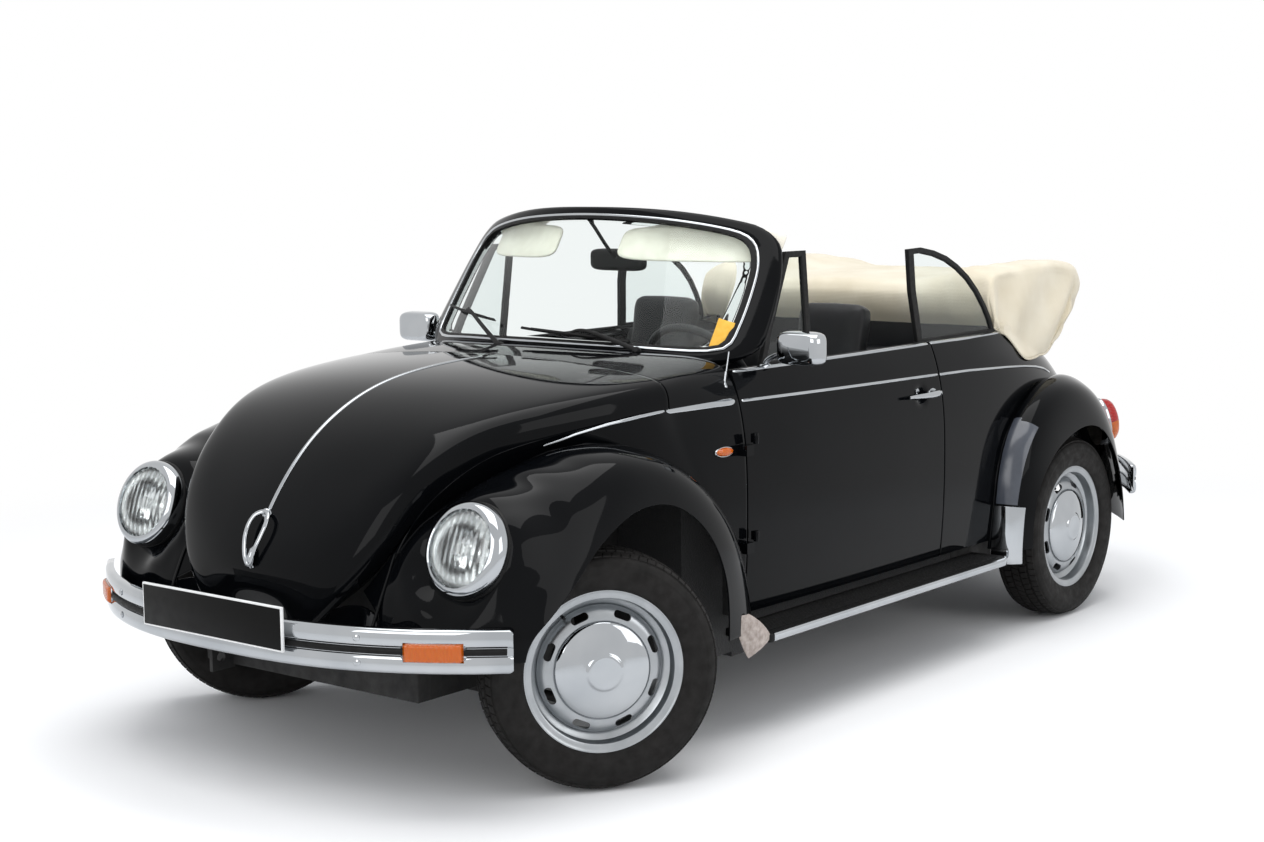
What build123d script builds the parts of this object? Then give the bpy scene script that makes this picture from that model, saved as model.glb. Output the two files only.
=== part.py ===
"""Classic two-door convertible with a rear engine, folded cloth top and steered front wheels.

The car faces -Y, its left side is +X and Z is up.  The origin is on the ground at the middle of
the car's length and width.  All lengths are millimetres.
"""
from build123d import *
import math
import os
import numpy as np

# ---------------------------------------------------------------- driving dimensions
WHEELBASE = 2420.0
FRONT_OVERHANG = 710.0
REAR_OVERHANG = 980.0
BODY_WIDTH = 1585.0
FRONT_TRACK = 1394.0
REAR_TRACK = 1349.0

TYRE_RADIUS = 305.0
TYRE_WIDTH = 157.0
RIM_SEAT_RADIUS = 190.0
RIM_WIDTH = 124.0
RIM_FLANGE = 18.0
RIM_WALL = 6.0
HUBCAP_RADIUS = 120.0
RIM_SLOTS = 8
SPINDLE_RADIUS = 20.0
BEARING_CLEARANCE = 0.08

STEER_AT_REST = 34.5
STEER_LOCK = 36.0

SHEET = 6.0
DOOR_THICKNESS = 55.0
LID_THICKNESS = 16.0
SHUT_GAP = 5.5
SEAT_GAP = 0.3

WAIST_HALF_WIDTH = 682.0
WAIST_Z = 600.0
LEAN_ABOVE_WAIST = 9.7e-7
LEAN_BELOW_WAIST = 1.8e-4
SIDE_TAPER = 17.0
BELT_Z = 982.0
BELT_STRIP_Z = 911.0
LINING_TOP_Z = BELT_Z - 4
BELT_FALL = 86.0
BELT_FALL_START = 260.0
BELT_FALL_RUN = 330.0
SILL_Z = 315.0
DOOR_FRONT_OFFSET = 630.0
DOOR_REAR_OFFSET = 758.0

TAIL_TOP_OFFSET = 225.0
TAIL_RUN = 550.0
TAIL_LOW_Z = 330.0
TAIL_RISE = 600.0
TAIL_ROUNDNESS = 3.4

FLOOR_Z = 205.0
FLOOR_THICKNESS = 14.0
RUNNING_BOARD_Z = 282.0
RUNNING_BOARD_THICKNESS = 28.0
RUNNING_BOARD_WIDTH = 150.0
BUMPER_TOP_Z = 482.0
BUMPER_HEIGHT = 108.0
BUMPER_DEPTH = 26.0
PLATE_WIDTH = 520.0
PLATE_HEIGHT = 110.0
PLATE_THICKNESS = 6.0

LAMP_RADIUS = 119.0
LAMP_X = 590.0
LAMP_Z = 646.0
LAMP_AHEAD_OF_AXLE = 411.0
LAMP_TILT = 20.0
LAMP_SEAT_DEPTH = -14.0

TOW_EYE_X = 300.0
TOW_EYE_BORE = 14.0
TOW_EYE_THICKNESS = 12.0

JACK_PAD = 60.0
JACK_PAD_HEIGHT = 15.0
JACK_PAD_STATIONS = (-700.0, 380.0)

# ---------------------------------------------------------------- derived places
LENGTH = FRONT_OVERHANG + WHEELBASE + REAR_OVERHANG
FRONT_AXLE_Y = FRONT_OVERHANG - LENGTH / 2
REAR_AXLE_Y = FRONT_AXLE_Y + WHEELBASE
AXLE_Z = TYRE_RADIUS
DOOR_FRONT_Y = FRONT_AXLE_Y + DOOR_FRONT_OFFSET
DOOR_REAR_Y = REAR_AXLE_Y - DOOR_REAR_OFFSET
SILL_HALF_WIDTH = WAIST_HALF_WIDTH - 62
CABIN_HALF_WIDTH = REAR_TRACK / 2 - TYRE_WIDTH / 2 - 36
JACK_PAD_X = SILL_HALF_WIDTH - 33
SIDES = {"left": 1, "right": -1}
GRID = 22


# ---------------------------------------------------------------- surface helpers
def spline_basis(count, t, degree=3):
    """Weights of a clamped uniform B-spline with `count` control points at t in 0..1."""
    inner = np.linspace(0, 1, count - degree + 1)
    knots = [0.0] * degree + list(inner) + [1.0] * degree
    t = min(max(t, 0.0), 1.0 - 1e-12)
    weights = [1.0 if knots[i] <= t < knots[i + 1] else 0.0 for i in range(len(knots) - 1)]
    for d in range(1, degree + 1):
        raised = []
        for i in range(len(weights) - 1):
            left = knots[i + d] - knots[i]
            right = knots[i + d + 1] - knots[i + 1]
            value = 0.0
            if left > 0:
                value += (t - knots[i]) / left * weights[i]
            if right > 0:
                value += (knots[i + d + 1] - t) / right * weights[i + 1]
            raised.append(value)
        weights = raised
    return weights


def net_grid(net, rows=GRID, columns=GRID):
    """A grid of points on the B-spline surface of a net of control points."""
    net = np.array(net, float)
    across = np.array([spline_basis(net.shape[0], u) for u in np.linspace(0, 1, rows)])
    along = np.array([spline_basis(net.shape[1], v) for v in np.linspace(0, 1, columns)])
    return np.einsum("ui,vj,ijk->uvk", across, along, net)


def smoothed(grid, rows, columns):
    """The grid moved onto the closest B-spline surface with this many control points."""
    across = np.array([spline_basis(rows, u) for u in np.linspace(0, 1, grid.shape[0])])
    along = np.array([spline_basis(columns, v) for v in np.linspace(0, 1, grid.shape[1])])
    net = np.einsum("ai,ijk,bj->abk", np.linalg.pinv(across), grid, np.linalg.pinv(along))
    return net_grid(net, *grid.shape[:2])


def net_curve(points, count):
    """Points along the B-spline curve of a list of control points."""
    points = np.array(points, float)
    weights = np.array([spline_basis(len(points), t) for t in np.linspace(0, 1, count)])
    return weights @ points


def grid_normals(grid):
    """Unit normals of a grid of points."""
    normal = np.cross(np.gradient(grid, axis=0), np.gradient(grid, axis=1))
    return normal / np.linalg.norm(normal, axis=2, keepdims=True)


def facing(grid, direction):
    """The grid with its columns ordered so that its normals point along a direction."""
    toward = grid_normals(grid).mean(axis=(0, 1)) @ np.array(direction, float)
    return grid if toward > 0 else grid[:, ::-1]


def grid_face(grid):
    """One smooth face through a grid of points."""
    return Face.make_surface_from_array_of_points(
        [[Vector(*point) for point in row] for row in grid.tolist()], tol=0.02)


def panel(grid, thickness, outward=None):
    """A closed sheet with the grid as outer face, thickened inward along its normals or a way."""
    rows, columns = [max(4, round(count * 0.6)) for count in grid.shape[:2]]
    away = grid_normals(grid) if outward is None else np.array(outward, float)
    inner = grid_face(smoothed(grid - away * thickness, rows, columns))
    outer = grid_face(grid)
    sides = []
    for edge in outer.edges():
        middle = edge @ 0.5
        partner = min(inner.edges(), key=lambda other: (other @ 0.5 - middle).length)
        sides.append(Face.make_surface_from_curves(edge, partner))
    solid = Solid(Shell([outer, inner] + sides))
    return solid if solid.volume > 0 else -solid


def mirrored(shape):
    """The same shape on the other side of the car."""
    return mirror(shape, about=Plane.YZ)


def block(x, y, z):
    """A box between the given (low, high) limits."""
    size = [abs(high - low) for low, high in (x, y, z)]
    centre = [(low + high) / 2 for low, high in (x, y, z)]
    return Pos(*centre) * Box(*size)


def rounded_block(x, y, z, radius):
    """A box between limits with every edge rounded."""
    shape = block(x, y, z)
    return fillet(shape.edges(), radius)


def rod(start, end, radius):
    """A round bar between two points."""
    start, end = Vector(*start), Vector(*end)
    plane = Plane(origin=start, z_dir=end - start)
    return extrude(plane * Circle(radius), amount=(end - start).length)


def turned(profile, turn_to=(1, 0, 0)):
    """A solid of revolution about X from (x, radius) points."""
    wire = Polyline([(x, 0, r) for x, r in profile], close=True)
    return revolve(make_face(wire), axis=Axis.X)


def save(name, shape):
    """Write one node as STEP."""
    export_step(shape, f"parts/{name}.step")


# ---------------------------------------------------------------- body side and tail shape
def tail_y(z):
    """How far back the tail reaches on the centre line at a height."""
    share = min(max((z - TAIL_LOW_Z) / TAIL_RISE, 0.0), 1.0)
    return REAR_AXLE_Y + TAIL_TOP_OFFSET + TAIL_RUN * (1 - share ** 1.6) ** (1 / 1.3)


def waist(z):
    """Widest half width of the body at a height."""
    rise = z - WAIST_Z
    lean = LEAN_ABOVE_WAIST * rise ** 3 if rise > 0 else LEAN_BELOW_WAIST * rise ** 2
    return WAIST_HALF_WIDTH - lean


def side_x(y, z):
    """Half width of the body at a place along it."""
    if y <= DOOR_REAR_Y:
        run = (DOOR_REAR_Y - y) / (DOOR_REAR_Y - DOOR_FRONT_Y)
        return waist(z) - SIDE_TAPER * run ** 3
    share = min((y - DOOR_REAR_Y) / (tail_y(z) - DOOR_REAR_Y), 1.0)
    return waist(z) * (1 - share ** TAIL_ROUNDNESS) ** (1 / TAIL_ROUNDNESS)


def tail_point(x, z):
    """A point on the tail at a distance from the centre line and a height."""
    share = min(abs(x) / waist(z), 1.0)
    reach = (1 - share ** TAIL_ROUNDNESS) ** (1 / TAIL_ROUNDNESS)
    return (x, DOOR_REAR_Y + (tail_y(z) - DOOR_REAR_Y) * reach, z)


# ---------------------------------------------------------------- front body lines
# Points are (x, distance behind the front axle, z).
HOOD_CENTRE = [(-548, 458), (-577, 512), (-583, 582), (-540, 660), (-488, 742), (-403, 838),
               (-303, 912), (-175, 972), (-25, 1008), (155, 1023), (329, 1027)]
HOOD_EDGE = [(215, -505, 470), (300, -477, 524), (364, -446, 604), (398, -407, 686),
             (426, -350, 752), (456, -276, 806), (489, -196, 846), (536, -96, 870),
             (581, 34, 890), (612, 184, 903), (631, 327, 911)]
HOOD_SHOULDER = [(0, -0.8, -0.6), (0, -1, -0.2), (0, -1, 0.1), (0, -0.85, 0.5), (0, -0.7, 0.7),
                 (0, -0.5, 0.86), (0, -0.35, 0.94), (0, -0.2, 0.98), (0, -0.1, 0.99), (0, 0, 1),
                 (0, 0, 1)]
HOOD_ROLL = 62.0
BEAD = [(380, -517, 395), (378, -509, 483), (377, -477, 550), (373, -441, 614), (395, -370, 684),
        (432, -265, 744), (476, -158, 792), (530, -50, 838), (575, 50, 848), (610, 166, 832),
        (637, 284, 776), (651, 414, 680), (656, 510, 560), (657, 556, 430), (657, 577, 297)]


def front_point(x, behind_axle, z):
    """A point given by its distance behind the front axle."""
    return (x, FRONT_AXLE_Y + behind_axle, z)


def hood_net():
    """Control net of the hood, from its lip up to the cowl and from right edge to left."""
    net = []
    for (yc, zc), (xe, ye, ze), (nx, ny, nz) in zip(HOOD_CENTRE, HOOD_EDGE, HOOD_SHOULDER):
        edge = np.array([xe - SHUT_GAP, ye, ze], float)
        lift = np.array([nx, ny, nz]) * HOOD_ROLL
        centre = np.array([0, yc, zc], float)
        shoulder = edge + lift + np.array([2, 0, 0])
        ridge = edge + lift * 1.35 - np.array([HOOD_ROLL * 0.8, 0, 0])
        far = centre + (ridge - centre) * np.array([0.68, 0.42, 0.42])
        near = centre + (ridge - centre) * np.array([0.32, 0.08, 0.08])
        half = [near, far, ridge, shoulder, edge]
        row = [point * np.array([-1, 1, 1]) for point in reversed(half)] + [centre] + half
        net.append([front_point(*point) for point in row])
    return np.array(net)


def hood_grid():
    """The hood's outer surface, from its lip up to the cowl."""
    return facing(net_grid(hood_net(), 26, 34), (0, -0.5, 1))


def quarter_front_grid():
    """Body side from the nose to the door, between the fender seam and the hood edge."""
    door_y = DOOR_FRONT_Y - SHUT_GAP
    top = [front_point(*point) for point in HOOD_EDGE[1:]]
    corner_y = top[-2][1]
    for share in (0.35, 0.7, 1.0):
        y = corner_y + (door_y - corner_y) * share
        top.append((side_x(y, BELT_STRIP_Z), y, BELT_STRIP_Z))
    bead = [front_point(*point) for point in BEAD[1:]]
    bead[-1] = (side_x(door_y, SILL_Z), door_y, SILL_Z)
    bead[-2] = (bead[-2][0], (bead[-2][1] + door_y) / 2, 380)
    rows = []
    for low, high in zip(net_curve(bead, 40), net_curve(top, 40)):
        row = []
        for v in np.linspace(0, 1, 14):
            point = low + (high - low) * v
            share = min(max(point[1] - FRONT_AXLE_Y - 250, 0) / 200, 1.0)
            point[0] += (side_x(point[1], point[2]) - point[0]) * share
            row.append(point)
        rows.append(row)
    return smoothed(facing(np.array(rows), (1, 0, 0.5)), 16, 7)


FENDER_FRONT = [
    [(450, -517, 394), (590, -500, 392), (690, -465, 390), (748, -388, 392)],
    [(440, -515, 482), (590, -491, 480), (705, -455, 474), (764, -394, 440)],
    [(440, -480, 556), (590, -458, 565), (740, -415, 545), (784, -365, 475)],
    [(440, -435, 635), (590, -410, 655), (750, -360, 620), (786, -295, 520)],
    [(450, -367, 725), (595, -345, 752), (757, -300, 705), (787, -228, 575)],
    [(480, -267, 785), (610, -255, 812), (766, -225, 762), (788, -165, 635)],
    [(520, -155, 826), (635, -145, 842), (772, -130, 795), (789, -98, 674)],
    [(565, -40, 856), (662, -35, 856), (778, -25, 812), (790, -25, 706)],
    [(610, 55, 860), (688, 60, 852), (781, 68, 806), (790, 55, 714)],
    [(642, 172, 838), (706, 183, 824), (783, 180, 780), (790, 140, 702)],
    [(665, 295, 776), (716, 310, 758), (782, 305, 715), (790, 230, 656)],
    [(674, 424, 672), (716, 434, 650), (775, 420, 615), (789, 308, 585)],
    [(678, 520, 550), (713, 522, 530), (768, 490, 500), (787, 362, 490)],
    [(679, 565, 420), (710, 562, 405), (757, 530, 390), (780, 388, 400)],
    [(679, 580, 296), (708, 578, 295), (750, 545, 294), (768, 400, 296)],
]


def lamp_axis():
    """Centre and forward direction of the left headlamp."""
    centre = np.array(front_point(LAMP_X, -LAMP_AHEAD_OF_AXLE, LAMP_Z), float)
    tilt = math.radians(LAMP_TILT)
    return centre, np.array([0, -math.cos(tilt), math.sin(tilt)])


def raise_lamp_rim(grid):
    """Pull a fender surface forward to a collar that meets the headlamp's ring."""
    centre, forward = lamp_axis()
    offset = grid - centre
    depth = offset @ forward
    radial = np.linalg.norm(offset - depth[..., None] * forward, axis=2)
    share = np.clip((LAMP_RADIUS * 1.5 - radial) / (LAMP_RADIUS * 0.5), 0, 1)
    share = share * share * (3 - 2 * share) * (depth > -LAMP_RADIUS * 1.6)
    return smoothed(grid + ((LAMP_SEAT_DEPTH - depth) * share)[..., None] * forward, 24, 13)


def fender_front_grid(rows=44, columns=20):
    """Outer surface of the left front fender, from seam to wheel opening."""
    net = []
    for bead, row in zip(BEAD, FENDER_FRONT):
        start = (bead[0] + SEAT_GAP, bead[1], bead[2])
        net.append([front_point(*point) for point in [start] + row])
    return net_grid(net, rows, columns)


FENDER_REAR_SEAM = [(-444, 288), (-441, 400), (-436, 520), (-392, 625), (-318, 700), (-200, 762),
                    (-60, 799), (80, 805), (210, 777), (320, 717), (400, 630), (448, 530),
                    (478, 420), (492, 300)]
FENDER_REAR = [
    [(688, -446, 288), (722, -446, 288), (762, -425, 288), (784, -365, 288)],
    [(690, -444, 400), (724, -442, 400), (765, -420, 400), (786, -364, 400)],
    [(692, -440, 520), (730, -434, 520), (772, -404, 512), (789, -335, 490)],
    [(692, -402, 632), (735, -394, 634), (778, -362, 612), (791, -275, 556)],
    [(686, -330, 716), (736, -322, 720), (783, -290, 690), (792, -210, 604)],
    [(676, -207, 785), (732, -200, 790), (786, -180, 745), (792, -130, 634)],
    [(662, -62, 826), (724, -60, 826), (786, -55, 770), (792, -45, 655)],
    [(646, 82, 830), (714, 82, 806), (785, 62, 755), (792, 35, 655)],
    [(628, 213, 796), (700, 205, 762), (780, 165, 705), (791, 112, 634)],
    [(606, 325, 733), (684, 300, 703), (775, 238, 632), (790, 172, 592)],
    [(588, 405, 643), (664, 380, 628), (768, 288, 548), (789, 230, 522)],
    [(575, 452, 540), (648, 430, 530), (760, 322, 465), (787, 274, 438)],
    [(566, 484, 425), (634, 464, 420), (754, 345, 385), (784, 303, 352)],
    [(560, 498, 300), (626, 478, 296), (750, 352, 286), (782, 312, 285)],
]


def fender_rear_grid(rows=44, columns=20):
    """Outer surface of the left rear fender, from seam to wheel opening."""
    net = []
    for (behind, z), row in zip(FENDER_REAR_SEAM, FENDER_REAR):
        y = REAR_AXLE_Y + behind
        start = (side_x(y, z) + SEAT_GAP, y, z)
        net.append([start] + [(x, REAR_AXLE_Y + dy, zz) for x, dy, zz in row])
    return net_grid(net, rows, columns)


def belt_top(y):
    """Height of the body's top edge beside and behind the doors."""
    behind = min(max(y - REAR_AXLE_Y + BELT_FALL_START, 0.0) / BELT_FALL_RUN, 1.0)
    return BELT_Z - BELT_FALL * behind * behind * (3 - 2 * behind)


def side_grid(y_from, y_to, z_from, z_to, rows=18, columns=18):
    """A patch of the left body side between stations and heights."""
    grid = []
    for y in np.linspace(y_from, y_to, rows):
        top = z_to(y) if callable(z_to) else z_to
        grid.append([(side_x(y, z), y, z) for z in np.linspace(z_from, top, columns)])
    return np.array(grid)


# ---------------------------------------------------------------- windscreen and cowl lines
SCREEN_BASE_OFFSET = 530.0
SCREEN_BASE_Z = 1046.0
SCREEN_SLOPE = 0.63
SCREEN_WRAP = 165.0
SCREEN_HALF_WIDTH = 550.0
FRAME_DEPTH = 30.0
FRAME_SIDE = [(634, 1003), (632, 1095), (620, 1190), (600, 1285), (560, 1362)]
FRAME_CENTRE_Z = [1003, 1105, 1210, 1320, 1430]
GLASS_OUTLINE = [(0, 1046), (300, 1041), (480, 1033), (545, 1044), (556, 1095), (553, 1190),
                 (540, 1270), (505, 1330), (430, 1362), (250, 1390), (0, 1402)]
GLASS_THICKNESS = 6.0
COWL_BACK = [(0, -826, 1040), (200, -803, 1037), (400, -745, 1030), (560, -722, 1016),
             (610, -721, 985)]


def screen_y(x, z):
    """Where the windscreen's outer surface lies along the car."""
    wrap = (x / SCREEN_HALF_WIDTH) ** 2
    slope = SCREEN_SLOPE + 0.10 * wrap
    return FRONT_AXLE_Y + SCREEN_BASE_OFFSET + slope * (z - SCREEN_BASE_Z) + SCREEN_WRAP * wrap


def screen_grid(setback=0.0):
    """The windscreen surface out to the edges of its frame."""
    side = net_curve(FRAME_SIDE, 16)
    centre = np.interp(np.linspace(0, 1, 16), np.linspace(0, 1, 5), FRAME_CENTRE_Z)
    grid = []
    for (x_side, z_side), z_centre in zip(side, centre):
        row = []
        for v in np.linspace(-1, 1, 31):
            x = x_side * v
            z = z_centre + (z_side - z_centre) * abs(v) ** 2.6
            row.append((x, screen_y(x, z) + setback, z))
        grid.append(row)
    return facing(np.array(grid), (0, -1, 0.3))


def glass_prism(inset=0.0):
    """A bar through the frame with the outline of the glass, less an inset all round."""
    middle = (GLASS_OUTLINE[0][1] + GLASS_OUTLINE[-1][1]) / 2
    half = []
    for x, z in GLASS_OUTLINE:
        half.append((x * (1 - inset / SCREEN_HALF_WIDTH), z + math.copysign(inset, middle - z)))
    outline = half + [(-x, z) for x, z in reversed(half[1:-1])]
    face = make_face(Spline(*[(x, 0, z) for x, z in outline], periodic=True))
    return extrude(Pos(0, FRONT_AXLE_Y + 300, 0) * face, amount=900, dir=(0, 1, 0))


def cowl_net():
    """Control net of the panel between the hood and the windscreen."""
    front = hood_net()[-1] + np.array([0, SHUT_GAP, 0])
    door_y = DOOR_FRONT_Y - SHUT_GAP
    corner = (side_x(door_y, BELT_STRIP_Z), door_y, BELT_STRIP_Z + SEAT_GAP)
    half = [np.array(point, float) for point in COWL_BACK + [corner]]
    back = [point * np.array([-1, 1, 1]) for point in reversed(half[1:])] + half
    front[0][2] = front[-1][2] = BELT_STRIP_Z + SEAT_GAP
    middle = (front + np.array(back)) / 2
    middle[:, 2] += 3
    return np.array([front, middle, middle, back])


# ---------------------------------------------------------------- tail lines
LID_HALF_WIDTH = 330.0
LID_TOP_Z = 893.0
LID_BOTTOM_Z = 425.0
APRON_LOW_Z = 330.0


def tail_section(z, x_end, count):
    """Evenly spaced points round the body at one height, from the door to near the centre."""
    power = 2 / TAIL_ROUNDNESS
    w = waist(z)
    angle = np.linspace(0, math.acos((x_end / w) ** (1 / power)), 400)
    x = w * np.cos(angle) ** power
    y = DOOR_REAR_Y + (tail_y(z) - DOOR_REAR_Y) * np.sin(angle) ** power
    length = np.concatenate([[0], np.cumsum(np.hypot(np.diff(x), np.diff(y)))])
    even = np.linspace(0, length[-1], count)
    return np.column_stack([np.interp(even, length, x), np.interp(even, length, y)])


def quarter_rear_grid(rows=46, columns=16):
    """Left body side from the door round to the engine lid, from the sill to the belt."""
    x_end = LID_HALF_WIDTH + SHUT_GAP
    guide = tail_section(LID_TOP_Z, x_end, rows)
    tops = [min(belt_top(y), belt_top(y) if y < REAR_AXLE_Y else LID_TOP_Z) for x, y in guide]
    grid = []
    for v in np.linspace(0, 1, columns):
        line = []
        for i in range(rows):
            z = SILL_Z + (tops[i] - SILL_Z) * v
            x, y = tail_section(z, x_end, rows)[i]
            line.append((x, y, z))
        grid.append(line)
    return smoothed(facing(np.array(grid), (1, 0.3, 0)), 20, 8)


def tail_grid(x_half, z_low, z_high, rows=20, columns=24):
    """A patch of the tail across the centre line."""
    heights = np.linspace(z_low, z_high, rows)
    across = np.linspace(-x_half, x_half, columns)
    return facing(np.array([[tail_point(x, z) for x in across] for z in heights]), (0, 1, 0.5))


# ---------------------------------------------------------------- pieces
HOOD_HINGE = (FRONT_AXLE_Y + 341.0, 1036.0)
ENGINE_LID_HINGE = (tail_y(LID_TOP_Z) - 4.0, 903.0)
LID_HINGE_X = 240.0
LID_HINGE_LENGTH = 36.0
LID_HINGE_RADIUS = 5.0


def lid_hinge(side, y, z, x_low, x_high):
    """Part of a lid hinge's barrel."""
    return rod((side * x_low, y, z), (side * x_high, y, z), LID_HINGE_RADIUS)


def lid_hinge_notch(side, y, z):
    """Room in a fixed panel for the moving half of a lid's hinge."""
    x_low, x_high = LID_HINGE_X - LID_HINGE_LENGTH - SHUT_GAP, LID_HINGE_X + SEAT_GAP
    return block((side * x_low, side * x_high), (y - 24, y + 24), (z - 40, z + 12))


def hood_panel():
    """The hood's pressed panel."""
    return panel(hood_grid(), LID_THICKNESS)


def make_hood(pressing):
    """Front lid over the luggage well, with its hinge halves."""
    hood = pressing
    y, z = HOOD_HINGE
    for side in SIDES.values():
        hood += lid_hinge(side, y, z, LID_HINGE_X - LID_HINGE_LENGTH, LID_HINGE_X)
        hood += block((side * (LID_HINGE_X - LID_HINGE_LENGTH), side * LID_HINGE_X),
                      (y - 30, y), (z - 16, z))
    return hood


def make_quarter_front(pressing):
    """Left body side between hood, front fender and door, clear of the hood."""
    return panel(quarter_front_grid(), SHEET) - Pos(SHUT_GAP, 0, 0) * pressing


def make_cowl(quarter):
    """Panel between the hood and the windscreen, with its halves of the hood's hinges."""
    cowl = panel(facing(net_grid(cowl_net(), 12, 34), (0, -0.5, 1)), SHEET)
    cowl = cowl - screen_slab()
    y, z = HOOD_HINGE
    for side in SIDES.values():
        cowl -= Pos(0, 0, SEAT_GAP) * (quarter if side > 0 else mirrored(quarter))
        cowl -= lid_hinge_notch(side, y, z)
        cowl += lid_hinge(side, y, z, LID_HINGE_X + SEAT_GAP, LID_HINGE_X + LID_HINGE_LENGTH)
        cowl += block((side * (LID_HINGE_X + SEAT_GAP), side * (LID_HINGE_X + LID_HINGE_LENGTH)),
                      (y, y + 26), (z - 13, z))
    return cowl


def screen_slab():
    """The whole thickness of the windscreen and its frame, with a seat gap on both sides."""
    return panel(screen_grid(-SEAT_GAP * 1.3), FRAME_DEPTH + SEAT_GAP * 2)


def make_windscreen_frame():
    """Painted frame around the windscreen, with its header."""
    foot = block((-700, 700), (-900, -300), (900, BELT_Z + SHUT_GAP))
    return panel(screen_grid(), FRAME_DEPTH) - glass_prism() - foot


def make_windscreen_glass():
    """Curved glass, set in the middle of the frame's depth."""
    return panel(screen_grid(FRAME_DEPTH * 0.4), GLASS_THICKNESS) & glass_prism(SEAT_GAP)


def lamp_rod(radius, back, front):
    """A round bar on the left headlamp's axis between two depths."""
    centre, forward = lamp_axis()
    return rod(centre + forward * back, centre + forward * front, radius)


def make_fender_front(quarter):
    """Left front fender with the round seat of its headlamp."""
    surface = facing(raise_lamp_rim(fender_front_grid()), (1, 0, 0.5))
    return panel(surface, SHEET) - lamp_rod(LAMP_RADIUS + SEAT_GAP, -200, 60) - quarter


def make_headlamp():
    """Left headlamp: bucket, bezel ring and domed lens."""
    seat = LAMP_SEAT_DEPTH + SEAT_GAP
    profile = [(-110, 0), (-110, 60), (-80, 90), (-55, LAMP_RADIUS), (seat, LAMP_RADIUS),
               (seat + 16, LAMP_RADIUS - 3), (seat + 26, LAMP_RADIUS - 14), (seat + 27, 97),
               (seat + 38, 60), (seat + 43, 0)]
    centre, forward = lamp_axis()
    plane = Plane(origin=Vector(*centre), x_dir=Vector(*forward), z_dir=(1, 0, 0))
    return plane.location * turned(profile)


TAIL_LAMP = (668.0, 372.0, 622.0)
TAIL_LAMP_AIM = 28.0


def tail_lamp_shape(grow=0.0):
    """The left tail lamp's barrel: an upright oval across its line of sight."""
    oval = Ellipse(52 + grow, 84 + grow)
    barrel = extrude(oval, amount=46 + grow, both=True)
    turn = Rot(0, 0, -TAIL_LAMP_AIM) * Rot(-78, 0, 0)
    x, behind, z = TAIL_LAMP
    return Pos(x, REAR_AXLE_Y + behind, z) * turn * barrel


def make_tail_lamp():
    """Left tail lamp with rounded lens edges."""
    lamp = tail_lamp_shape()
    return fillet(lamp.edges(), 14)


def make_fender_rear(quarter):
    """Left rear fender with the seat of its lamp."""
    surface = facing(fender_rear_grid(), (1, 0, 0.5))
    return panel(surface, SHEET) - tail_lamp_shape(SEAT_GAP) - quarter


def rear_arch():
    """The wheel opening in the rear quarter panel, a little inside the fender's seam."""
    seam = [(y, z - SHEET * 2) for y, z in net_curve(FENDER_REAR_SEAM, 12)]
    points = [(0, REAR_AXLE_Y + y, z) for y, z in seam]
    low = [(0, REAR_AXLE_Y + seam[i][0], SILL_Z - 80) for i in (-1, 0)]
    foot = Polyline(points[-1], low[0], low[1], points[0])
    outline = make_face(Spline(*points).edges() + foot.edges())
    return extrude(Pos(250, 0, 0) * outline, amount=600, dir=(1, 0, 0))


def make_quarter_rear():
    """Left rear quarter panel with its wheel opening."""
    return panel(quarter_rear_grid(), SHEET) - rear_arch()


def make_engine_lid():
    """Lid over the engine bay, with its hinge halves."""
    lid = panel(tail_grid(LID_HALF_WIDTH, LID_BOTTOM_Z, LID_TOP_Z), LID_THICKNESS)
    y, z = ENGINE_LID_HINGE
    for side in SIDES.values():
        lid += lid_hinge(side, y, z, LID_HINGE_X - LID_HINGE_LENGTH, LID_HINGE_X)
        lid += block((side * (LID_HINGE_X - LID_HINGE_LENGTH), side * LID_HINGE_X),
                     (y, y + 16), (z - 20, z))
    return lid


def make_rear_apron():
    """Fixed panel below the engine lid."""
    x_half = LID_HALF_WIDTH + SHUT_GAP - SEAT_GAP * 5
    return panel(tail_grid(x_half, APRON_LOW_Z, LID_BOTTOM_Z - SHUT_GAP, 6), SHEET)


APRON_TOP = [(0, -548, 452), (110, -541, 452), (205, -512, 462), (290, -480, 508),
             (374, -509, 477)]
APRON_FOOT = [(0, -520, 330), (110, -518, 330), (205, -510, 330), (290, -500, 330),
              (376, -495, 340)]


def make_front_apron(pressing):
    """Panel below the hood's lip, behind the bumper, clear of the hood."""
    rows = []
    for half in (APRON_FOOT, APRON_TOP):
        left = [np.array(front_point(*point), float) for point in half]
        row = [point * np.array([-1, 1, 1]) for point in reversed(left[1:])] + left
        rows.append(net_curve(row, 30))
    grid = np.array([rows[0] + (rows[1] - rows[0]) * v for v in np.linspace(0, 1, 8)])
    apron = panel(facing(grid, (0, -1, 0)), SHEET)
    for drop in (0, 3, SHUT_GAP):
        apron -= Pos(0, 0, -drop) * pressing
    return apron


DECK_FRONT_Y = 1150.0


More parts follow.
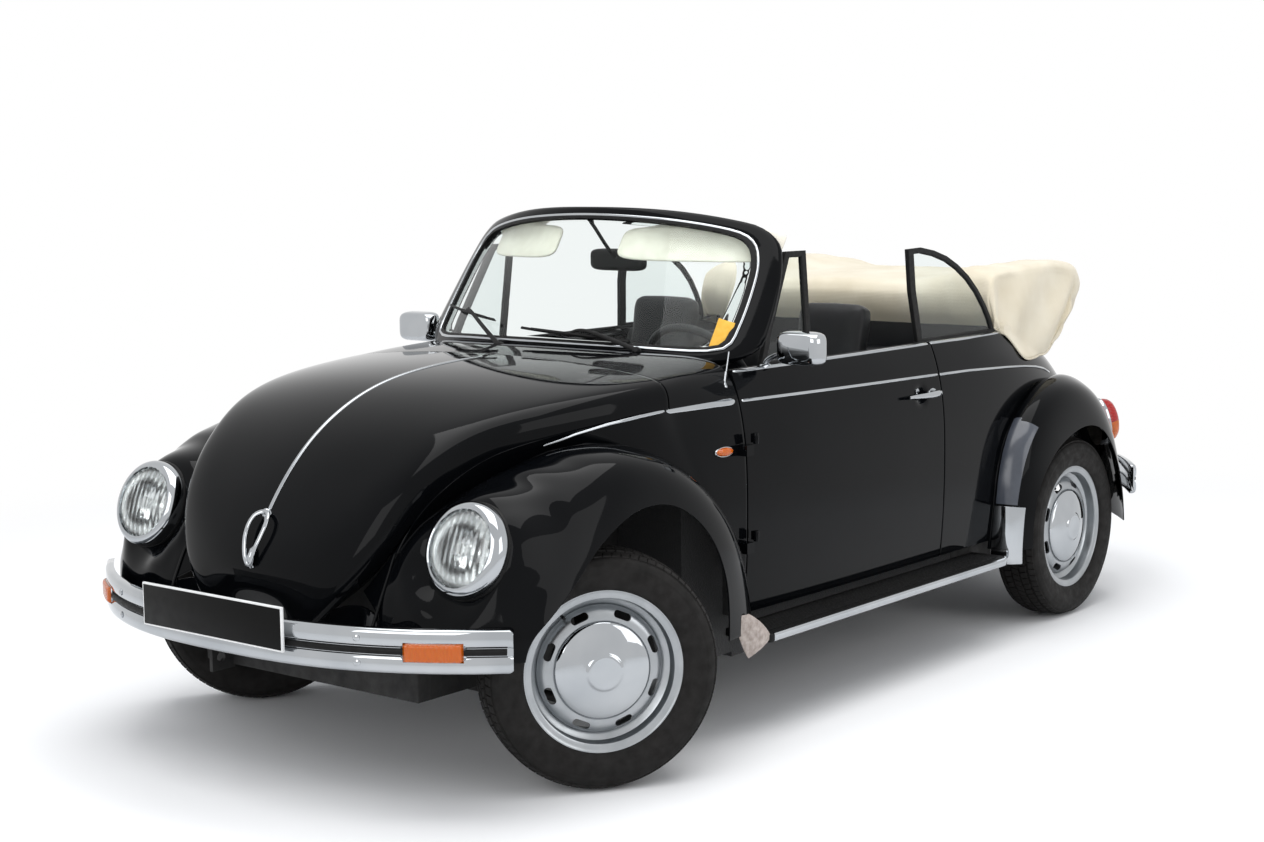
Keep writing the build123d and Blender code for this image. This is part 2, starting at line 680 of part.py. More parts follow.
def make_rear_deck(quarter):
    """Panel on top of the tail, from under the folded top to the engine lid."""
    rows = []
    for u in np.linspace(0, 1, 10):
        row = []
        for x in np.linspace(-560, 560, 30):
            back = tail_point(x, LID_TOP_Z)[1] - SHUT_GAP
            y = DECK_FRONT_Y + (back - DECK_FRONT_Y) * u
            row.append((x, y, LID_TOP_Z + 2 + 10 * (1 - u * u)))
        rows.append(row)
    deck = panel(facing(np.array(rows), (0, 0, 1)), SHEET) - quarter - mirrored(quarter)
    y, z = ENGINE_LID_HINGE
    for side in SIDES.values():
        deck -= lid_hinge_notch(side, y, z)
        deck += lid_hinge(side, y, z, LID_HINGE_X + SEAT_GAP, LID_HINGE_X + LID_HINGE_LENGTH)
        deck += block((side * (LID_HINGE_X + SEAT_GAP), side * (LID_HINGE_X + LID_HINGE_LENGTH)),
                      (y - 30, y), (z - 9, z))
    return deck


# ---------------------------------------------------------------- doors and side windows
DOOR_HINGE_X = WAIST_HALF_WIDTH + 8
DOOR_HINGE_BEHIND = 3.0
DOOR_HINGE_HEIGHTS = (520.0, 790.0)
HINGE_RADIUS = 8.0
HINGE_BARREL = 30.0


def hinge_barrel(z_low, z_high):
    """Part of a left door hinge's barrel."""
    y = DOOR_FRONT_Y + DOOR_HINGE_BEHIND
    return rod((DOOR_HINGE_X, y, z_low), (DOOR_HINGE_X, y, z_high), HINGE_RADIUS)


def make_door():
    """Left door, as thick as its skin, frame and trim together, with its hinge halves."""
    grid = side_grid(DOOR_FRONT_Y, DOOR_REAR_Y - SHUT_GAP, SILL_Z, BELT_Z)
    door = panel(facing(grid, (1, 0, 0)), DOOR_THICKNESS, (1, 0, 0))
    for z in DOOR_HINGE_HEIGHTS:
        y = DOOR_FRONT_Y + DOOR_HINGE_BEHIND
        door += hinge_barrel(z + SEAT_GAP, z + HINGE_BARREL)
        door += block((DOOR_HINGE_X - 40, DOOR_HINGE_X), (y - 3, y + 25), (z + SEAT_GAP, z + HINGE_BARREL))
    return door


def make_door_hinges(quarter):
    """Body halves of the left door's exposed hinges."""
    halves = []
    for z in DOOR_HINGE_HEIGHTS:
        y = DOOR_FRONT_Y + DOOR_HINGE_BEHIND
        half = hinge_barrel(z - HINGE_BARREL, z - SEAT_GAP)
        half += block((DOOR_HINGE_X - 40, DOOR_HINGE_X), (y - 42, DOOR_FRONT_Y - SHUT_GAP),
                      (z - HINGE_BARREL, z - SEAT_GAP))
        half -= quarter
        halves.append(max(half.solids(), key=lambda solid: solid.volume))
    return halves


WINDOW_X = WAIST_HALF_WIDTH - 78
WINDOW_LEAN = 0.10
FRAME_WALL = 16.0
WINDOW_FOOT_Z = BELT_Z + SEAT_GAP
VENT = [(-578, WINDOW_FOOT_Z), (-525, 1070), (-400, 1292), (-384, 1302), (-291, 1300),
        (-307, WINDOW_FOOT_Z)]
QUARTER_WINDOW = [(281, 991), (262, 1150), (268, 1280), (345, 1281), (500, 1247), (627, 1179),
                  (722, 1080), (768, 1000), (768, 991), (546, 991), (546, LINING_TOP_Z + SEAT_GAP),
                  (320, LINING_TOP_Z + SEAT_GAP), (320, 991)]


def window_slab(outline, thickness, foot_z):
    """A flat side window with its frame, leaning inward as it rises from a level foot."""
    face = make_face(Polyline(*[(0, y, z) for y, z in outline], close=True))
    slab = extrude(face, amount=thickness, dir=(-1, 0, 0))
    lean = Location((0, 0, BELT_Z)) * Rot(0, -math.degrees(WINDOW_LEAN), 0)
    slab = Pos(WINDOW_X, 0, 0) * lean * Pos(0, 0, -BELT_Z) * slab
    below = block((WINDOW_X - 60, WINDOW_X + 60), (DOOR_FRONT_Y, REAR_AXLE_Y), (BELT_Z - 90, foot_z))
    return slab - below


def make_vent_window():
    """Left front vent window on the door."""
    return window_slab(VENT, FRAME_WALL, WINDOW_FOOT_Z)


def make_quarter_window():
    """Left rear quarter window, raised."""
    return window_slab(QUARTER_WINDOW, FRAME_WALL, LINING_TOP_Z + SEAT_GAP)


def make_door_mirror():
    """Left outside mirror on its arm."""
    y = DOOR_FRONT_Y + 155
    foot = block((WINDOW_X + 1, WINDOW_X + 24), (y - 12, y + 28),
                 (BELT_Z + SEAT_GAP, BELT_Z + 14))
    arm = rod((WINDOW_X + 12, y + 4, BELT_Z + 8), (WINDOW_X + 96, y, BELT_Z + 48), 6)
    head = rounded_block((WINDOW_X + 86, WINDOW_X + 200), (y - 30, y + 15),
                         (BELT_Z + 21, BELT_Z + 101), 14)
    return foot + arm + head


# ---------------------------------------------------------------- wheels and steering
WHEEL_DISC_X = 12.0
WELL_DROP = 24.0


def make_tyre():
    """Tyre about X, with its outer side at +X."""
    half = TYRE_WIDTH / 2
    seat = RIM_SEAT_RADIUS + SEAT_GAP
    bead = RIM_WIDTH / 2 - RIM_WALL - SEAT_GAP
    side = [(bead, seat), (bead, seat + 20), (half - 5, seat + 40), (half, seat + 64),
            (half - 4, TYRE_RADIUS - 22), (half - 18, TYRE_RADIUS - 2), (0, TYRE_RADIUS)]
    return turned(side + [(-x, r) for x, r in reversed(side[:-1])])


def rim_barrel():
    """The wheel's drop-centre barrel and flanges."""
    half = RIM_WIDTH / 2
    seat = RIM_SEAT_RADIUS
    flange = seat + RIM_FLANGE
    outer = [(-half, flange), (-half + RIM_WALL, flange), (-half + RIM_WALL, seat), (-28, seat),
             (-18, seat - WELL_DROP), (18, seat - WELL_DROP), (28, seat),
             (half - RIM_WALL, seat), (half - RIM_WALL, flange), (half, flange)]
    inner = [(half, seat - RIM_WALL), (26, seat - RIM_WALL), (16, seat - WELL_DROP - RIM_WALL),
             (-16, seat - WELL_DROP - RIM_WALL), (-26, seat - RIM_WALL), (-half, seat - RIM_WALL)]
    return turned(outer + inner)


def make_rim():
    """Pressed wheel with its slots and domed hubcap, about X."""
    edge = RIM_SEAT_RADIUS - WELL_DROP - RIM_WALL / 2
    bore = SPINDLE_RADIUS + BEARING_CLEARANCE
    front = [(15, edge), (36, edge - 12), (42, 138), (42, HUBCAP_RADIUS), (36, 104),
             (WHEEL_DISC_X + RIM_WALL, 80), (WHEEL_DISC_X + RIM_WALL, bore)]
    back = [(WHEEL_DISC_X, bore), (WHEEL_DISC_X, 84), (30, 106), (36, HUBCAP_RADIUS + 2),
            (36, 137), (30, edge - 14), (11, edge)]
    disc = turned(front + back)
    slot = Pos(36, 0, (HUBCAP_RADIUS + edge) / 2) * Box(40, 47, 18)
    slot = fillet(slot.edges().filter_by(Axis.X), 8)
    for i in range(RIM_SLOTS):
        disc -= Rot(360 / RIM_SLOTS * (i + 0.5), 0, 0) * slot
    cap = [(40, HUBCAP_RADIUS - 1), (50, HUBCAP_RADIUS - 5), (62, HUBCAP_RADIUS - 36),
           (70, 42), (73, 0), (67, 0), (64, 40), (56, HUBCAP_RADIUS - 38),
           (45, HUBCAP_RADIUS - 10), (38, HUBCAP_RADIUS - 8)]
    return rim_barrel() + disc + turned(cap)


KINGPIN_LOW = (FRONT_TRACK / 2 - 65, 196.0)
KINGPIN_TOP = (FRONT_TRACK / 2 - 152, 792.0)
DRUM_RADIUS = 115.0
DRUM_WIDTH = 46.0
STRUT_RADIUS = 25.0
SPRING_RADIUS = 52.0
STRUT_TOP_RADIUS = 15.0


def kingpin(side, z):
    """The point of a front steering axis at a height."""
    share = (z - KINGPIN_LOW[1]) / (KINGPIN_TOP[1] - KINGPIN_LOW[1])
    x = KINGPIN_LOW[0] + (KINGPIN_TOP[0] - KINGPIN_LOW[0]) * share
    return (side * x, FRONT_AXLE_Y, z)


def front_wheel_place(side):
    """Place of a front wheel at rest, steered to the car's right about its kingpin."""
    pivot = Pos(*kingpin(side, AXLE_Z))
    offset = FRONT_TRACK / 2 - kingpin(1, AXLE_Z)[0]
    outward = 0 if side > 0 else 180
    return pivot * Rot(0, 0, outward - STEER_AT_REST) * Pos(offset, 0, 0)


def rear_wheel_place(side):
    """Place of a rear wheel."""
    outward = 0 if side > 0 else 180
    return Pos(side * REAR_TRACK / 2, REAR_AXLE_Y, AXLE_Z) * Rot(0, 0, outward)


def hub_and_drum(inboard):
    """Brake drum and spindle about X, with the spindle reaching inboard by a length."""
    spindle = Pos((WHEEL_DISC_X + 30 - inboard) / 2, 0, 0) * Rot(0, 90, 0) * Cylinder(
        SPINDLE_RADIUS, WHEEL_DISC_X + 30 + inboard)
    drum_middle = WHEEL_DISC_X - SEAT_GAP - DRUM_WIDTH / 2
    return spindle + Pos(drum_middle, 0, 0) * Rot(0, 90, 0) * Cylinder(DRUM_RADIUS, DRUM_WIDTH)


def make_knuckle(side):
    """Steering knuckle with brake drum, spindle and strut, turned as the wheel is."""
    hub = front_wheel_place(side) * hub_and_drum(92)
    leg = rod(kingpin(side, 205), kingpin(side, 600), STRUT_RADIUS)
    spring = rod(kingpin(side, 640), kingpin(side, 758), SPRING_RADIUS)
    top = rod(kingpin(side, 590), kingpin(side, 800), STRUT_TOP_RADIUS)
    return hub + leg + spring + top


STEERING_WHEEL_CENTRE = (336.0, -490.0, 930.0)
STEERING_WHEEL_RADIUS = 190.0
COLUMN_TILT = 30.0
HUB_LENGTH = 44.0
COLUMN_LENGTH = 300.0


def column_plane():
    """Plane of the steering wheel; its normal points at the driver."""
    tilt = math.radians(COLUMN_TILT)
    return Plane(origin=STEERING_WHEEL_CENTRE, x_dir=(1, 0, 0),
                 z_dir=(0, math.cos(tilt), math.sin(tilt)))


def make_steering_wheel():
    """Steering wheel with its spokes and hub."""
    wheel = Torus(STEERING_WHEEL_RADIUS - 13, 13) + Pos(0, 0, -HUB_LENGTH / 2) * Cylinder(
        46, HUB_LENGTH)
    for angle in (-22, 22, 158, 202):
        reach = STEERING_WHEEL_RADIUS - 10
        wheel += Rot(0, 0, angle) * Pos(reach / 2, 0, -8) * Box(reach, 22, 10)
    return column_plane().location * wheel


# ---------------------------------------------------------------- chassis and inner body
FLOOR_FRONT_Y = FRONT_AXLE_Y + 385
HEELBOARD_Y = 470.0
SEAT_PAN_Z = 360.0
FIREWALL_Y = 850.0
WALL = 12.0
LINING = 45.0
LINING_GAP = 1.5


def lining(y_from, y_to, z_from, z_to):
    """Both side linings between stations, set against the body panels."""
    inner = facing(side_grid(y_from, y_to, z_from, z_to, 6, 8), (1, 0, 0))
    inner = inner - np.array([SHEET + LINING_GAP, 0, 0])
    left = panel(inner, LINING, (1, 0, 0))
    return left, mirrored(left)


def make_floor_pan():
    """Floor, tunnel, sills, bulkhead, pillars and rear seat pan, welded as one tub."""
    floor_high = FLOOR_Z + FLOOR_THICKNESS
    tub = block((-SILL_HALF_WIDTH, SILL_HALF_WIDTH), (FLOOR_FRONT_Y, HEELBOARD_Y + WALL),
                (FLOOR_Z, floor_high))
    tub += block((-75, 75), (FLOOR_FRONT_Y, HEELBOARD_Y + WALL), (FLOOR_Z, floor_high + 130))
    tub += block((-SILL_HALF_WIDTH, SILL_HALF_WIDTH), (FLOOR_FRONT_Y, FLOOR_FRONT_Y + WALL),
                 (FLOOR_Z, 890))
    tub += block((-CABIN_HALF_WIDTH, CABIN_HALF_WIDTH), (HEELBOARD_Y, HEELBOARD_Y + WALL),
                 (FLOOR_Z, SEAT_PAN_Z + WALL))
    tub += block((-CABIN_HALF_WIDTH, CABIN_HALF_WIDTH), (HEELBOARD_Y, FIREWALL_Y + WALL),
                 (SEAT_PAN_Z, SEAT_PAN_Z + WALL))
    tub += block((-CABIN_HALF_WIDTH, CABIN_HALF_WIDTH), (FIREWALL_Y, FIREWALL_Y + WALL),
                 (SEAT_PAN_Z, 940))
    for side in SIDES.values():
        x_in, x_out = side * (SILL_HALF_WIDTH - 66), side * SILL_HALF_WIDTH
        tub += block((x_in, x_out), (FLOOR_FRONT_Y, HEELBOARD_Y + WALL), (FLOOR_Z, 303))
        tub += block((side * (SILL_HALF_WIDTH - WALL), x_out), (FLOOR_FRONT_Y, DOOR_FRONT_Y - 12),
                     (FLOOR_Z, 890))
        x_wall = side * (CABIN_HALF_WIDTH - WALL), side * CABIN_HALF_WIDTH
        tub += block(x_wall, (HEELBOARD_Y, FIREWALL_Y + WALL), (SEAT_PAN_Z, 940))
    for post in lining(DOOR_FRONT_Y - 60, DOOR_FRONT_Y - SHUT_GAP - 1, SILL_Z + 2, 905):
        tub += post
    for post in lining(DOOR_REAR_Y + 1, DOOR_REAR_Y + 230, SILL_Z + 2, LINING_TOP_Z):
        tub += post
    for side in SIDES.values():
        tub += block((side * (SILL_HALF_WIDTH - 75), side * SILL_HALF_WIDTH), (DOOR_REAR_Y + 20, DOOR_REAR_Y + 150),
                     (FLOOR_Z, SILL_Z + 60))
        for y in JACK_PAD_STATIONS:
            tub += block((side * (JACK_PAD_X - JACK_PAD / 2), side * (JACK_PAD_X + JACK_PAD / 2)),
                         (y - JACK_PAD / 2, y + JACK_PAD / 2), (FLOOR_Z - JACK_PAD_HEIGHT, FLOOR_Z))
    return tub


WELL_HALF_WIDTH = 400.0
WELL_FRONT_Y = FRONT_AXLE_Y - 395
WELL_LOW_Z = 240.0
WELL_KNEE_Z = 662.0
WELL_WALL = 8.0


def well_side():
    """Left wall of the luggage well, stepping out over the wheel up to the hood's edge."""
    rows = []
    edge = net_curve([front_point(*point) for point in HOOD_EDGE[4:]], 24)
    start, end = edge[0][1], FLOOR_FRONT_Y - SEAT_GAP * 3
    for x, y, z in edge:
        y = start + (end - start) * (y - edge[0][1]) / (edge[-1][1] - edge[0][1])
        short = max(WELL_HALF_WIDTH - (x - 38), 0)
        knee = (WELL_HALF_WIDTH, y, min(WELL_KNEE_Z, z - 60 - 2 * short))
        top = (x - 38 + short, y, z - 46 - 2 * short)
        line = [(WELL_HALF_WIDTH, y, WELL_LOW_Z), (WELL_HALF_WIDTH, y, 400), knee, knee, top]
        rows.append(net_curve(line, 16))
    return facing(np.array(rows), (1, 0, 0))


def make_front_inner():
    """Luggage well with its floor, walls, strut towers and the towing eye."""
    left = panel(well_side(), WELL_WALL)
    well = left + mirrored(left)
    half = WELL_HALF_WIDTH - 3
    well += block((-half, half), (WELL_FRONT_Y, FLOOR_FRONT_Y - 2),
                  (WELL_LOW_Z - 1, WELL_LOW_Z + WELL_WALL))
    well += block((-half, half), (WELL_FRONT_Y, WELL_FRONT_Y + WELL_WALL), (WELL_LOW_Z - 1, 601))
    for side in SIDES.values():
        x_wall = side * (WELL_HALF_WIDTH - WELL_WALL + 1), side * (WELL_HALF_WIDTH - 1)
        well += block(x_wall, (WELL_FRONT_Y + 1, well_side()[0][0][1] + 4), (WELL_LOW_Z + 1, 600))
        x_tower = side * (WELL_HALF_WIDTH - 3), side * (KINGPIN_TOP[0] + 60)
        tower = block(x_tower, (FRONT_AXLE_Y - 62, FRONT_AXLE_Y + 62), (778, 812))
        well += tower - rod(kingpin(side, 700), kingpin(side, 900), STRUT_TOP_RADIUS + 1)
    eye = block((-TOW_EYE_X - TOW_EYE_THICKNESS / 2, -TOW_EYE_X + TOW_EYE_THICKNESS / 2),
                (WELL_FRONT_Y - 70, WELL_FRONT_Y + 6), (WELL_LOW_Z - 10, WELL_LOW_Z + 60))
    hole = rod((-TOW_EYE_X - 30, WELL_FRONT_Y - 40, WELL_LOW_Z + 25),
               (-TOW_EYE_X + 30, WELL_FRONT_Y - 40, WELL_LOW_Z + 25), TOW_EYE_BORE)
    return well + (eye - hole)


def make_rear_inner():
    """Inner wheelhouses and engine bay sides behind the cabin."""
    y_from = FIREWALL_Y + WALL + SEAT_GAP
    profile = [(y_from, 420), (REAR_AXLE_Y + 250, 420), (REAR_AXLE_Y + 250, 600),
               (REAR_AXLE_Y + 75, 840), (y_from, 870)]
    face = make_face(Polyline(*[(0, y, z) for y, z in profile], close=True))
    inner = block((-CABIN_HALF_WIDTH, CABIN_HALF_WIDTH), (y_from, y_from + 60), (800, 870))
    for side in SIDES.values():
        start = CABIN_HALF_WIDTH if side < 0 else CABIN_HALF_WIDTH - WALL
        inner += Pos(side * start, 0, 0) * extrude(face, amount=WALL, dir=(1, 0, 0))
    return inner


def make_front_axle():
    """Cross member with its two lower control arms."""
    axle = block((-330, 330), (FRONT_AXLE_Y - 50, FRONT_AXLE_Y + 50), (178, WELL_LOW_Z - 1 - SEAT_GAP))
    for side in SIDES.values():
        end = (side * (KINGPIN_LOW[0] - 4), FRONT_AXLE_Y, 182)
        axle += rod((side * 300, FRONT_AXLE_Y, 196), end, 13)
        axle += rod((side * (KINGPIN_LOW[0] + 2), FRONT_AXLE_Y, 168),
                    (side * KINGPIN_LOW[0], FRONT_AXLE_Y, 196), 22)
    return axle


def make_rear_axle():
    """Transaxle, half shafts, torsion tube, trailing arms and rear brake drums."""
    axle = rounded_block((-120, 120), (FIREWALL_Y + 40, REAR_AXLE_Y + 140), (215, 440), 24)
    tube_y, tube_z = REAR_AXLE_Y - 330, 288
    axle += rod((-500, tube_y, tube_z), (500, tube_y, tube_z), 38)
    axle += block((-60, 60), (tube_y, FIREWALL_Y + 60), (250, 330))
    for side in SIDES.values():
        axle += rear_wheel_place(side) * hub_and_drum(90)
        axle += rod((side * 90, REAR_AXLE_Y, AXLE_Z), (side * 600, REAR_AXLE_Y, AXLE_Z), 16)
        axle += block((side * 560, side * 584), (REAR_AXLE_Y - 60, REAR_AXLE_Y + 50), (250, 360))
        axle += rod((side * 490, tube_y, tube_z), (side * 572, REAR_AXLE_Y - 40, AXLE_Z), 17)
        axle += block((side * 300, side * 340), (tube_y - 30, tube_y + 30),
                      (tube_z, SEAT_PAN_Z - SEAT_GAP))
    return axle


def make_engine():
    """Engine as one plain mass behind the transaxle."""
    return rounded_block((-260, 260), (REAR_AXLE_Y + 140 + SEAT_GAP, REAR_AXLE_Y + 470),
                         (270, 640), 20)


def make_exhaust():
    """Silencer across the tail with two tail pipes."""
    y = REAR_AXLE_Y + 560
    muffler = rod((-230, y, 300), (230, y, 300), 70)
    for side in SIDES.values():
        muffler += rod((side * 170, y, 262), (side * 170, y + 330, 250), 17)
        muffler += rod((side * 150, REAR_AXLE_Y + 470 + SEAT_GAP, 310), (side * 150, y, 310), 20)
    return muffler


# ---------------------------------------------------------------- trim and cabin pieces
BUMPER_HALF_WIDTH = 758.0
BUMPER_SWEEP = 2.6
BUMPER_BULGE = 5.0
FRONT_BUMPER_REACH = 261.0
REAR_BUMPER_REACH = 440.0
REAR_BUMPER_TOP_Z = 450.0


def bumper_face(centre_y, reach, half_width, z_low, z_high):
    """Outer surface of a bumper blade, wrapped round the body's end."""
    grid = []
    for z in np.linspace(z_low, z_high, 8):
        bulge = BUMPER_BULGE * math.sin(math.pi * (z - z_low) / (z_high - z_low))
        row = []
        for v in np.linspace(-1, 1, 41):
            y = abs(centre_y) - reach * abs(v) ** BUMPER_SWEEP + bulge - BUMPER_BULGE
            row.append((v * half_width, math.copysign(y, centre_y), z))
        grid.append(row)
    return grid


def make_bumper_front():
    """Front bumper blade with its two irons and the blank plate."""
    face_y = -LENGTH / 2 + PLATE_THICKNESS + 2
    low = BUMPER_TOP_Z - BUMPER_HEIGHT
    grid = bumper_face(face_y, FRONT_BUMPER_REACH, BUMPER_HALF_WIDTH, low, BUMPER_TOP_Z)
    blade = panel(facing(np.array(grid), (0, -1, 0)), BUMPER_DEPTH)
    for side in SIDES.values():
        blade += block((side * 330, side * 350), (face_y + 45, FRONT_AXLE_Y - 503), (345, 385))
    plate_z = BUMPER_TOP_Z - 18
    blade += block((-PLATE_WIDTH / 2, PLATE_WIDTH / 2),
                   (-LENGTH / 2, -LENGTH / 2 + PLATE_THICKNESS + 30),
                   (plate_z - PLATE_HEIGHT / 2, plate_z + PLATE_HEIGHT / 2))
    return blade


def make_bumper_rear():
    """Rear bumper blade with its two irons."""
    low = REAR_BUMPER_TOP_Z - BUMPER_HEIGHT
    grid = bumper_face(LENGTH / 2, REAR_BUMPER_REACH, BUMPER_HALF_WIDTH - 40, low,
                       REAR_BUMPER_TOP_Z)
    blade = panel(facing(np.array(grid), (0, 1, 0)), BUMPER_DEPTH)
    for side in SIDES.values():
        start = tail_point(250, 385)[1] + SEAT_GAP
        blade += block((side * 250, side * 270), (start, LENGTH / 2 - 35), (385, 415))
    return blade


def make_running_board():
    """Left running board, bolted to the sill."""
    low, high = RUNNING_BOARD_Z - RUNNING_BOARD_THICKNESS, RUNNING_BOARD_Z
    board = block((SILL_HALF_WIDTH + SEAT_GAP, SILL_HALF_WIDTH + RUNNING_BOARD_WIDTH),
                  (DOOR_FRONT_Y - 49, HEELBOARD_Y + 130), (low, high))
    return fillet(board.edges().filter_by(Axis.Z).group_by(Axis.X)[-1], 60)


SEAT_X = 336.0
SEAT_WIDTH = 460.0


def make_front_seats():
    """Two front seats: base, cushion and reclined back with its built-in head support."""
    seats = None
    for side in SIDES.values():
        low, high = SEAT_X - SEAT_WIDTH / 2, SEAT_X + SEAT_WIDTH / 2
        cushion = rounded_block((side * low, side * high), (-330, 180), (352, 500), 34)
        back = rounded_block((-SEAT_WIDTH / 2 + 15, SEAT_WIDTH / 2 - 15), (-48, 48), (-60, 460), 34)
        back += rounded_block((-132, 132), (-40, 40), (380, 655), 30)
        back = Pos(side * SEAT_X, 95, 480) * Rot(-12, 0, 0) * back
        base = block((side * (low + 60), side * (high - 60)), (-260, 140),
                     (FLOOR_Z + FLOOR_THICKNESS + SEAT_GAP, 372))
        seat = cushion + back + base
        seats = seat if seats is None else seats + seat
    return seats


def make_rear_seat():
    """Bench seat across the back of the cabin."""
    cushion = rounded_block((-520, 520), (492, 800), (SEAT_PAN_Z + WALL + SEAT_GAP, 530), 34)
    back = rounded_block((-520, 520), (-45, 45), (-60, 400), 34)
    return cushion + Pos(0, 756, 540) * Rot(-7, 0, 0) * back


def make_dashboard():
    """Padded instrument panel with the steering column."""
    pad = rounded_block((-535, 535), (DOOR_FRONT_Y - 75, DOOR_FRONT_Y + 75), (800, 985), 20)
    pad -= screen_slab()
    for side in SIDES.values():
        pad += block((side * 500, side * 594), (DOOR_FRONT_Y - 50, DOOR_FRONT_Y - 12), (830, 850))
    plane = column_plane()
    start = plane.from_local_coords(Vector(0, 0, -HUB_LENGTH - SEAT_GAP))
    end = plane.from_local_coords(Vector(0, 0, -COLUMN_LENGTH))
    return pad + rod(start, end, 30)


FOLDED_TOP = [(800, 992), (752, 1060), (770, 1160), (840, 1194), (1120, 1202), (1430, 1194),
              (1570, 1160), (1592, 1120), (1545, 1040), (1470, 985), (1340, 920), (1150, 920),
              (1000, 990)]


TOP_HALF_WIDTH = 585.0
TOP_CORNER = 225.0
TOP_DRAPE = [(742, 1134), (784, 992), (906, 899), (993, 882), (1131, 888), (1283, 1003),
             (1353, 1092), (1384, 1160), (1219, 1192), (840, 1186)]


def make_folded_top(quarter, deck):
    """The cloth top, folded down behind the rear seat, with its two side drapes."""
    outline = make_face(Spline(*[(0, y, z) for y, z in FOLDED_TOP], periodic=True))
    bundle = extrude(outline, amount=TOP_HALF_WIDTH, dir=(1, 0, 0), both=True)
    bundle = fillet(bundle.edges(), 24)
    rear = max(y for y, z in FOLDED_TOP) + 2
    plan = block((-TOP_HALF_WIDTH, TOP_HALF_WIDTH), (rear - 1000, rear), (800, 1300))
    bundle &= fillet(plan.edges().filter_by(Axis.Z).group_by(Axis.Y)[-1], TOP_CORNER)
    bundle -= Pos(0, 0, SEAT_GAP) * deck
    drape = make_face(Polyline(*[(0, y, z) for y, z in TOP_DRAPE], close=True))
    for side in SIDES.values():
        flap = Pos(side * (TOP_HALF_WIDTH - 25), 0, 0) * extrude(drape, amount=43,
                                                               dir=(side, 0, 0))
        panel_side = quarter if side > 0 else mirrored(quarter)
        flap -= Pos(0, 0, SEAT_GAP) * panel_side
        flap -= Pos(-side * SEAT_GAP, 0, 0) * panel_side
        flap -= Pos(0, 0, SEAT_GAP) * deck
        bundle += max(flap.solids(), key=lambda solid: solid.volume)
    return bundle


MIRROR_CENTRE = (0.0, -452.0, 1264.0)


def make_interior_fittings():
    """Interior mirror and two folded sun visors under the windscreen header."""
    x, y, z = MIRROR_CENTRE
    fittings = rounded_block((x - 105, x + 105), (y - 9, y + 9), (z - 33, z + 33), 8)
    header_z = (GLASS_OUTLINE[-1][1] + FRAME_CENTRE_Z[-1]) / 2
    slope = math.hypot(1, SCREEN_SLOPE)
    depth = FRAME_DEPTH + SEAT_GAP
    end = (x, screen_y(0, header_z) + depth / slope, header_z - depth * SCREEN_SLOPE / slope)
    fittings += rod((x, y - 6, z + 20), end, 6)
    return fittings


# ---------------------------------------------------------------- export
def save_pair(name, left):
    """Write a left piece and its mirror image as two nodes."""
    save(f"{name}_left", left)
    save(f"{name}_right", mirrored(left))


def save_joined(name, lefts):
    """Write left pieces and their mirror images as one node of separate solids."""
    save(name, Compound(lefts + [mirrored(left) for left in lefts]))


def save_body():
    """The fixed body and chassis."""
    save("floor_pan", make_floor_pan())
    save("front_inner", make_front_inner())
    save("rear_inner", make_rear_inner())
    pressing = hood_panel()
    quarter_front = make_quarter_front(pressing)
    quarter_rear = make_quarter_rear()
    save("hood", make_hood(pressing))
    save("front_apron", make_front_apron(pressing))
    save_pair("quarter_front", quarter_front)
    save("cowl", make_cowl(quarter_front))
    save("windscreen_frame", make_windscreen_frame())
    save("windscreen_glass", make_windscreen_glass())
    save_pair("quarter_rear", quarter_rear)
    deck = make_rear_deck(quarter_rear)
    save("rear_deck", deck)
    save("folded_top", make_folded_top(quarter_rear, deck))
    save("rear_apron", make_rear_apron())
    save_pair("fender_front", make_fender_front(quarter_front))
    save_pair("fender_rear", make_fender_rear(quarter_rear))
    save_joined("running_boards", [make_running_board()])
    save("bumper_front", make_bumper_front())
    save("bumper_rear", make_bumper_rear())
    save_joined("headlamps", [make_headlamp()])
    save_joined("tail_lamps", [make_tail_lamp()])
    save_joined("quarter_windows", [make_quarter_window()])
    save_joined("door_hinges", make_door_hinges(quarter_front))
    save("engine", make_engine())
    save("exhaust", make_exhaust())
    save("front_axle", make_front_axle())
    save("rear_axle", make_rear_axle())


def save_cabin():
    """Seats, instrument panel and the folded top."""
    save("front_seats", make_front_seats())
    save("rear_seat", make_rear_seat())
    save("dashboard", make_dashboard())
    save("interior_mirror", make_interior_fittings())


def save_moving():
    """Doors, lids, steering and wheels."""
    save("engine_lid", make_engine_lid())
    save_pair("door", make_door())
    save_pair("vent_window", make_vent_window())
    save_pair("door_mirror", make_door_mirror())
    save("steering_wheel", make_steering_wheel())
    rim, tyre = make_rim(), make_tyre()
    for name, side in SIDES.items():
        save(f"knuckle_{name}", make_knuckle(side))
        for end, place in (("front", front_wheel_place(side)), ("rear", rear_wheel_place(side))):
            save(f"rim_{end}_{name}", place * rim)
            save(f"tyre_{end}_{name}", place * tyre)


os.makedirs("parts", exist_ok=True)
save_body()
save_cabin()
save_moving()
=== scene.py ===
# %% [markdown]
# # A classic compact convertible
# This lesson dresses a small rear-engined convertible of the 1970s. Its working parts were made in
# CAD and come in as a fixed frame: bodies that turn, and nodes that collide. Here each visible
# part gets its real surface, trim and finish, and rides on the body that it belongs to.
# Lengths are metres. The car faces -Y, its left side is +X, and the ground is z = 0.

# %% Load the frame
import math

import bmesh
import bpy
import numpy as np
from mathutils import Matrix, Vector, noise


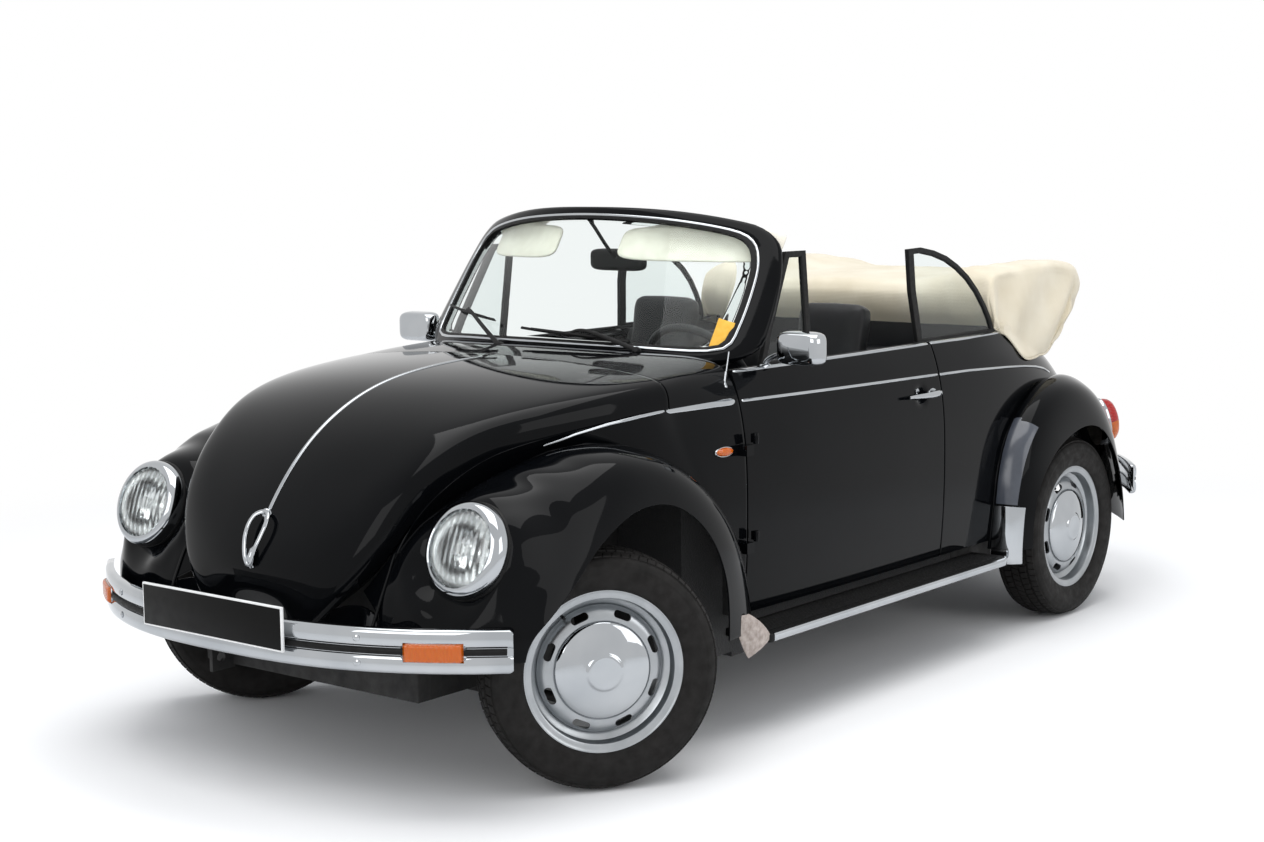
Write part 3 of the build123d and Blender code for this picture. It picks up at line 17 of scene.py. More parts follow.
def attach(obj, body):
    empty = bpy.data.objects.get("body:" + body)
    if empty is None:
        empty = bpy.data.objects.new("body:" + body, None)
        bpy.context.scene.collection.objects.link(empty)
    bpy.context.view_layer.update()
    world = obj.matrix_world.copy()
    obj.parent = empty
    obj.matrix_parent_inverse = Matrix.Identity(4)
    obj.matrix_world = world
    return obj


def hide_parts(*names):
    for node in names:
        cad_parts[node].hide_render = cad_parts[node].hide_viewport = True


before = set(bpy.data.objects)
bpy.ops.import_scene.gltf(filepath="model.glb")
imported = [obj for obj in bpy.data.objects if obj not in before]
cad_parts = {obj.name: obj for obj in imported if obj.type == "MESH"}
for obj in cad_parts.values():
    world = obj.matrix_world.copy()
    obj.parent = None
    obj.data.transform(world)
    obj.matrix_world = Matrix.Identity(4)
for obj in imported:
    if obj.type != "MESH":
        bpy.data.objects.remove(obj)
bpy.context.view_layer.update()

# %% [markdown]
# ## Camera
# A long lens from standing height shows a car without stretching its nose. The camera's turn is
# built from three angles, so each can be changed alone: yaw about the vertical, pitch, and roll.

# %% Camera
def camera_turn(yaw, pitch, roll):
    """Rotation of a camera that looks along +Y when all three angles are 0."""
    yaw, pitch, roll = (math.radians(angle) for angle in (yaw, pitch, roll))
    ahead = Vector((-math.sin(yaw) * math.cos(pitch), math.cos(yaw) * math.cos(pitch),
                    math.sin(pitch)))
    right = Vector((math.cos(yaw), math.sin(yaw), 0))
    up = right.cross(ahead)
    rolled_right = right * math.cos(roll) + up * math.sin(roll)
    rolled_up = up * math.cos(roll) - right * math.sin(roll)
    return Matrix((rolled_right, rolled_up, -ahead)).transposed().to_4x4()


camera = bpy.data.objects.new("camera", bpy.data.cameras.new("camera"))
bpy.context.scene.collection.objects.link(camera)
camera.matrix_world = Matrix.Translation((3.949, -5.303, 1.574)) @ camera_turn(38.746, -7.444,
                                                                              -0.647)
camera.data.sensor_width = 36
camera.data.lens = 59.24
camera.data.shift_x = -0.0018
camera.data.shift_y = 0.005
camera.data.clip_end = 200
bpy.context.scene.camera = camera
print("camera at", [round(value, 2) for value in camera.location])

# %% [markdown]
# ## Nodes and colours
# A material is a small graph. One helper adds a node, sets its values and links its inputs, so a
# graph reads from top to bottom. Colours are written as the hex values a painter would name, and
# turned to the linear numbers that the renderer adds up.

# %% Node and colour helpers
def linear(hex_colour):
    """Linear RGBA of an sRGB hex colour."""
    parts = [int(hex_colour[i:i + 2], 16) / 255 for i in (1, 3, 5)]
    return [c / 12.92 if c <= 0.04045 else ((c + 0.055) / 1.055) ** 2.4 for c in parts] + [1]


def add_node(tree, kind, settings=None, links=None):
    """Add a node; settings are its properties or input values, links are input: source socket."""
    node = tree.nodes.new(kind)
    for key, value in (settings or {}).items():
        if isinstance(key, int) or key in node.inputs:
            node.inputs[key].default_value = value
        else:
            setattr(node, key, value)
    for key, source in (links or {}).items():
        tree.links.new(source, node.inputs[key])
    return node


def new_material(name, **values):
    """A material with one Principled shader; values are its inputs, with _ for a space."""
    material = bpy.data.materials.new(name)
    material.use_nodes = True
    shader = material.node_tree.nodes["Principled BSDF"]
    for key, value in values.items():
        shader.inputs[key.replace("_", " ")].default_value = value
    return material, material.node_tree, shader


def noise_of(tree, scale, detail=3.0, stretch=(1, 1, 1)):
    """Noise on the object's own coordinates, in waves per metre."""
    place = add_node(tree, "ShaderNodeTexCoord").outputs["Object"]
    mapped = add_node(tree, "ShaderNodeMapping", {"Scale": stretch}, {"Vector": place})
    return add_node(tree, "ShaderNodeTexNoise", {"Scale": scale, "Detail": detail},
                    {"Vector": mapped.outputs[0]}).outputs[0]


def ramp_of(tree, source, low, high, first, last):
    """Turn a value between low and high into a colour between two colours."""
    ramp = add_node(tree, "ShaderNodeValToRGB", None, {0: source})
    ends = ramp.color_ramp.elements
    ends[0].position, ends[0].color = low, first
    ends[1].position, ends[1].color = high, last
    return ramp.outputs[0]


def spread(tree, source, low, high):
    """Stretch a 0 to 1 value to the range low to high."""
    return add_node(tree, "ShaderNodeMapRange", {"From Min": 0.3, "From Max": 0.7, "To Min": low,
                                                 "To Max": high}, {"Value": source}).outputs[0]


def bump_to(tree, shader, height, depth, strength=1.0):
    """Bump the shader's surface by a height value, depth metres deep."""
    bump = add_node(tree, "ShaderNodeBump", {"Strength": strength, "Distance": depth},
                    {"Height": height})
    tree.links.new(bump.outputs[0], shader.inputs["Normal"])
    return bump


materials = {}

# %% [markdown]
# ## Studio
# A glossy black car is drawn by what it reflects. A plain white room gives long soft reflections,
# and one large lamp overhead, with two weaker ones at the sides, keeps shadows soft. The floor
# shows its own pale colour, so the car's shadow stays on it.

# %% Studio
world = bpy.data.worlds.new("white_room")
bpy.context.scene.world = world
world.use_nodes = True
tree = world.node_tree
tree.nodes.clear()
rays = add_node(tree, "ShaderNodeLightPath")
seen = add_node(tree, "ShaderNodeMath", {"operation": "MAXIMUM"},
                {0: rays.outputs["Is Camera Ray"], 1: rays.outputs["Is Glossy Ray"]})
seen = add_node(tree, "ShaderNodeMath", {"operation": "MAXIMUM"},
                {0: seen.outputs[0], 1: rays.outputs["Is Transmission Ray"]})
lit = add_node(tree, "ShaderNodeBackground", {"Color": linear("#F2F5FA"), "Strength": 0.72})
shown = add_node(tree, "ShaderNodeBackground", {"Color": (1, 1, 1, 1), "Strength": 1.0})
both = add_node(tree, "ShaderNodeMixShader", None,
                {0: seen.outputs[0], 1: lit.outputs[0], 2: shown.outputs[0]})
add_node(tree, "ShaderNodeOutputWorld", None, {"Surface": both.outputs[0]})


def area_lamp(name, place, target, size, power):
    """A square soft lamp that faces a point."""
    lamp = bpy.data.objects.new(name, bpy.data.lights.new(name, "AREA"))
    bpy.context.scene.collection.objects.link(lamp)
    lamp.data.size = size
    lamp.data.energy = power
    lamp.location = place
    lamp.rotation_euler = (Vector(target) - Vector(place)).to_track_quat("-Z", "Y").to_euler()
    return lamp


for name, place, size, power in [("lamp_over", (0.5, -0.5, 6.5), 6.0, 330),
                                 ("lamp_front", (1.5, -7.5, 3.5), 4.0, 120),
                                 ("lamp_left", (7.5, 0.5, 3.0), 4.0, 90)]:
    area_lamp(name, place, (0, 0, 0.6), size, power)

bpy.ops.mesh.primitive_plane_add(size=120, location=(0, 0, -0.0005))
floor = bpy.context.object
floor.name = "studio_floor"
material, tree, shader = new_material("studio_paper", Roughness=0.9, Specular_IOR_Level=0.1)
paper = ramp_of(tree, noise_of(tree, 0.4), 0.3, 0.7, linear("#F4F4F4"), linear("#F8F8F8"))
tree.links.new(paper, shader.inputs["Base Color"])
place = add_node(tree, "ShaderNodeTexCoord").outputs["Object"]
away = add_node(tree, "ShaderNodeVectorMath", {"operation": "LENGTH"}, {0: place}).outputs["Value"]
far = add_node(tree, "ShaderNodeMapRange", {"interpolation_type": "SMOOTHSTEP", "From Min": 2.6,
                                            "From Max": 4.6}, {"Value": away}).outputs[0]
rays = add_node(tree, "ShaderNodeLightPath")
seen = add_node(tree, "ShaderNodeMath", {"operation": "MAXIMUM"},
                {0: rays.outputs["Is Camera Ray"], 1: rays.outputs["Is Glossy Ray"]})
seen = add_node(tree, "ShaderNodeMath", {"operation": "MAXIMUM"},
                {0: seen.outputs[0], 1: rays.outputs["Is Transmission Ray"]})
share = add_node(tree, "ShaderNodeMath", {"operation": "MULTIPLY"}, {0: seen.outputs[0], 1: far})
white = add_node(tree, "ShaderNodeEmission", {"Color": (1, 1, 1, 1), "Strength": 1.0})
mix = add_node(tree, "ShaderNodeMixShader", None,
               {0: share.outputs[0], 1: shader.outputs[0], 2: white.outputs[0]})
tree.links.new(mix.outputs[0], tree.nodes["Material Output"].inputs[0])
floor.data.materials.append(material)
bpy.context.scene.view_settings.view_transform = "Standard"

# %% [markdown]
# ## Paint, chrome and glass
# Black enamel is a deep colour layer under a clear polish. The eye gets a sharp mirror image that
# strengthens at the rim of a panel, plus a faint unevenness, called orange peel. Chrome plate is
# a metal that mirrors, with a few smears; its colour is set darker than polished chrome, as painted
# shade for the dark surroundings it would mirror. Glass is clear, and lets light reach
# the seats, so shadow rays pass straight through it.

# %% Paint and metals
def make_black_enamel():
    """Black alkyd enamel, sprayed and polished: mirror gloss with faint orange peel and dust."""
    material, tree, shader = new_material("black_enamel", IOR=1.5, Specular_IOR_Level=0.09)
    cloud = noise_of(tree, 5.0)
    tree.links.new(ramp_of(tree, cloud, 0.35, 0.65, linear("#050608"), linear("#08090B")),
                   shader.inputs["Base Color"])
    tree.links.new(spread(tree, noise_of(tree, 24.0), 0.025, 0.06), shader.inputs["Roughness"])
    bump_to(tree, shader, noise_of(tree, 320.0, 1.0), 0.00002, 0.4)
    return material


def make_metal(name, dark, light, rough, grain, bump=0.0, stretch=(1, 1, 1)):
    """Metal whose shade and polish vary in patches, with grain waves per metre."""
    material, tree, shader = new_material(name, Metallic=1.0)
    patch = noise_of(tree, grain, 3.0, stretch)
    tree.links.new(ramp_of(tree, patch, 0.3, 0.7, linear(dark), linear(light)),
                   shader.inputs["Base Color"])
    tree.links.new(spread(tree, noise_of(tree, grain * 2.3), *rough), shader.inputs["Roughness"])
    if bump:
        bump_to(tree, shader, patch, bump, 0.6)
    return material


def make_dull(name, dark, light, rough, grain, bump, depth=0.0004, **values):
    """A non-metal with a mottled colour, and grain waves per metre as bump."""
    material, tree, shader = new_material(name, **values)
    tree.links.new(ramp_of(tree, noise_of(tree, grain), 0.3, 0.7, linear(dark), linear(light)),
                   shader.inputs["Base Color"])
    tree.links.new(spread(tree, noise_of(tree, grain * 3), *rough), shader.inputs["Roughness"])
    bump_to(tree, shader, noise_of(tree, bump, 4.0), depth, 0.6)
    return material


def make_glass(name, colour, rough=0.0, ior=1.5):
    """Clear glass that lets shadow rays pass, tinted by its colour."""
    material, tree, shader = new_material(name, Transmission_Weight=1.0, IOR=ior,
                                          Base_Color=linear(colour), Roughness=rough)
    rays = add_node(tree, "ShaderNodeLightPath")
    clear = add_node(tree, "ShaderNodeBsdfTransparent", {"Color": linear(colour)})
    mix = add_node(tree, "ShaderNodeMixShader", None,
                   {0: rays.outputs["Is Shadow Ray"], 1: shader.outputs[0], 2: clear.outputs[0]})
    tree.links.new(mix.outputs[0], tree.nodes["Material Output"].inputs[0])
    return material


materials["enamel"] = make_black_enamel()
# Chrome's colour is darker than polished chrome: painted shade for the dark surroundings it
# mirrors.
materials["chrome"] = make_metal("chrome_plate", "#A6AAAE", "#B5B8BB", (0.03, 0.06), 6.0)
materials["wheel_silver"] = make_metal("silver_wheel_lacquer", "#999DA0", "#A4A7AA",
                                       (0.30, 0.36), 22.0, 0.00002)
materials["cast_iron"] = make_metal("greasy_cast_iron", "#2A2724", "#4A4540", (0.5, 0.75), 30.0,
                                    0.0006)
materials["galvanised"] = make_metal("sooty_steel_sheet", "#3B3C3D", "#5C5B59", (0.4, 0.6), 22.0,
                                     0.0003)
materials["mirror"] = make_metal("silvered_mirror_glass", "#D8DCDE", "#DEE1E3", (0.0, 0.02), 4.0)
materials["glass"] = make_glass("clear_laminated_glass", "#F1F6F5", ior=1.2)
print("metals and glass:", len(materials))

# %% [markdown]
# Rubber, vinyl, carpet and canvas differ in grain more than in colour. Each pattern is worked out
# from a real size: tyre rubber is pitted at about 1 mm, seat vinyl has a leather grain of 2 mm,
# and carpet loops are 3 mm across.

# %% Rubber, vinyl, carpet
materials["tyre"] = make_dull("tyre_rubber", "#0E0D0C", "#161413", (0.6, 0.85), 14.0, 700.0,
                              Specular_IOR_Level=0.25)
materials["rubber"] = make_dull("moulded_rubber", "#070707", "#0D0D0E", (0.45, 0.65), 30.0, 500.0,
                                Specular_IOR_Level=0.2)
materials["wax"] = make_dull("black_underbody_wax", "#0E0E0F", "#1A1918", (0.6, 0.85), 9.0, 160.0,
                             0.001)
materials["carpet"] = make_dull("loop_carpet", "#141415", "#232324", (0.85, 1.0), 320.0, 330.0,
                                0.003, Sheen_Weight=0.3)
materials["plate"] = make_dull("stove_enamelled_plate", "#030303", "#060606", (0.3, 0.45), 12.0,
                               200.0, 0.0001, Specular_IOR_Level=0.12)
materials["white_rim"] = make_dull("white_stove_enamel", "#D9DADA", "#E6E6E5", (0.3, 0.4), 20.0,
                                   200.0, 0.0001)
materials["card"] = make_dull("yellow_card", "#E8AE35", "#F0BE4E", (0.6, 0.8), 60.0, 900.0, 0.0001)
materials["stone_guard"] = make_dull("chipped_rubber_guard", "#8E827B", "#B9AEA7", (0.55, 0.8),
                                     70.0, 300.0)
# A bluish grey sheet laid over the black paint ahead of the rear wheels: a painted reflection.
materials["painted_reflection"] = make_dull("clear_stone_film", "#3A3E46", "#4A4E56", (0.12, 0.2), 10.0, 150.0,
                              0.00005)
materials["visor_vinyl"] = make_dull("ivory_foam_vinyl", "#D8D2C4", "#E6E1D4", (0.5, 0.65), 20.0,
                                     600.0)


def make_vinyl(name, dark, light, grain_mm, rough):
    """Vinyl with an embossed leather grain: cells of a few millimetres with soft valleys."""
    material, tree, shader = new_material(name, Coat_Weight=0.04, Coat_Roughness=0.4,
                                          Specular_IOR_Level=0.25)
    place = add_node(tree, "ShaderNodeTexCoord").outputs["Object"]
    cells = add_node(tree, "ShaderNodeTexVoronoi", {"feature": "DISTANCE_TO_EDGE",
                                                    "Scale": 1000 / grain_mm}, {"Vector": place})
    tree.links.new(ramp_of(tree, noise_of(tree, 12.0), 0.3, 0.7, linear(dark), linear(light)),
                   shader.inputs["Base Color"])
    tree.links.new(spread(tree, noise_of(tree, 30.0), *rough), shader.inputs["Roughness"])
    bump_to(tree, shader, cells.outputs[0], 0.0006, 0.5)
    return material


materials["vinyl"] = make_vinyl("black_seat_vinyl", "#090A0C", "#101114", 2.2, (0.38, 0.5))
materials["dash_vinyl"] = make_vinyl("black_dashboard_vinyl", "#131416", "#1B1C1F", 1.6,
                                     (0.5, 0.65))
print("finishes so far:", len(materials))

# %% [markdown]
# Tail lamps and indicators are acrylic, moulded in colour with fine optics on the inside: ribs
# every 4 mm that catch the light. The headlamp glass has vertical flutes that spread the beam.

# %% Lamp materials
def make_ribbed(name, colour, rib_mm, axis, values):
    """A clear or coloured moulding with parallel ribs across an axis."""
    material, tree, shader = new_material(name, Base_Color=linear(colour), **values)
    place = add_node(tree, "ShaderNodeTexCoord").outputs["Object"]
    ribs = add_node(tree, "ShaderNodeTexWave", {"wave_type": "BANDS", "bands_direction": axis,
                                                "Scale": 1000 / rib_mm / 20 * math.pi},
                    {"Vector": place})
    bump_to(tree, shader, ribs.outputs["Fac"], 0.0012, 0.8)
    return material


materials["amber"] = make_ribbed("amber_acrylic", "#D06410", 5, "X", {
    "Roughness": 0.12, "Transmission_Weight": 0.25, "IOR": 1.49, "Subsurface_Weight": 0.2,
    "Subsurface_Scale": 0.01})
materials["red"] = make_ribbed("red_acrylic", "#B3120E", 5, "Z", {
    "Roughness": 0.12, "Transmission_Weight": 0.25, "IOR": 1.49})
materials["lamp_glass"] = make_ribbed("fluted_lamp_glass", "#F4F7F7", 9, "X", {
    "Roughness": 0.02, "Transmission_Weight": 1.0, "IOR": 1.45})
materials["reflector"] = make_metal("lamp_reflector", "#D9DBDC", "#F0F0F0", (0.12, 0.2), 40.0)
print("lamp finishes added:", len(materials))

# %% [markdown]
# ## Surfaces from a few numbers
# A car body is drawn with nets: a coarse grid of control points that pulls a smooth B-spline
# surface. The frame's solids were made from the same nets, so a surface built here lands exactly
# on them. All tables below are millimetres, as on a body draughtsman's sheet.

# %% B-spline helpers
MM = 0.001
FRONT_AXLE, REAR_AXLE = -1345.0, 1075.0
DOOR_FRONT, DOOR_REAR = -715.0, 317.0


def spline_basis(count, t, degree=3):
    """Weights of a clamped uniform B-spline with count control points at t in 0..1."""
    inner = np.linspace(0, 1, count - degree + 1)
    knots = [0.0] * degree + list(inner) + [1.0] * degree
    t = min(max(t, 0.0), 1.0 - 1e-12)
    weights = [1.0 if knots[i] <= t < knots[i + 1] else 0.0 for i in range(len(knots) - 1)]
    for d in range(1, degree + 1):
        raised = []
        for i in range(len(weights) - 1):
            left, right = knots[i + d] - knots[i], knots[i + d + 1] - knots[i + 1]
            value = (t - knots[i]) / left * weights[i] if left > 0 else 0.0
            if right > 0:
                value += (knots[i + d + 1] - t) / right * weights[i + 1]
            raised.append(value)
        weights = raised
    return weights


def net_grid(net, us, vs):
    """Points of the surface of a net at two lists of parameters in 0..1."""
    net = np.array(net, float)
    across = np.array([spline_basis(net.shape[0], u) for u in us])
    along = np.array([spline_basis(net.shape[1], v) for v in vs])
    return np.einsum("ui,vj,ijk->uvk", across, along, net)


def fitted_net(grid, rows, columns):
    """The net of the smooth surface closest to a grid of points."""
    across = np.array([spline_basis(rows, u) for u in np.linspace(0, 1, grid.shape[0])])
    along = np.array([spline_basis(columns, v) for v in np.linspace(0, 1, grid.shape[1])])
    return np.einsum("ai,ijk,bj->abk", np.linalg.pinv(across), grid, np.linalg.pinv(along))


def net_curve(points, count):
    """Points along the B-spline of a list of control points."""
    weights = np.array([spline_basis(len(points), t) for t in np.linspace(0, 1, count)])
    return weights @ np.array(points, float)


def steps(count, low=0.0, high=1.0):
    """Even steps with one more close to each end, which keeps a bevelled edge's shading crisp."""
    even = np.linspace(low, high, count)
    close = (high - low) * 0.0025
    return np.concatenate([[low, low + close], even[1:-1], [high - close, high]])


def grid_normals(grid):
    """Unit normals of a grid of points."""
    normal = np.cross(np.gradient(grid, axis=0), np.gradient(grid, axis=1))
    return normal / np.maximum(np.linalg.norm(normal, axis=2, keepdims=True), 1e-12)


def facing(grid, direction):
    """The grid with its columns ordered so that its normals point along a direction."""
    toward = grid_normals(grid).mean(axis=(0, 1)) @ np.array(direction, float)
    return grid if toward > 0 else grid[:, ::-1]


def flipped(grid):
    """The same grid on the other side of the car, still facing out."""
    return (grid * np.array([-1, 1, 1]))[:, ::-1]


print("basis sums to", round(sum(spline_basis(7, 0.37)), 6))

# %% [markdown]
# ## Making pieces
# Every piece is a mesh with its place in its vertices. A grid becomes a sheet of metal with
# Solidify, which gives it a thickness inward, and Bevel, which rounds the cut edge so that it
# catches a thin line of light. A tube follows a path; a turned part is a profile spun about X.

# %% Mesh helpers
def moved(point):
    """A shift to a point given in millimetres."""
    return Matrix.Translation(Vector(point) * MM)


def rotated(degrees, axis):
    """A turn about an axis."""
    return Matrix.Rotation(math.radians(degrees), 4, axis)


def new_piece(name, points, faces, material, smooth=True):
    """A mesh object from points in millimetres."""
    mesh = bpy.data.meshes.new(name)
    mesh.from_pydata((np.array(points, float) * MM).tolist(), [], faces)
    mesh.polygons.foreach_set("use_smooth", [smooth] * len(mesh.polygons))
    mesh.materials.append(materials[material])
    mesh.update()
    piece = bpy.data.objects.new(name, mesh)
    bpy.context.scene.collection.objects.link(piece)
    return piece


def settle(piece, body, slot=None, *nodes):
    """The piece rides on a body and stands for CAD nodes, which are hidden; the slot is not used.
    """
    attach(piece, body)
    if nodes:
        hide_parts(*nodes)
    return piece


def grid_faces(rows, columns, loop_rows=False, loop_columns=False):
    """Quads of a grid, turned so that rows x columns points outward."""
    faces = []
    for i in range(rows if loop_rows else rows - 1):
        for j in range(columns if loop_columns else columns - 1):
            k, m = (i + 1) % rows, (j + 1) % columns
            faces.append((i * columns + j, k * columns + j, k * columns + m, i * columns + m))
    return faces


def add_modifier(piece, kind, **settings):
    """Add a modifier with its settings."""
    modifier = piece.modifiers.new(kind.lower(), kind)
    for key, value in settings.items():
        setattr(modifier, key, value)
    return modifier


def sheet_metal(name, grid, thickness, material="enamel", keep=None, edge=1.2):
    """A pressed panel: the grid is its outer face, and keep picks the faces that stay."""
    rows, columns = grid.shape[:2]
    points, faces = grid.reshape(-1, 3), grid_faces(rows, columns)
    if keep is not None:
        faces = [face for face in faces if keep(points[list(face)].mean(axis=0))]
    piece = new_piece(name, points, faces, material)
    add_modifier(piece, "SOLIDIFY", thickness=thickness * MM, offset=-1, use_even_offset=True)
    add_modifier(piece, "BEVEL", width=edge * MM, segments=2, limit_method="ANGLE",
                 angle_limit=math.radians(50))
    return piece


def frames_along(path, up, closed=False):
    """Side and up directions at each point of a path."""
    path = np.array(path, float)
    if closed:
        tangent = np.roll(path, -1, axis=0) - np.roll(path, 1, axis=0)
    else:
        tangent = np.gradient(path, axis=0)
    tangent /= np.linalg.norm(tangent, axis=1, keepdims=True)
    up = np.broadcast_to(np.array(up, float), path.shape)
    side = np.cross(tangent, up)
    side /= np.linalg.norm(side, axis=1, keepdims=True)
    return side, np.cross(side, tangent)


def swept(name, path, section, material, up=(0, 0, 1), closed=False, scale=None):
    """A bar along a path: section is a loop of (side, up) points, counterclockwise from behind."""
    path, section = np.array(path, float), np.array(section, float)
    side, top = frames_along(path, up, closed)
    size = np.ones(len(path)) if scale is None else np.array(scale, float)
    rings = [p + (section[:, :1] * s + section[:, 1:] * t) * k
             for p, s, t, k in zip(path, side, top, size)]
    count = len(section)
    faces = [face[::-1] for face in grid_faces(len(path), count, closed, True)]
    if not closed:
        faces += [tuple(range(count)), tuple(range(len(path) * count - 1,
                                                   (len(path) - 1) * count - 1, -1))]
    piece = recalculate(new_piece(name, np.concatenate(rings), faces, material))
    piece.data.set_sharp_from_angle(angle=math.radians(48))
    return piece


def recalculate(piece):
    """Merge doubles, and turn every face outward."""
    work = bmesh.new()
    work.from_mesh(piece.data)
    bmesh.ops.remove_doubles(work, verts=work.verts, dist=1e-6)
    bmesh.ops.recalc_face_normals(work, faces=work.faces)
    work.to_mesh(piece.data)
    work.free()
    return piece


def circle_section(radius, count=10, flat=1.0):
    """A round or oval section."""
    return [(radius * math.cos(a), radius * flat * math.sin(a))
            for a in np.linspace(0, 2 * math.pi, count, endpoint=False)]


def turned(name, profile, material, place=None, segments=72, scale=(1, 1)):
    """A profile of (x, radius) points spun about X, then moved by a matrix."""
    points = []
    for x, radius in profile:
        angles = np.linspace(0, 2 * math.pi, segments, endpoint=False)
        points += [(x, radius * scale[0] * math.cos(a), radius * scale[1] * math.sin(a))
                   for a in angles]
    piece = new_piece(name, points, grid_faces(len(profile), segments, False, True), material)
    if place is not None:
        piece.data.transform(place)
    recalculate(piece)
    piece.data.set_sharp_from_angle(angle=math.radians(38))
    return piece


def block_piece(name, low, high, material, bevel=2.0, segments=3, place=None):
    """A rounded block between two corners, or about the origin moved by a matrix."""
    (x0, y0, z0), (x1, y1, z1) = low, high
    points = [(x, y, z) for x in (x0, x1) for y in (y0, y1) for z in (z0, z1)]
    faces = [(0, 1, 3, 2), (4, 6, 7, 5), (0, 4, 5, 1), (2, 3, 7, 6), (0, 2, 6, 4), (1, 5, 7, 3)]
    piece = new_piece(name, points, faces, material)
    if place is not None:
        piece.data.transform(place)
    add_modifier(piece, "BEVEL", width=bevel * MM, segments=segments)
    return piece


def joined(name, parts):
    """One piece from several, with their modifiers applied."""
    depsgraph = bpy.context.evaluated_depsgraph_get()
    work = bmesh.new()
    slots = []
    for part in parts:
        mesh = bpy.data.meshes.new_from_object(part.evaluated_get(depsgraph))
        here = {}
        for i, material in enumerate(mesh.materials):
            if material not in slots:
                slots.append(material)
            here[i] = slots.index(material)
        for polygon in mesh.polygons:
            polygon.material_index = here.get(polygon.material_index, 0)
        work.from_mesh(mesh)
        bpy.data.meshes.remove(mesh)
        bpy.data.objects.remove(part)
    mesh = bpy.data.meshes.new(name)
    work.to_mesh(mesh)
    work.free()
    for material in slots:
        mesh.materials.append(material)
    piece = bpy.data.objects.new(name, mesh)
    bpy.context.scene.collection.objects.link(piece)
    return piece


def mirrored(piece, name):
    """A copy on the other side of the car, with its faces turned out again."""
    depsgraph = bpy.context.evaluated_depsgraph_get()
    mesh = bpy.data.meshes.new_from_object(piece.evaluated_get(depsgraph))
    mesh.transform(Matrix.Diagonal((-1, 1, 1, 1)))
    mesh.flip_normals()
    twin = bpy.data.objects.new(name, mesh)
    bpy.context.scene.collection.objects.link(twin)
    return twin


def both_sides(piece, body="body", slot=None):
    """Settle a left piece and its mirror twin; the names end in _left and _right."""
    stem = piece.name.removesuffix("_left")
    twin = mirrored(piece, stem + "_right")
    bodies = (body, body) if body == "body" else (body + "_left", body + "_right")
    settle(piece, bodies[0], slot)
    settle(twin, bodies[1], slot)
    return piece, twin


print("helpers ready")

# %% [markdown]
# ## Body lines
# The body side swells to a waist and narrows towards the belt. Behind the doors it curls round
# to the tail like a rounded square. Two functions give its half width and its tail at a height.

# %% Side and tail
def tail_y(z):
    """How far back the tail reaches on the centre line at a height."""
    share = min(max((z - 330) / 600, 0.0), 1.0)
    return REAR_AXLE + 225 + 550 * (1 - share ** 1.6) ** (1 / 1.3)


def waist(z):
    """Widest half width of the body at a height."""
    rise = z - 600
    return 682 - (9.7e-7 * rise ** 3 if rise > 0 else 1.8e-4 * rise ** 2)


def side_x(y, z):
    """Half width of the body at a place along it."""
    if y <= DOOR_REAR:
        return waist(z) - 17 * ((DOOR_REAR - y) / (DOOR_REAR - DOOR_FRONT)) ** 3
    share = min((y - DOOR_REAR) / (tail_y(z) - DOOR_REAR), 1.0)
    return waist(z) * (1 - share ** 3.4) ** (1 / 3.4)


def tail_point(x, z):
    """A point on the tail at a distance from the centre line and a height."""
    reach = (1 - min(abs(x) / waist(z), 1.0) ** 3.4) ** (1 / 3.4)
    return (x, DOOR_REAR + (tail_y(z) - DOOR_REAR) * reach, z)


def side_point(y, z, out=0.0):
    """A point on the left body side, moved out by a distance."""
    return (side_x(y, z) + out, y, z)


print("body is", round(2 * waist(600)), "mm wide at the waist")

# %% [markdown]
# ## Hood and front quarters
# The hood is a long dome whose edges roll down to a shut line. Its net has a row for each station
# from the lip to the cowl: a centre point, two that hold the dome, and a ridge and shoulder that
# roll the edge. The quarters fill the space between the hood, the fenders and the doors.

# %% Hood net
HOOD_CENTRE = [(-548, 458), (-577, 512), (-583, 582), (-540, 660), (-488, 742), (-403, 838),
               (-303, 912), (-175, 972), (-25, 1008), (155, 1023), (329, 1027)]
HOOD_EDGE = [(215, -505, 470), (300, -477, 524), (364, -446, 604), (398, -407, 686),
             (426, -350, 752), (456, -276, 806), (489, -196, 846), (536, -96, 870),
             (581, 34, 890), (612, 184, 903), (631, 327, 911)]
HOOD_SHOULDER = [(-0.8, -0.6), (-1, -0.2), (-1, 0.1), (-0.85, 0.5), (-0.7, 0.7), (-0.5, 0.86),
                 (-0.35, 0.94), (-0.2, 0.98), (-0.1, 0.99), (0, 1), (0, 1)]
BEAD = [(380, -517, 395), (378, -509, 483), (377, -477, 550), (373, -441, 614), (395, -370, 684),
        (432, -265, 744), (476, -158, 792), (530, -50, 838), (575, 50, 848), (610, 166, 832),
        (637, 284, 776), (651, 414, 680), (656, 510, 560), (657, 556, 430), (657, 577, 297)]
GAP = 5.5


def ahead(x, behind_axle, z):
    """A point given by its distance behind the front axle."""
    return (x, FRONT_AXLE + behind_axle, z)


def hood_net():
    """Control net of the hood, from its lip to the cowl and from right edge to left."""
    net = []
    for (yc, zc), (xe, ye, ze), (ny, nz) in zip(HOOD_CENTRE, HOOD_EDGE, HOOD_SHOULDER):
        edge, centre = np.array([xe - GAP, ye, ze], float), np.array([0, yc, zc], float)
        lift = np.array([0, ny, nz]) * 62
        shoulder = edge + lift + np.array([2, 0, 0])
        ridge = edge + lift * 1.35 - np.array([49.6, 0, 0])
        half = [centre + (ridge - centre) * np.array([0.32, 0.08, 0.08]),
                centre + (ridge - centre) * np.array([0.68, 0.42, 0.42]), ridge, shoulder, edge]
        row = [point * np.array([-1, 1, 1]) for point in reversed(half)] + [centre] + half
        net.append([ahead(*point) for point in row])
    return np.array(net)


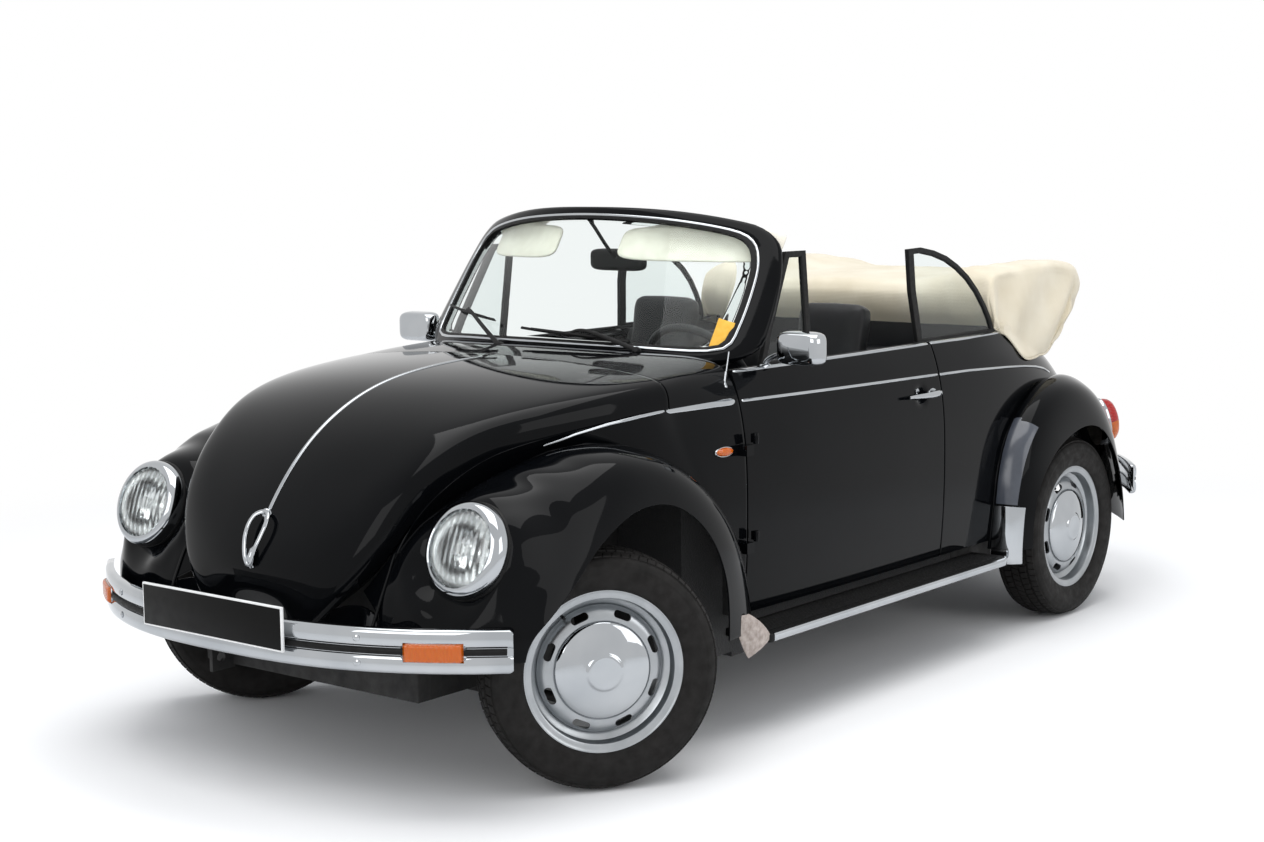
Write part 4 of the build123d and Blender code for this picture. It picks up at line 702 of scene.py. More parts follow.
hood = sheet_metal("hood_panel", facing(net_grid(hood_net(), steps(96), steps(90)), (0, -0.5, 1)),
                   11, edge=1.6)
settle(hood, "hood", "body_paint", "hood")
print("hood faces:", len(hood.data.polygons))

# %% Front quarters
def quarter_front_net():
    """Net of the body side from the nose to the door, below the hood's edge."""
    door_y = DOOR_FRONT - GAP
    top = [ahead(*point) for point in HOOD_EDGE[1:]]
    corner_y = top[-2][1]
    for share in (0.35, 0.7, 1.0):
        y = corner_y + (door_y - corner_y) * share
        top.append((side_x(y, 911), y, 911))
    bead = [ahead(*point) for point in BEAD[1:]]
    bead[-1] = (side_x(door_y, 315), door_y, 315)
    bead[-2] = (bead[-2][0], (bead[-2][1] + door_y) / 2, 380)
    rows = []
    for low, high in zip(net_curve(bead, 40), net_curve(top, 40)):
        row = []
        for v in np.linspace(0, 1, 14):
            point = low + (high - low) * v
            share = min(max(point[1] - FRONT_AXLE - 250, 0) / 200, 1.0)
            point[0] += (side_x(point[1], point[2]) - point[0]) * share
            row.append(point)
        rows.append(row)
    return fitted_net(np.array(rows), 16, 7)


QUARTER_FRONT = quarter_front_net()
grid = facing(net_grid(QUARTER_FRONT, steps(80), steps(30)), (1, 0, 0.5))
settle(sheet_metal("quarter_front_panel_left", grid, 5), "body", "body_paint",
       "quarter_front_left")
settle(sheet_metal("quarter_front_panel_right", flipped(grid), 5), "body", "body_paint",
       "quarter_front_right")
print("front quarter from y", round(grid[..., 1].min()), "to", round(grid[..., 1].max()))

# %% [markdown]
# ## Fenders
# All four fenders are bolted on, and swell past the body. Each one starts at a seam against the
# body and rolls over to its wheel opening. The front ones also carry the headlamps: the surface
# is pulled forward to a round collar, and the faces behind the lamp are left out.

# %% Front fenders
FENDER_FRONT = [
    [(450, -517, 394), (590, -500, 392), (690, -465, 390), (748, -388, 392)],
    [(440, -515, 482), (590, -491, 480), (705, -455, 474), (764, -394, 440)],
    [(440, -480, 556), (590, -458, 565), (740, -415, 545), (784, -365, 475)],
    [(440, -435, 635), (590, -410, 655), (750, -360, 620), (786, -295, 520)],
    [(450, -367, 725), (595, -345, 752), (757, -300, 705), (787, -228, 575)],
    [(480, -267, 785), (610, -255, 812), (766, -225, 762), (788, -165, 635)],
    [(520, -155, 826), (635, -145, 842), (772, -130, 795), (789, -98, 674)],
    [(565, -40, 856), (662, -35, 856), (778, -25, 812), (790, -25, 706)],
    [(610, 55, 860), (688, 60, 852), (781, 68, 806), (790, 55, 714)],
    [(642, 172, 838), (706, 183, 824), (783, 180, 780), (790, 140, 702)],
    [(665, 295, 776), (716, 310, 758), (782, 305, 715), (790, 230, 656)],
    [(674, 424, 672), (716, 434, 650), (775, 420, 615), (789, 308, 585)],
    [(678, 520, 550), (713, 522, 530), (768, 490, 500), (787, 362, 490)],
    [(679, 565, 420), (710, 562, 405), (757, 530, 390), (780, 388, 400)],
    [(679, 580, 296), (708, 578, 295), (750, 545, 294), (768, 400, 296)],
]
LAMP_RADIUS = 119
LAMP_CENTRE = np.array(ahead(590, -411, 646), float)
LAMP_AHEAD = np.array([0, -math.cos(math.radians(20)), math.sin(math.radians(20))])


def lamp_depth_and_radius(points):
    """Distance in front of the lamp's centre, and from its axis."""
    offset = points - LAMP_CENTRE
    depth = offset @ LAMP_AHEAD
    return depth, np.linalg.norm(offset - depth[..., None] * LAMP_AHEAD, axis=-1)


def fender_front_net():
    """Net of the left front fender with its lamp collar."""
    net = [[ahead(*point) for point in [(b[0] + 0.3, b[1], b[2])] + row]
           for b, row in zip(BEAD, FENDER_FRONT)]
    grid = net_grid(net, np.linspace(0, 1, 44), np.linspace(0, 1, 20))
    depth, radial = lamp_depth_and_radius(grid)
    share = np.clip((LAMP_RADIUS * 1.5 - radial) / (LAMP_RADIUS * 0.5), 0, 1)
    share = share * share * (3 - 2 * share) * (depth > -LAMP_RADIUS * 1.6)
    return fitted_net(grid + ((-14 - depth) * share)[..., None] * LAMP_AHEAD, 24, 13)


def outside_lamp(point):
    """True where the fender is metal and not the hole for the lamp."""
    depth, radial = lamp_depth_and_radius(np.abs(point) * np.array([1, -1, 1]))
    return radial > 110 or depth < -70


FENDER_FRONT_NET = fender_front_net()
grid = facing(net_grid(FENDER_FRONT_NET, steps(130), steps(60)), (1, 0, 0.5))
settle(sheet_metal("fender_front_panel_left", grid, 4, keep=outside_lamp), "body", "body_paint",
       "fender_front_left")
settle(sheet_metal("fender_front_panel_right", flipped(grid), 4, keep=outside_lamp), "body",
       "body_paint", "fender_front_right")
print("front fender is", round(grid[..., 0].max()), "mm out from the centre line")

# %% Rear fenders
FENDER_REAR_SEAM = [(-444, 288), (-441, 400), (-436, 520), (-392, 625), (-318, 700), (-200, 762),
                    (-60, 799), (80, 805), (210, 777), (320, 717), (400, 630), (448, 530),
                    (478, 420), (492, 300)]
FENDER_REAR = [
    [(688, -446, 288), (722, -446, 288), (762, -425, 288), (784, -365, 288)],
    [(690, -444, 400), (724, -442, 400), (765, -420, 400), (786, -364, 400)],
    [(692, -440, 520), (730, -434, 520), (772, -404, 512), (789, -335, 490)],
    [(692, -402, 632), (735, -394, 634), (778, -362, 612), (791, -275, 556)],
    [(686, -330, 716), (736, -322, 720), (783, -290, 690), (792, -210, 604)],
    [(676, -207, 785), (732, -200, 790), (786, -180, 745), (792, -130, 634)],
    [(662, -62, 826), (724, -60, 826), (786, -55, 770), (792, -45, 655)],
    [(646, 82, 830), (714, 82, 806), (785, 62, 755), (792, 35, 655)],
    [(628, 213, 796), (700, 205, 762), (780, 165, 705), (791, 112, 634)],
    [(606, 325, 733), (684, 300, 703), (775, 238, 632), (790, 172, 592)],
    [(588, 405, 643), (664, 380, 628), (768, 288, 548), (789, 230, 522)],
    [(575, 452, 540), (648, 430, 530), (760, 322, 465), (787, 274, 438)],
    [(566, 484, 425), (634, 464, 420), (754, 345, 385), (784, 303, 352)],
    [(560, 498, 300), (626, 478, 296), (750, 352, 286), (782, 312, 285)],
]


def fender_rear_net():
    """Net of the left rear fender."""
    net = []
    for (behind, z), row in zip(FENDER_REAR_SEAM, FENDER_REAR):
        y = REAR_AXLE + behind
        net.append([(side_x(y, z) + 0.3, y, z)] + [(x, REAR_AXLE + dy, zz) for x, dy, zz in row])
    return np.array(net)


grid = facing(net_grid(fender_rear_net(), steps(110), steps(44)), (1, 0, 0.5))
settle(sheet_metal("fender_rear_panel_left", grid, 4), "body", "body_paint", "fender_rear_left")
settle(sheet_metal("fender_rear_panel_right", flipped(grid), 4), "body", "body_paint",
       "fender_rear_right")
print("rear fender faces:", (grid.shape[0] - 1) * (grid.shape[1] - 1))

# %% [markdown]
# ## Rear quarters, tail and doors
# The rear quarter runs from the door round to the engine lid in one sheet, and has a hole for the
# wheel inside the fender's seam. The belt falls behind the doors, where the cloth top is stowed.

# %% Rear quarters
def belt_top(y):
    """Height of the body's top edge beside and behind the doors."""
    behind = min(max(y - REAR_AXLE + 260, 0.0) / 330, 1.0)
    return 982 - 86 * behind * behind * (3 - 2 * behind)


def tail_section(z, x_end, count):
    """Evenly spaced points round the body at one height, from the door to the engine lid."""
    power, w = 2 / 3.4, waist(z)
    angle = np.linspace(0, math.acos((x_end / w) ** (1 / power)), 400)
    x = w * np.cos(angle) ** power
    y = DOOR_REAR + (tail_y(z) - DOOR_REAR) * np.sin(angle) ** power
    length = np.concatenate([[0], np.cumsum(np.hypot(np.diff(x), np.diff(y)))])
    even = np.linspace(0, length[-1], count)
    return np.column_stack([np.interp(even, length, x), np.interp(even, length, y)])


def quarter_rear_net(rows=46, x_end=335.5):
    """Net of the left rear quarter."""
    tops = [belt_top(y) if y < REAR_AXLE else 893 for x, y in tail_section(893, x_end, rows)]
    grid = []
    for v in np.linspace(0, 1, 16):
        heights = [315 + (top - 315) * v for top in tops]
        grid.append([(*tail_section(z, x_end, rows)[i], z) for i, z in enumerate(heights)])
    return fitted_net(facing(np.array(grid), (1, 0.3, 0)), 10, 8)


seam = net_curve(FENDER_REAR_SEAM, 60)


def outside_arch(point):
    """True where the quarter is metal and not the wheel's opening."""
    behind = point[1] - REAR_AXLE
    if not seam[0][0] + 22 < behind < seam[-1][0] - 22:
        return True
    return point[2] > np.interp(behind, seam[:, 0], seam[:, 1]) - 22


grid = facing(net_grid(quarter_rear_net(), steps(60), steps(110)), (1, 0.3, 0))
settle(sheet_metal("quarter_rear_panel_left", grid, 5, keep=outside_arch), "body", "body_paint",
       "quarter_rear_left")
settle(sheet_metal("quarter_rear_panel_right", flipped(grid), 5, keep=outside_arch), "body",
       "body_paint", "quarter_rear_right")
print("rear quarter reaches y", round(grid[..., 1].max()))

# %% Tail panels
def tail_patch(x_half, z_low, z_high, rows, columns):
    """A patch of the tail across the centre line."""
    return facing(np.array([[tail_point(x, z) for x in steps(columns, -x_half, x_half)]
                            for z in steps(rows, z_low, z_high)]), (0, 1, 0.5))


settle(sheet_metal("engine_lid_panel", tail_patch(330, 425, 893, 44, 56), 11, edge=1.6),
       "engine_lid", "body_paint", "engine_lid")
settle(sheet_metal("rear_apron_panel", tail_patch(333, 330, 419.5, 12, 50), 5), "body",
       "body_paint", "rear_apron")
rows = []
for u in steps(14):
    row = []
    for x in steps(50, -560, 560):
        back = tail_point(x, 893)[1] - GAP
        row.append((x, 1150 + (back - 1150) * u, 895 + 10 * (1 - u * u)))
    rows.append(row)
settle(sheet_metal("rear_deck_panel", facing(np.array(rows), (0, 0, 1)), 5), "body",
       "body_paint", "rear_deck")
rows = []
for half in ([(0, -520, 330), (110, -518, 330), (205, -510, 330), (290, -500, 330),
              (376, -495, 340)],
             [(0, -548, 452), (110, -541, 452), (205, -512, 462), (290, -480, 508),
              (374, -509, 477)]):
    left = [np.array(ahead(*point), float) for point in half]
    rows.append(net_curve([p * np.array([-1, 1, 1]) for p in reversed(left[1:])] + left, 60))
grid = np.array([rows[0] + (rows[1] - rows[0]) * v for v in steps(14, 0, 0.985)])
settle(sheet_metal("front_apron_panel", facing(grid, (0, -1, 0)), 5), "body", "body_paint",
       "front_apron")
print("tail and nose panels done")

# %% [markdown]
# ## Doors
# A door is a box as thick as its skin, its frame and its inner trim. The skin has a shallow
# dish behind the handle, so that fingers can reach round it. Solidify makes the box from the
# skin, and the inner face gets its own vinyl card later.

# %% Doors
HANDLE_Y, HANDLE_Z = 190.0, 836.0


def door_grid():
    """Outer skin of the left door."""
    grid = np.array([[side_point(y, z) for z in steps(64, 315, 982)]
                     for y in steps(96, DOOR_FRONT, DOOR_REAR - GAP)])
    away = np.hypot(grid[..., 1] - HANDLE_Y - 5, (grid[..., 2] - HANDLE_Z + 2) * 1.1) / 36
    grid[..., 0] -= 11 * np.clip(1 - away ** 2, 0, 1) ** 1.5
    return facing(grid, (1, 0, 0))


door_skin = sheet_metal("door_panel_left", door_grid(), 52, edge=2.0)
door_twin = sheet_metal("door_panel_right", flipped(door_grid()), 52, edge=2.0)
settle(door_skin, "door_left", "body_paint", "door_left")
settle(door_twin, "door_right", "body_paint", "door_right")
print("door is", round(DOOR_REAR - GAP - DOOR_FRONT), "mm long")

# %% [markdown]
# ## Windscreen
# The windscreen is curved glass in a stout painted frame, with a rubber gasket and a bright
# moulding between them. All three follow one outline, so it is drawn once. The frame is a ring:
# each of its sections runs from the glass opening out to the frame's rim and back inside.

# %% Outlines of the glass and the frame
GLASS_HALF = [(0, 1046), (300, 1041), (480, 1033), (545, 1044), (556, 1095), (553, 1190),
              (540, 1270), (505, 1330), (430, 1362), (250, 1390), (0, 1402)]
FRAME_SIDE = [(634, 1003), (632, 1095), (620, 1190), (600, 1285), (560, 1362)]


def screen_y(x, z):
    """Where the windscreen's outer surface lies along the car."""
    wrap = (x / 550) ** 2
    return FRONT_AXLE + 530 + (0.63 + 0.10 * wrap) * (z - 1046) + 165 * wrap


def screen_normal(x, z):
    """Outward direction of the windscreen at a place."""
    along = np.array([1, (screen_y(x + 1, z) - screen_y(x - 1, z)) / 2, 0])
    rise = np.array([0, (screen_y(x, z + 1) - screen_y(x, z - 1)) / 2, 1])
    normal = np.cross(along, rise)
    return normal / np.linalg.norm(normal)


def polar(outline, angles, centre=(0, 1215)):
    """The point of a closed outline in each direction from a centre."""
    outline = np.array(outline) - centre
    order = np.arctan2(outline[:, 1], outline[:, 0])
    sort = np.argsort(order)
    wrapped = np.concatenate([order[sort] - 2 * math.pi, order[sort], order[sort] + 2 * math.pi])
    reach = np.tile(np.linalg.norm(outline[sort], axis=1), 3)
    radius = np.interp(angles, wrapped, reach)
    return np.column_stack([np.cos(angles) * radius, np.sin(angles) * radius]) + centre


def periodic(points, count):
    """A closed smooth curve through points."""
    points = np.array(points, float)
    t = np.arange(len(points) + 1)
    loop = np.concatenate([points, points[:1]])
    slope = (np.roll(points, -1, axis=0) - np.roll(points, 1, axis=0)) / 2
    slope = np.concatenate([slope, slope[:1]])
    out = []
    for s in np.linspace(0, len(points), count, endpoint=False):
        i = int(s)
        f = s - i
        out.append(loop[i] * (2 * f ** 3 - 3 * f ** 2 + 1) + slope[i] * (f ** 3 - 2 * f ** 2 + f)
                   + loop[i + 1] * (-2 * f ** 3 + 3 * f ** 2) + slope[i + 1] * (f ** 3 - f ** 2))
    return np.array(out)


ANGLES = np.linspace(-math.pi, math.pi, 200, endpoint=False)
glass_loop = GLASS_HALF + [(-x, z) for x, z in reversed(GLASS_HALF[1:-1])]
GLASS_EDGE = polar(periodic(glass_loop, 600), ANGLES)
side = net_curve(FRAME_SIDE, 40)
header = [(x, 1430 - 68 * (x / 560) ** 2.6) for x in np.linspace(560, 0, 40)]
half = [(0, 1003), (300, 1003), (500, 1003)] + [tuple(p) for p in side] + header[1:]
dense = periodic(half + [(-x, z) for x, z in reversed(half[1:-1])], 1200)
rim = polar(dense, ANGLES)
reach = np.linalg.norm(rim - (0, 1215), axis=1)
reach = sum(np.roll(reach, k) for k in range(-3, 4)) / 7
FRAME_EDGE = (rim - (0, 1215)) / np.linalg.norm(rim - (0, 1215), axis=1)[:, None] * np.minimum(
    reach, np.linalg.norm(rim - (0, 1215), axis=1))[:, None] + (0, 1215)
print("windscreen is", round(GLASS_EDGE[:, 0].max() * 2), "mm wide")

# %% Frame, gasket, moulding and glass
def on_screen(point, out=0.0):
    """A point (x, z) on the windscreen's surface, moved out along its normal."""
    x, z = point
    return np.array([x, screen_y(x, z), z]) + screen_normal(x, z) * out


def ring_piece(name, section, material):
    """A ring round the glass: section is (share from glass edge to frame edge, height) points."""
    rings = []
    for inner, outer in zip(GLASS_EDGE, FRAME_EDGE):
        rings.append([on_screen(inner + (outer - inner) * share, out) for share, out in section])
    points = np.array(rings).reshape(-1, 3)
    return recalculate(new_piece(name, points, grid_faces(len(rings), len(section), True, True),
                                 material))


section = [(0.0, -26), (0.0, -6), (0.02, -2), (0.08, 0), (0.3, 1), (0.62, 1), (0.84, -1),
           (0.95, -5), (1.0, -11), (1.0, -22), (0.93, -28), (0.5, -31), (0.1, -30)]
settle(ring_piece("windscreen_frame_ring", section, "enamel"), "body", "frame_paint",
       "windscreen_frame")
toward = [(0, 1215)] * len(ANGLES)
path = [on_screen(p + (np.array(c) - p) * 0.012, 0.5) for p, c in zip(GLASS_EDGE, toward)]
ups = [screen_normal(*p) for p in GLASS_EDGE]
gasket = swept("windscreen_gasket", path, [(-9, -9), (7, -9), (7, 1), (0, 3), (-9, 1)], "rubber",
               ups, True)
settle(gasket, "body", "rubber")
path = [on_screen(p + (p - np.array(c)) * 0.006, 1.5) for p, c in zip(GLASS_EDGE, toward)]
section = [(-4.5, -2), (4.5, -2), (4.5, 1), (2.2, 3.4), (-2.2, 3.4), (-4.5, 1)]
settle(swept("windscreen_moulding", path, section, "chrome", ups, True), "body", "chrome")
rings = [[on_screen(np.array((0, 1215)) + (p - np.array((0, 1215))) * r, -8) for p in GLASS_EDGE]
         for r in (1.0, 0.9, 0.75, 0.55, 0.35, 0.15)]
points = np.concatenate(rings + [[on_screen((0, 1215), -8)]])
faces = grid_faces(6, 200, False, True)
faces += [(1000 + (i + 1) % 200, 1000 + i, 1200) for i in range(200)]
pane = recalculate(new_piece("windscreen_pane", points, faces, "glass"))
if sum(polygon.normal.y for polygon in pane.data.polygons) > 0:
    pane.data.flip_normals()
add_modifier(pane, "SOLIDIFY", thickness=5 * MM, offset=-1)
settle(pane, "body", "window_glass", "windscreen_glass")
print("windscreen pieces done")

# %% Cowl
COWL_BACK = [(0, -826, 1040), (200, -803, 1037), (400, -745, 1030), (560, -722, 1016),
             (610, -721, 985)]


def cowl_net():
    """Net of the panel between the hood and the windscreen."""
    front = hood_net()[-1] + np.array([0, GAP, 0])
    corner = (side_x(DOOR_FRONT - GAP, 911), DOOR_FRONT - GAP, 911.3)
    half = [np.array(point, float) for point in COWL_BACK + [corner]]
    back = [point * np.array([-1, 1, 1]) for point in reversed(half[1:])] + half
    front[0][2] = front[-1][2] = 911.3
    middle = (front + np.array(back)) / 2
    middle[:, 2] += 3
    return np.array([front, middle, middle, back])


COWL = cowl_net()
settle(sheet_metal("cowl_panel", facing(net_grid(COWL, steps(24), steps(90)), (0, -0.5, 1)), 5),
       "body", "body_paint", "cowl")
print("cowl done")

# %% [markdown]
# ## Headlamps
# A headlamp is a stack of turned parts on one leaning axis: a broad chrome bezel, a domed lens
# with vertical flutes, and a bowl of bright metal behind it with a shielded bulb.

# %% Headlamps
def lamp_matrix():
    """Place of the left headlamp: its X axis looks ahead along the lamp."""
    ahead_axis = Vector(LAMP_AHEAD)
    across = Vector((1, 0, 0))
    return moved(LAMP_CENTRE) @ Matrix(
        (ahead_axis, across, ahead_axis.cross(across))).transposed().to_4x4()


bezel = turned("headlamp_bezel_left", [(-30, 112), (-16, 118.4), (0, 119), (14, 118), (24, 113.5),
                                       (31, 106), (33, 100), (31.5, 96.5), (26, 95.5), (12, 96),
                                       (10, 108), (-28, 108)], "chrome", lamp_matrix(), 96)
both_sides(bezel, "body", "chrome")
ring = turned("headlamp_seal_left", [(-24, 112), (-24, 121.5), (-12, 122.5), (-8, 120), (-8, 112)],
              "rubber", lamp_matrix(), 96)
both_sides(ring, "body", "rubber")
bowl = turned("headlamp_bowl_left", [(22, 96), (5, 92), (-20, 80), (-45, 58), (-62, 30), (-66, 10),
                                     (-30, 9), (-26, 14), (-10, 14), (-8, 0), (-12, 0), (-14, 10),
                                     (-30, 5), (-70, 5), (-70, 34), (-50, 63), (-24, 86),
                                     (4, 98), (22, 100)], "reflector", lamp_matrix(), 72)
left, right = both_sides(bowl, "body", "lamp_glass")
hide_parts("headlamps")
lens = turned("headlamp_lens_left", [(24, 96), (30, 92), (37, 76), (42, 52), (44.5, 26), (45, 0),
                                     (41, 0), (40.5, 26), (38, 50), (33, 74), (26, 90), (21, 95)],
              "lamp_glass", lamp_matrix(), 96)
both_sides(lens, "body", "lamp_glass")
print("headlamp axis leans back 20 degrees")

# %% [markdown]
# ## Bumpers
# A bumper of this time is one chromed pressing with two rounded bars and a black rubber strip
# let into the groove between them. It is a section swept along the bumper's bow. The section is
# open behind, as a pressing is, and the strip and the lamps follow the same bow.

# %% Bumper blades
BLADE = [(-22, 1), (-13, 1), (-6, 0.985), (-2, 0.955), (0, 0.90), (0.6, 0.78), (-0.4, 0.67),
         (-2.6, 0.61), (-6, 0.59), (-6, 0.41), (-2.6, 0.39), (-0.4, 0.33), (0.6, 0.22), (0, 0.10),
         (-2, 0.045), (-6, 0.015), (-13, 0), (-22, 0), (-22, 0.03), (-13, 0.035), (-9, 0.07),
         (-9, 0.93), (-13, 0.965), (-22, 0.97)]
BLADE_HEIGHT = 108.0


def bow(half_width, centre_y, reach, z, out=0.0, count=90, low=-1.0, high=1.0):
    """Path along a bumper's face at one height, moved out from it."""
    path = []
    for share in np.linspace(low, high, count):
        x = half_width * share
        y = centre_y + reach * abs(share) ** 2.6
        slope = reach * 2.6 * abs(share) ** 1.6 * math.copysign(1, share) / half_width
        turn = np.array([slope, -1.0]) / math.hypot(slope, 1.0) * math.copysign(1, reach)
        path.append((x + turn[0] * out, y + turn[1] * out, z))
    return path


def end_taper(count, last=0.86, points=4):
    """Size along a bar that is a little smaller at both ends, so they look rolled in."""
    size = np.ones(count)
    for i in range(points):
        size[i] = size[-1 - i] = 1 - (1 - last) * (1 - i / points) ** 2
    return size


def end_points(path, reach_in=9.0, points=4):
    """Close up the last points of a path, so that its taper is short."""
    path = np.array(path, float)
    for end in (0, -1):
        step = 1 if end == 0 else -1
        first, inner = path[end].copy(), path[points * step + end]
        way = (inner - first) / np.linalg.norm(inner - first)
        for i in range(1, points):
            path[end + i * step] = first + way * reach_in * i / (points - 1)
    return path


def blade_piece(name, half_width, centre_y, reach, z_low):
    """A bumper blade."""
    z = z_low + BLADE_HEIGHT / 2
    section = [(out, (share - 0.5) * BLADE_HEIGHT) for out, share in BLADE]
    path = end_points(bow(half_width, centre_y, reach, z))
    if reach < 0:
        path = path[::-1]
    return swept(name, path, section, "chrome", scale=end_taper(len(path)))


def bumper_iron(name, x, y_from, y_to, z_low, z_high):
    """A bent steel bar that carries a bumper."""
    low, high = sorted((y_from, y_to))
    return block_piece(name, (min(x), low, z_low), (max(x), high, z_high), "cast_iron", 2)


FRONT_BOW = (758, -2047, 261)
REAR_BOW = (718, 2053.6, -440)
front_blade = blade_piece("bumper_front_blade", *FRONT_BOW, 374)
settle(front_blade, "body", "chrome", "bumper_front")
rear_blade = blade_piece("bumper_rear_blade", *REAR_BOW, 342)
settle(rear_blade, "body", "chrome", "bumper_rear")
strip = [(-5.5, -7.6), (-1.5, -7.2), (0.8, -4.5), (1.2, 0), (0.8, 4.5), (-1.5, 7.2), (-5.5, 7.6)]
for name, bar, z, high in (("bumper_strip_front", FRONT_BOW, 428, 0.985),
                           ("bumper_strip_rear", REAR_BOW, 396, 0.985)):
    path = bow(*bar, z, low=-high, high=high)
    path = path[::-1] if bar[2] < 0 else path
    settle(swept(name, path, strip, "rubber"), "body", "rubber")
for side in (-1, 1):
    label = "left" if side > 0 else "right"
    settle(bumper_iron("bumper_iron_front_" + label, (side * 330, side * 350), -1995, -1848, 372,
                       404), "body", "underbody")
    settle(bumper_iron("bumper_iron_rear_" + label, (side * 250, side * 270),
                       tail_point(250, 385)[1] + 1, 2012, 385, 415), "body", "underbody")
print("front blade faces:", len(front_blade.data.polygons))

# %% Bumper indicators and bolts
def bow_patch(bar, x_low, x_high, z_low, z_high, depth, out, crown=0.0, columns=12, rows=6):
    """The outer grid of a rounded pad that follows a bumper's face."""
    half, centre_y, reach = bar
    corners = []
    for j in np.linspace(-1, 1, rows):
        z = (z_low + z_high) / 2 + j * (z_high - z_low) / 2
        line = bow(half, centre_y, reach, z, 0.0, columns, x_low / half, x_high / half)
        lift = bow(half, centre_y, reach, z, 1.0, columns, x_low / half, x_high / half)
        row = []
        for i, (a, b) in enumerate(zip(line, lift)):
            across = 2 * i / (columns - 1) - 1
            share = (1 - abs(across) ** 6) * (1 - abs(j) ** 6)
            row.append(np.array(a) + (np.array(b) - np.array(a)) * (out - depth + (depth + crown)
                                                                     * share ** 0.5))
        corners.append(row)
    return np.array(corners)


def bow_pad(name, material, *shape, **more):
    """A lens or housing on a bumper, closed behind."""
    grid = bow_patch(*shape, **more)
    rows, columns = grid.shape[:2]
    border = [i for i in range(columns)] + [r * columns + columns - 1 for r in range(1, rows)]
    border += [rows * columns - 2 - i for i in range(columns - 1)]
    border += [r * columns for r in range(rows - 2, 0, -1)]
    faces = grid_faces(rows, columns) + [tuple(border)]
    return recalculate(new_piece(name, grid.reshape(-1, 3), faces, material))


for label, x_low, x_high in (("right", -668, -545), ("left", 545, 668)):
    bezel = bow_pad("indicator_bezel_" + label, "chrome", FRONT_BOW, x_low - 5, x_high + 5, 400,
                    454, 6, 4)
    settle(bezel, "body", "chrome")
    lens = bow_pad("indicator_lens_" + label, "amber", FRONT_BOW, x_low, x_high, 404, 450, 8, 9,
                   crown=2.0, columns=20, rows=12)
    settle(lens, "body", "lamp_glass")


def repeat_tree(name, material):
    """Geometry Nodes that put copies of a shape on the points of a mesh, turned by each point's
    stored turn.
    """
    tree = bpy.data.node_groups.new(name, "GeometryNodeTree")
    tree.interface.new_socket("Points", in_out="INPUT", socket_type="NodeSocketGeometry")
    tree.interface.new_socket("Shape", in_out="INPUT", socket_type="NodeSocketObject")
    tree.interface.new_socket("Size", in_out="INPUT", socket_type="NodeSocketFloat")
    tree.interface.new_socket("Result", in_out="OUTPUT", socket_type="NodeSocketGeometry")
    given = add_node(tree, "NodeGroupInput").outputs
    turn = add_node(tree, "GeometryNodeInputNamedAttribute", {"data_type": "FLOAT_VECTOR",
                                                              "Name": "turn"})
    euler = add_node(tree, "FunctionNodeEulerToRotation", None, {0: turn.outputs[0]})
    shape = add_node(tree, "GeometryNodeObjectInfo", None, {"Object": given["Shape"]})
    copies = add_node(tree, "GeometryNodeInstanceOnPoints", None,
                      {"Points": given["Points"], "Instance": shape.outputs["Geometry"],
                       "Rotation": euler.outputs[0], "Scale": given["Size"]})
    real = add_node(tree, "GeometryNodeRealizeInstances", None, {0: copies.outputs[0]})
    dressed = add_node(tree, "GeometryNodeSetMaterial", {"Material": materials[material]},
                       {0: real.outputs[0]})
    tree.links.new(dressed.outputs[0], add_node(tree, "NodeGroupOutput").inputs[0])
    return tree


def repeated(name, shape, places, material, size=1.0):
    """Copies of a shape at (point, x axis, z axis) places, as one plain mesh."""
    points, turns = [], []
    for point, x_axis, z_axis in places:
        x_axis, z_axis = Vector(x_axis).normalized(), Vector(z_axis).normalized()
        y_axis = z_axis.cross(x_axis).normalized()
        x_axis = y_axis.cross(z_axis)
        turns.append(Matrix((x_axis, y_axis, z_axis)).transposed().to_euler())
        points.append(Vector(point) * MM)
    mesh = bpy.data.meshes.new(name)
    mesh.from_pydata(points, [], [])
    mesh.attributes.new("turn", "FLOAT_VECTOR", "POINT").data.foreach_set(
        "vector", [angle for turn in turns for angle in turn])
    holder = bpy.data.objects.new(name, mesh)
    bpy.context.scene.collection.objects.link(holder)
    modifier = holder.modifiers.new("repeat", "NODES")
    tree = repeat_tree(name, material)
    modifier.node_group = tree
    sockets = {item.name: item.identifier for item in tree.interface.items_tree
               if item.in_out == "INPUT"}
    modifier[sockets["Shape"]] = shape
    modifier[sockets["Size"]] = size
    depsgraph = bpy.context.evaluated_depsgraph_get()
    result = bpy.data.meshes.new_from_object(holder.evaluated_get(depsgraph))
    holder.modifiers.remove(modifier)
    holder.data = result
    result.polygons.foreach_set("use_smooth", [True] * len(result.polygons))
    result.set_sharp_from_angle(angle=math.radians(40))
    bpy.data.objects.remove(shape)
    return holder


def bolt_shape(radius, height):
    """A domed bolt head about Z."""
    profile = [(-2, radius), (height * 0.35, radius), (height * 0.8, radius * 0.72),
               (height, 0), (-2, 0)]
    turn = rotated(-90, "Y")
    return turned("bolt", profile, "chrome", turn, 12)


places = []
for bar, x, z in ((FRONT_BOW, 440, 398), (FRONT_BOW, 440, 458), (REAR_BOW, 300, 366),
                  (REAR_BOW, 300, 426)):
    for side in (-1, 1):
        share = side * x / bar[0]
        at = bow(*bar, z, 0.0, 1, share, share)[0]
        off = bow(*bar, z, 1.0, 1, share, share)[0]
        places.append((at, (1, 0, 0), np.array(off) - at))
settle(repeated("bumper_bolts", bolt_shape(9, 5), places, "chrome"), "body", "chrome")
print("bumper bolts:", len(places))

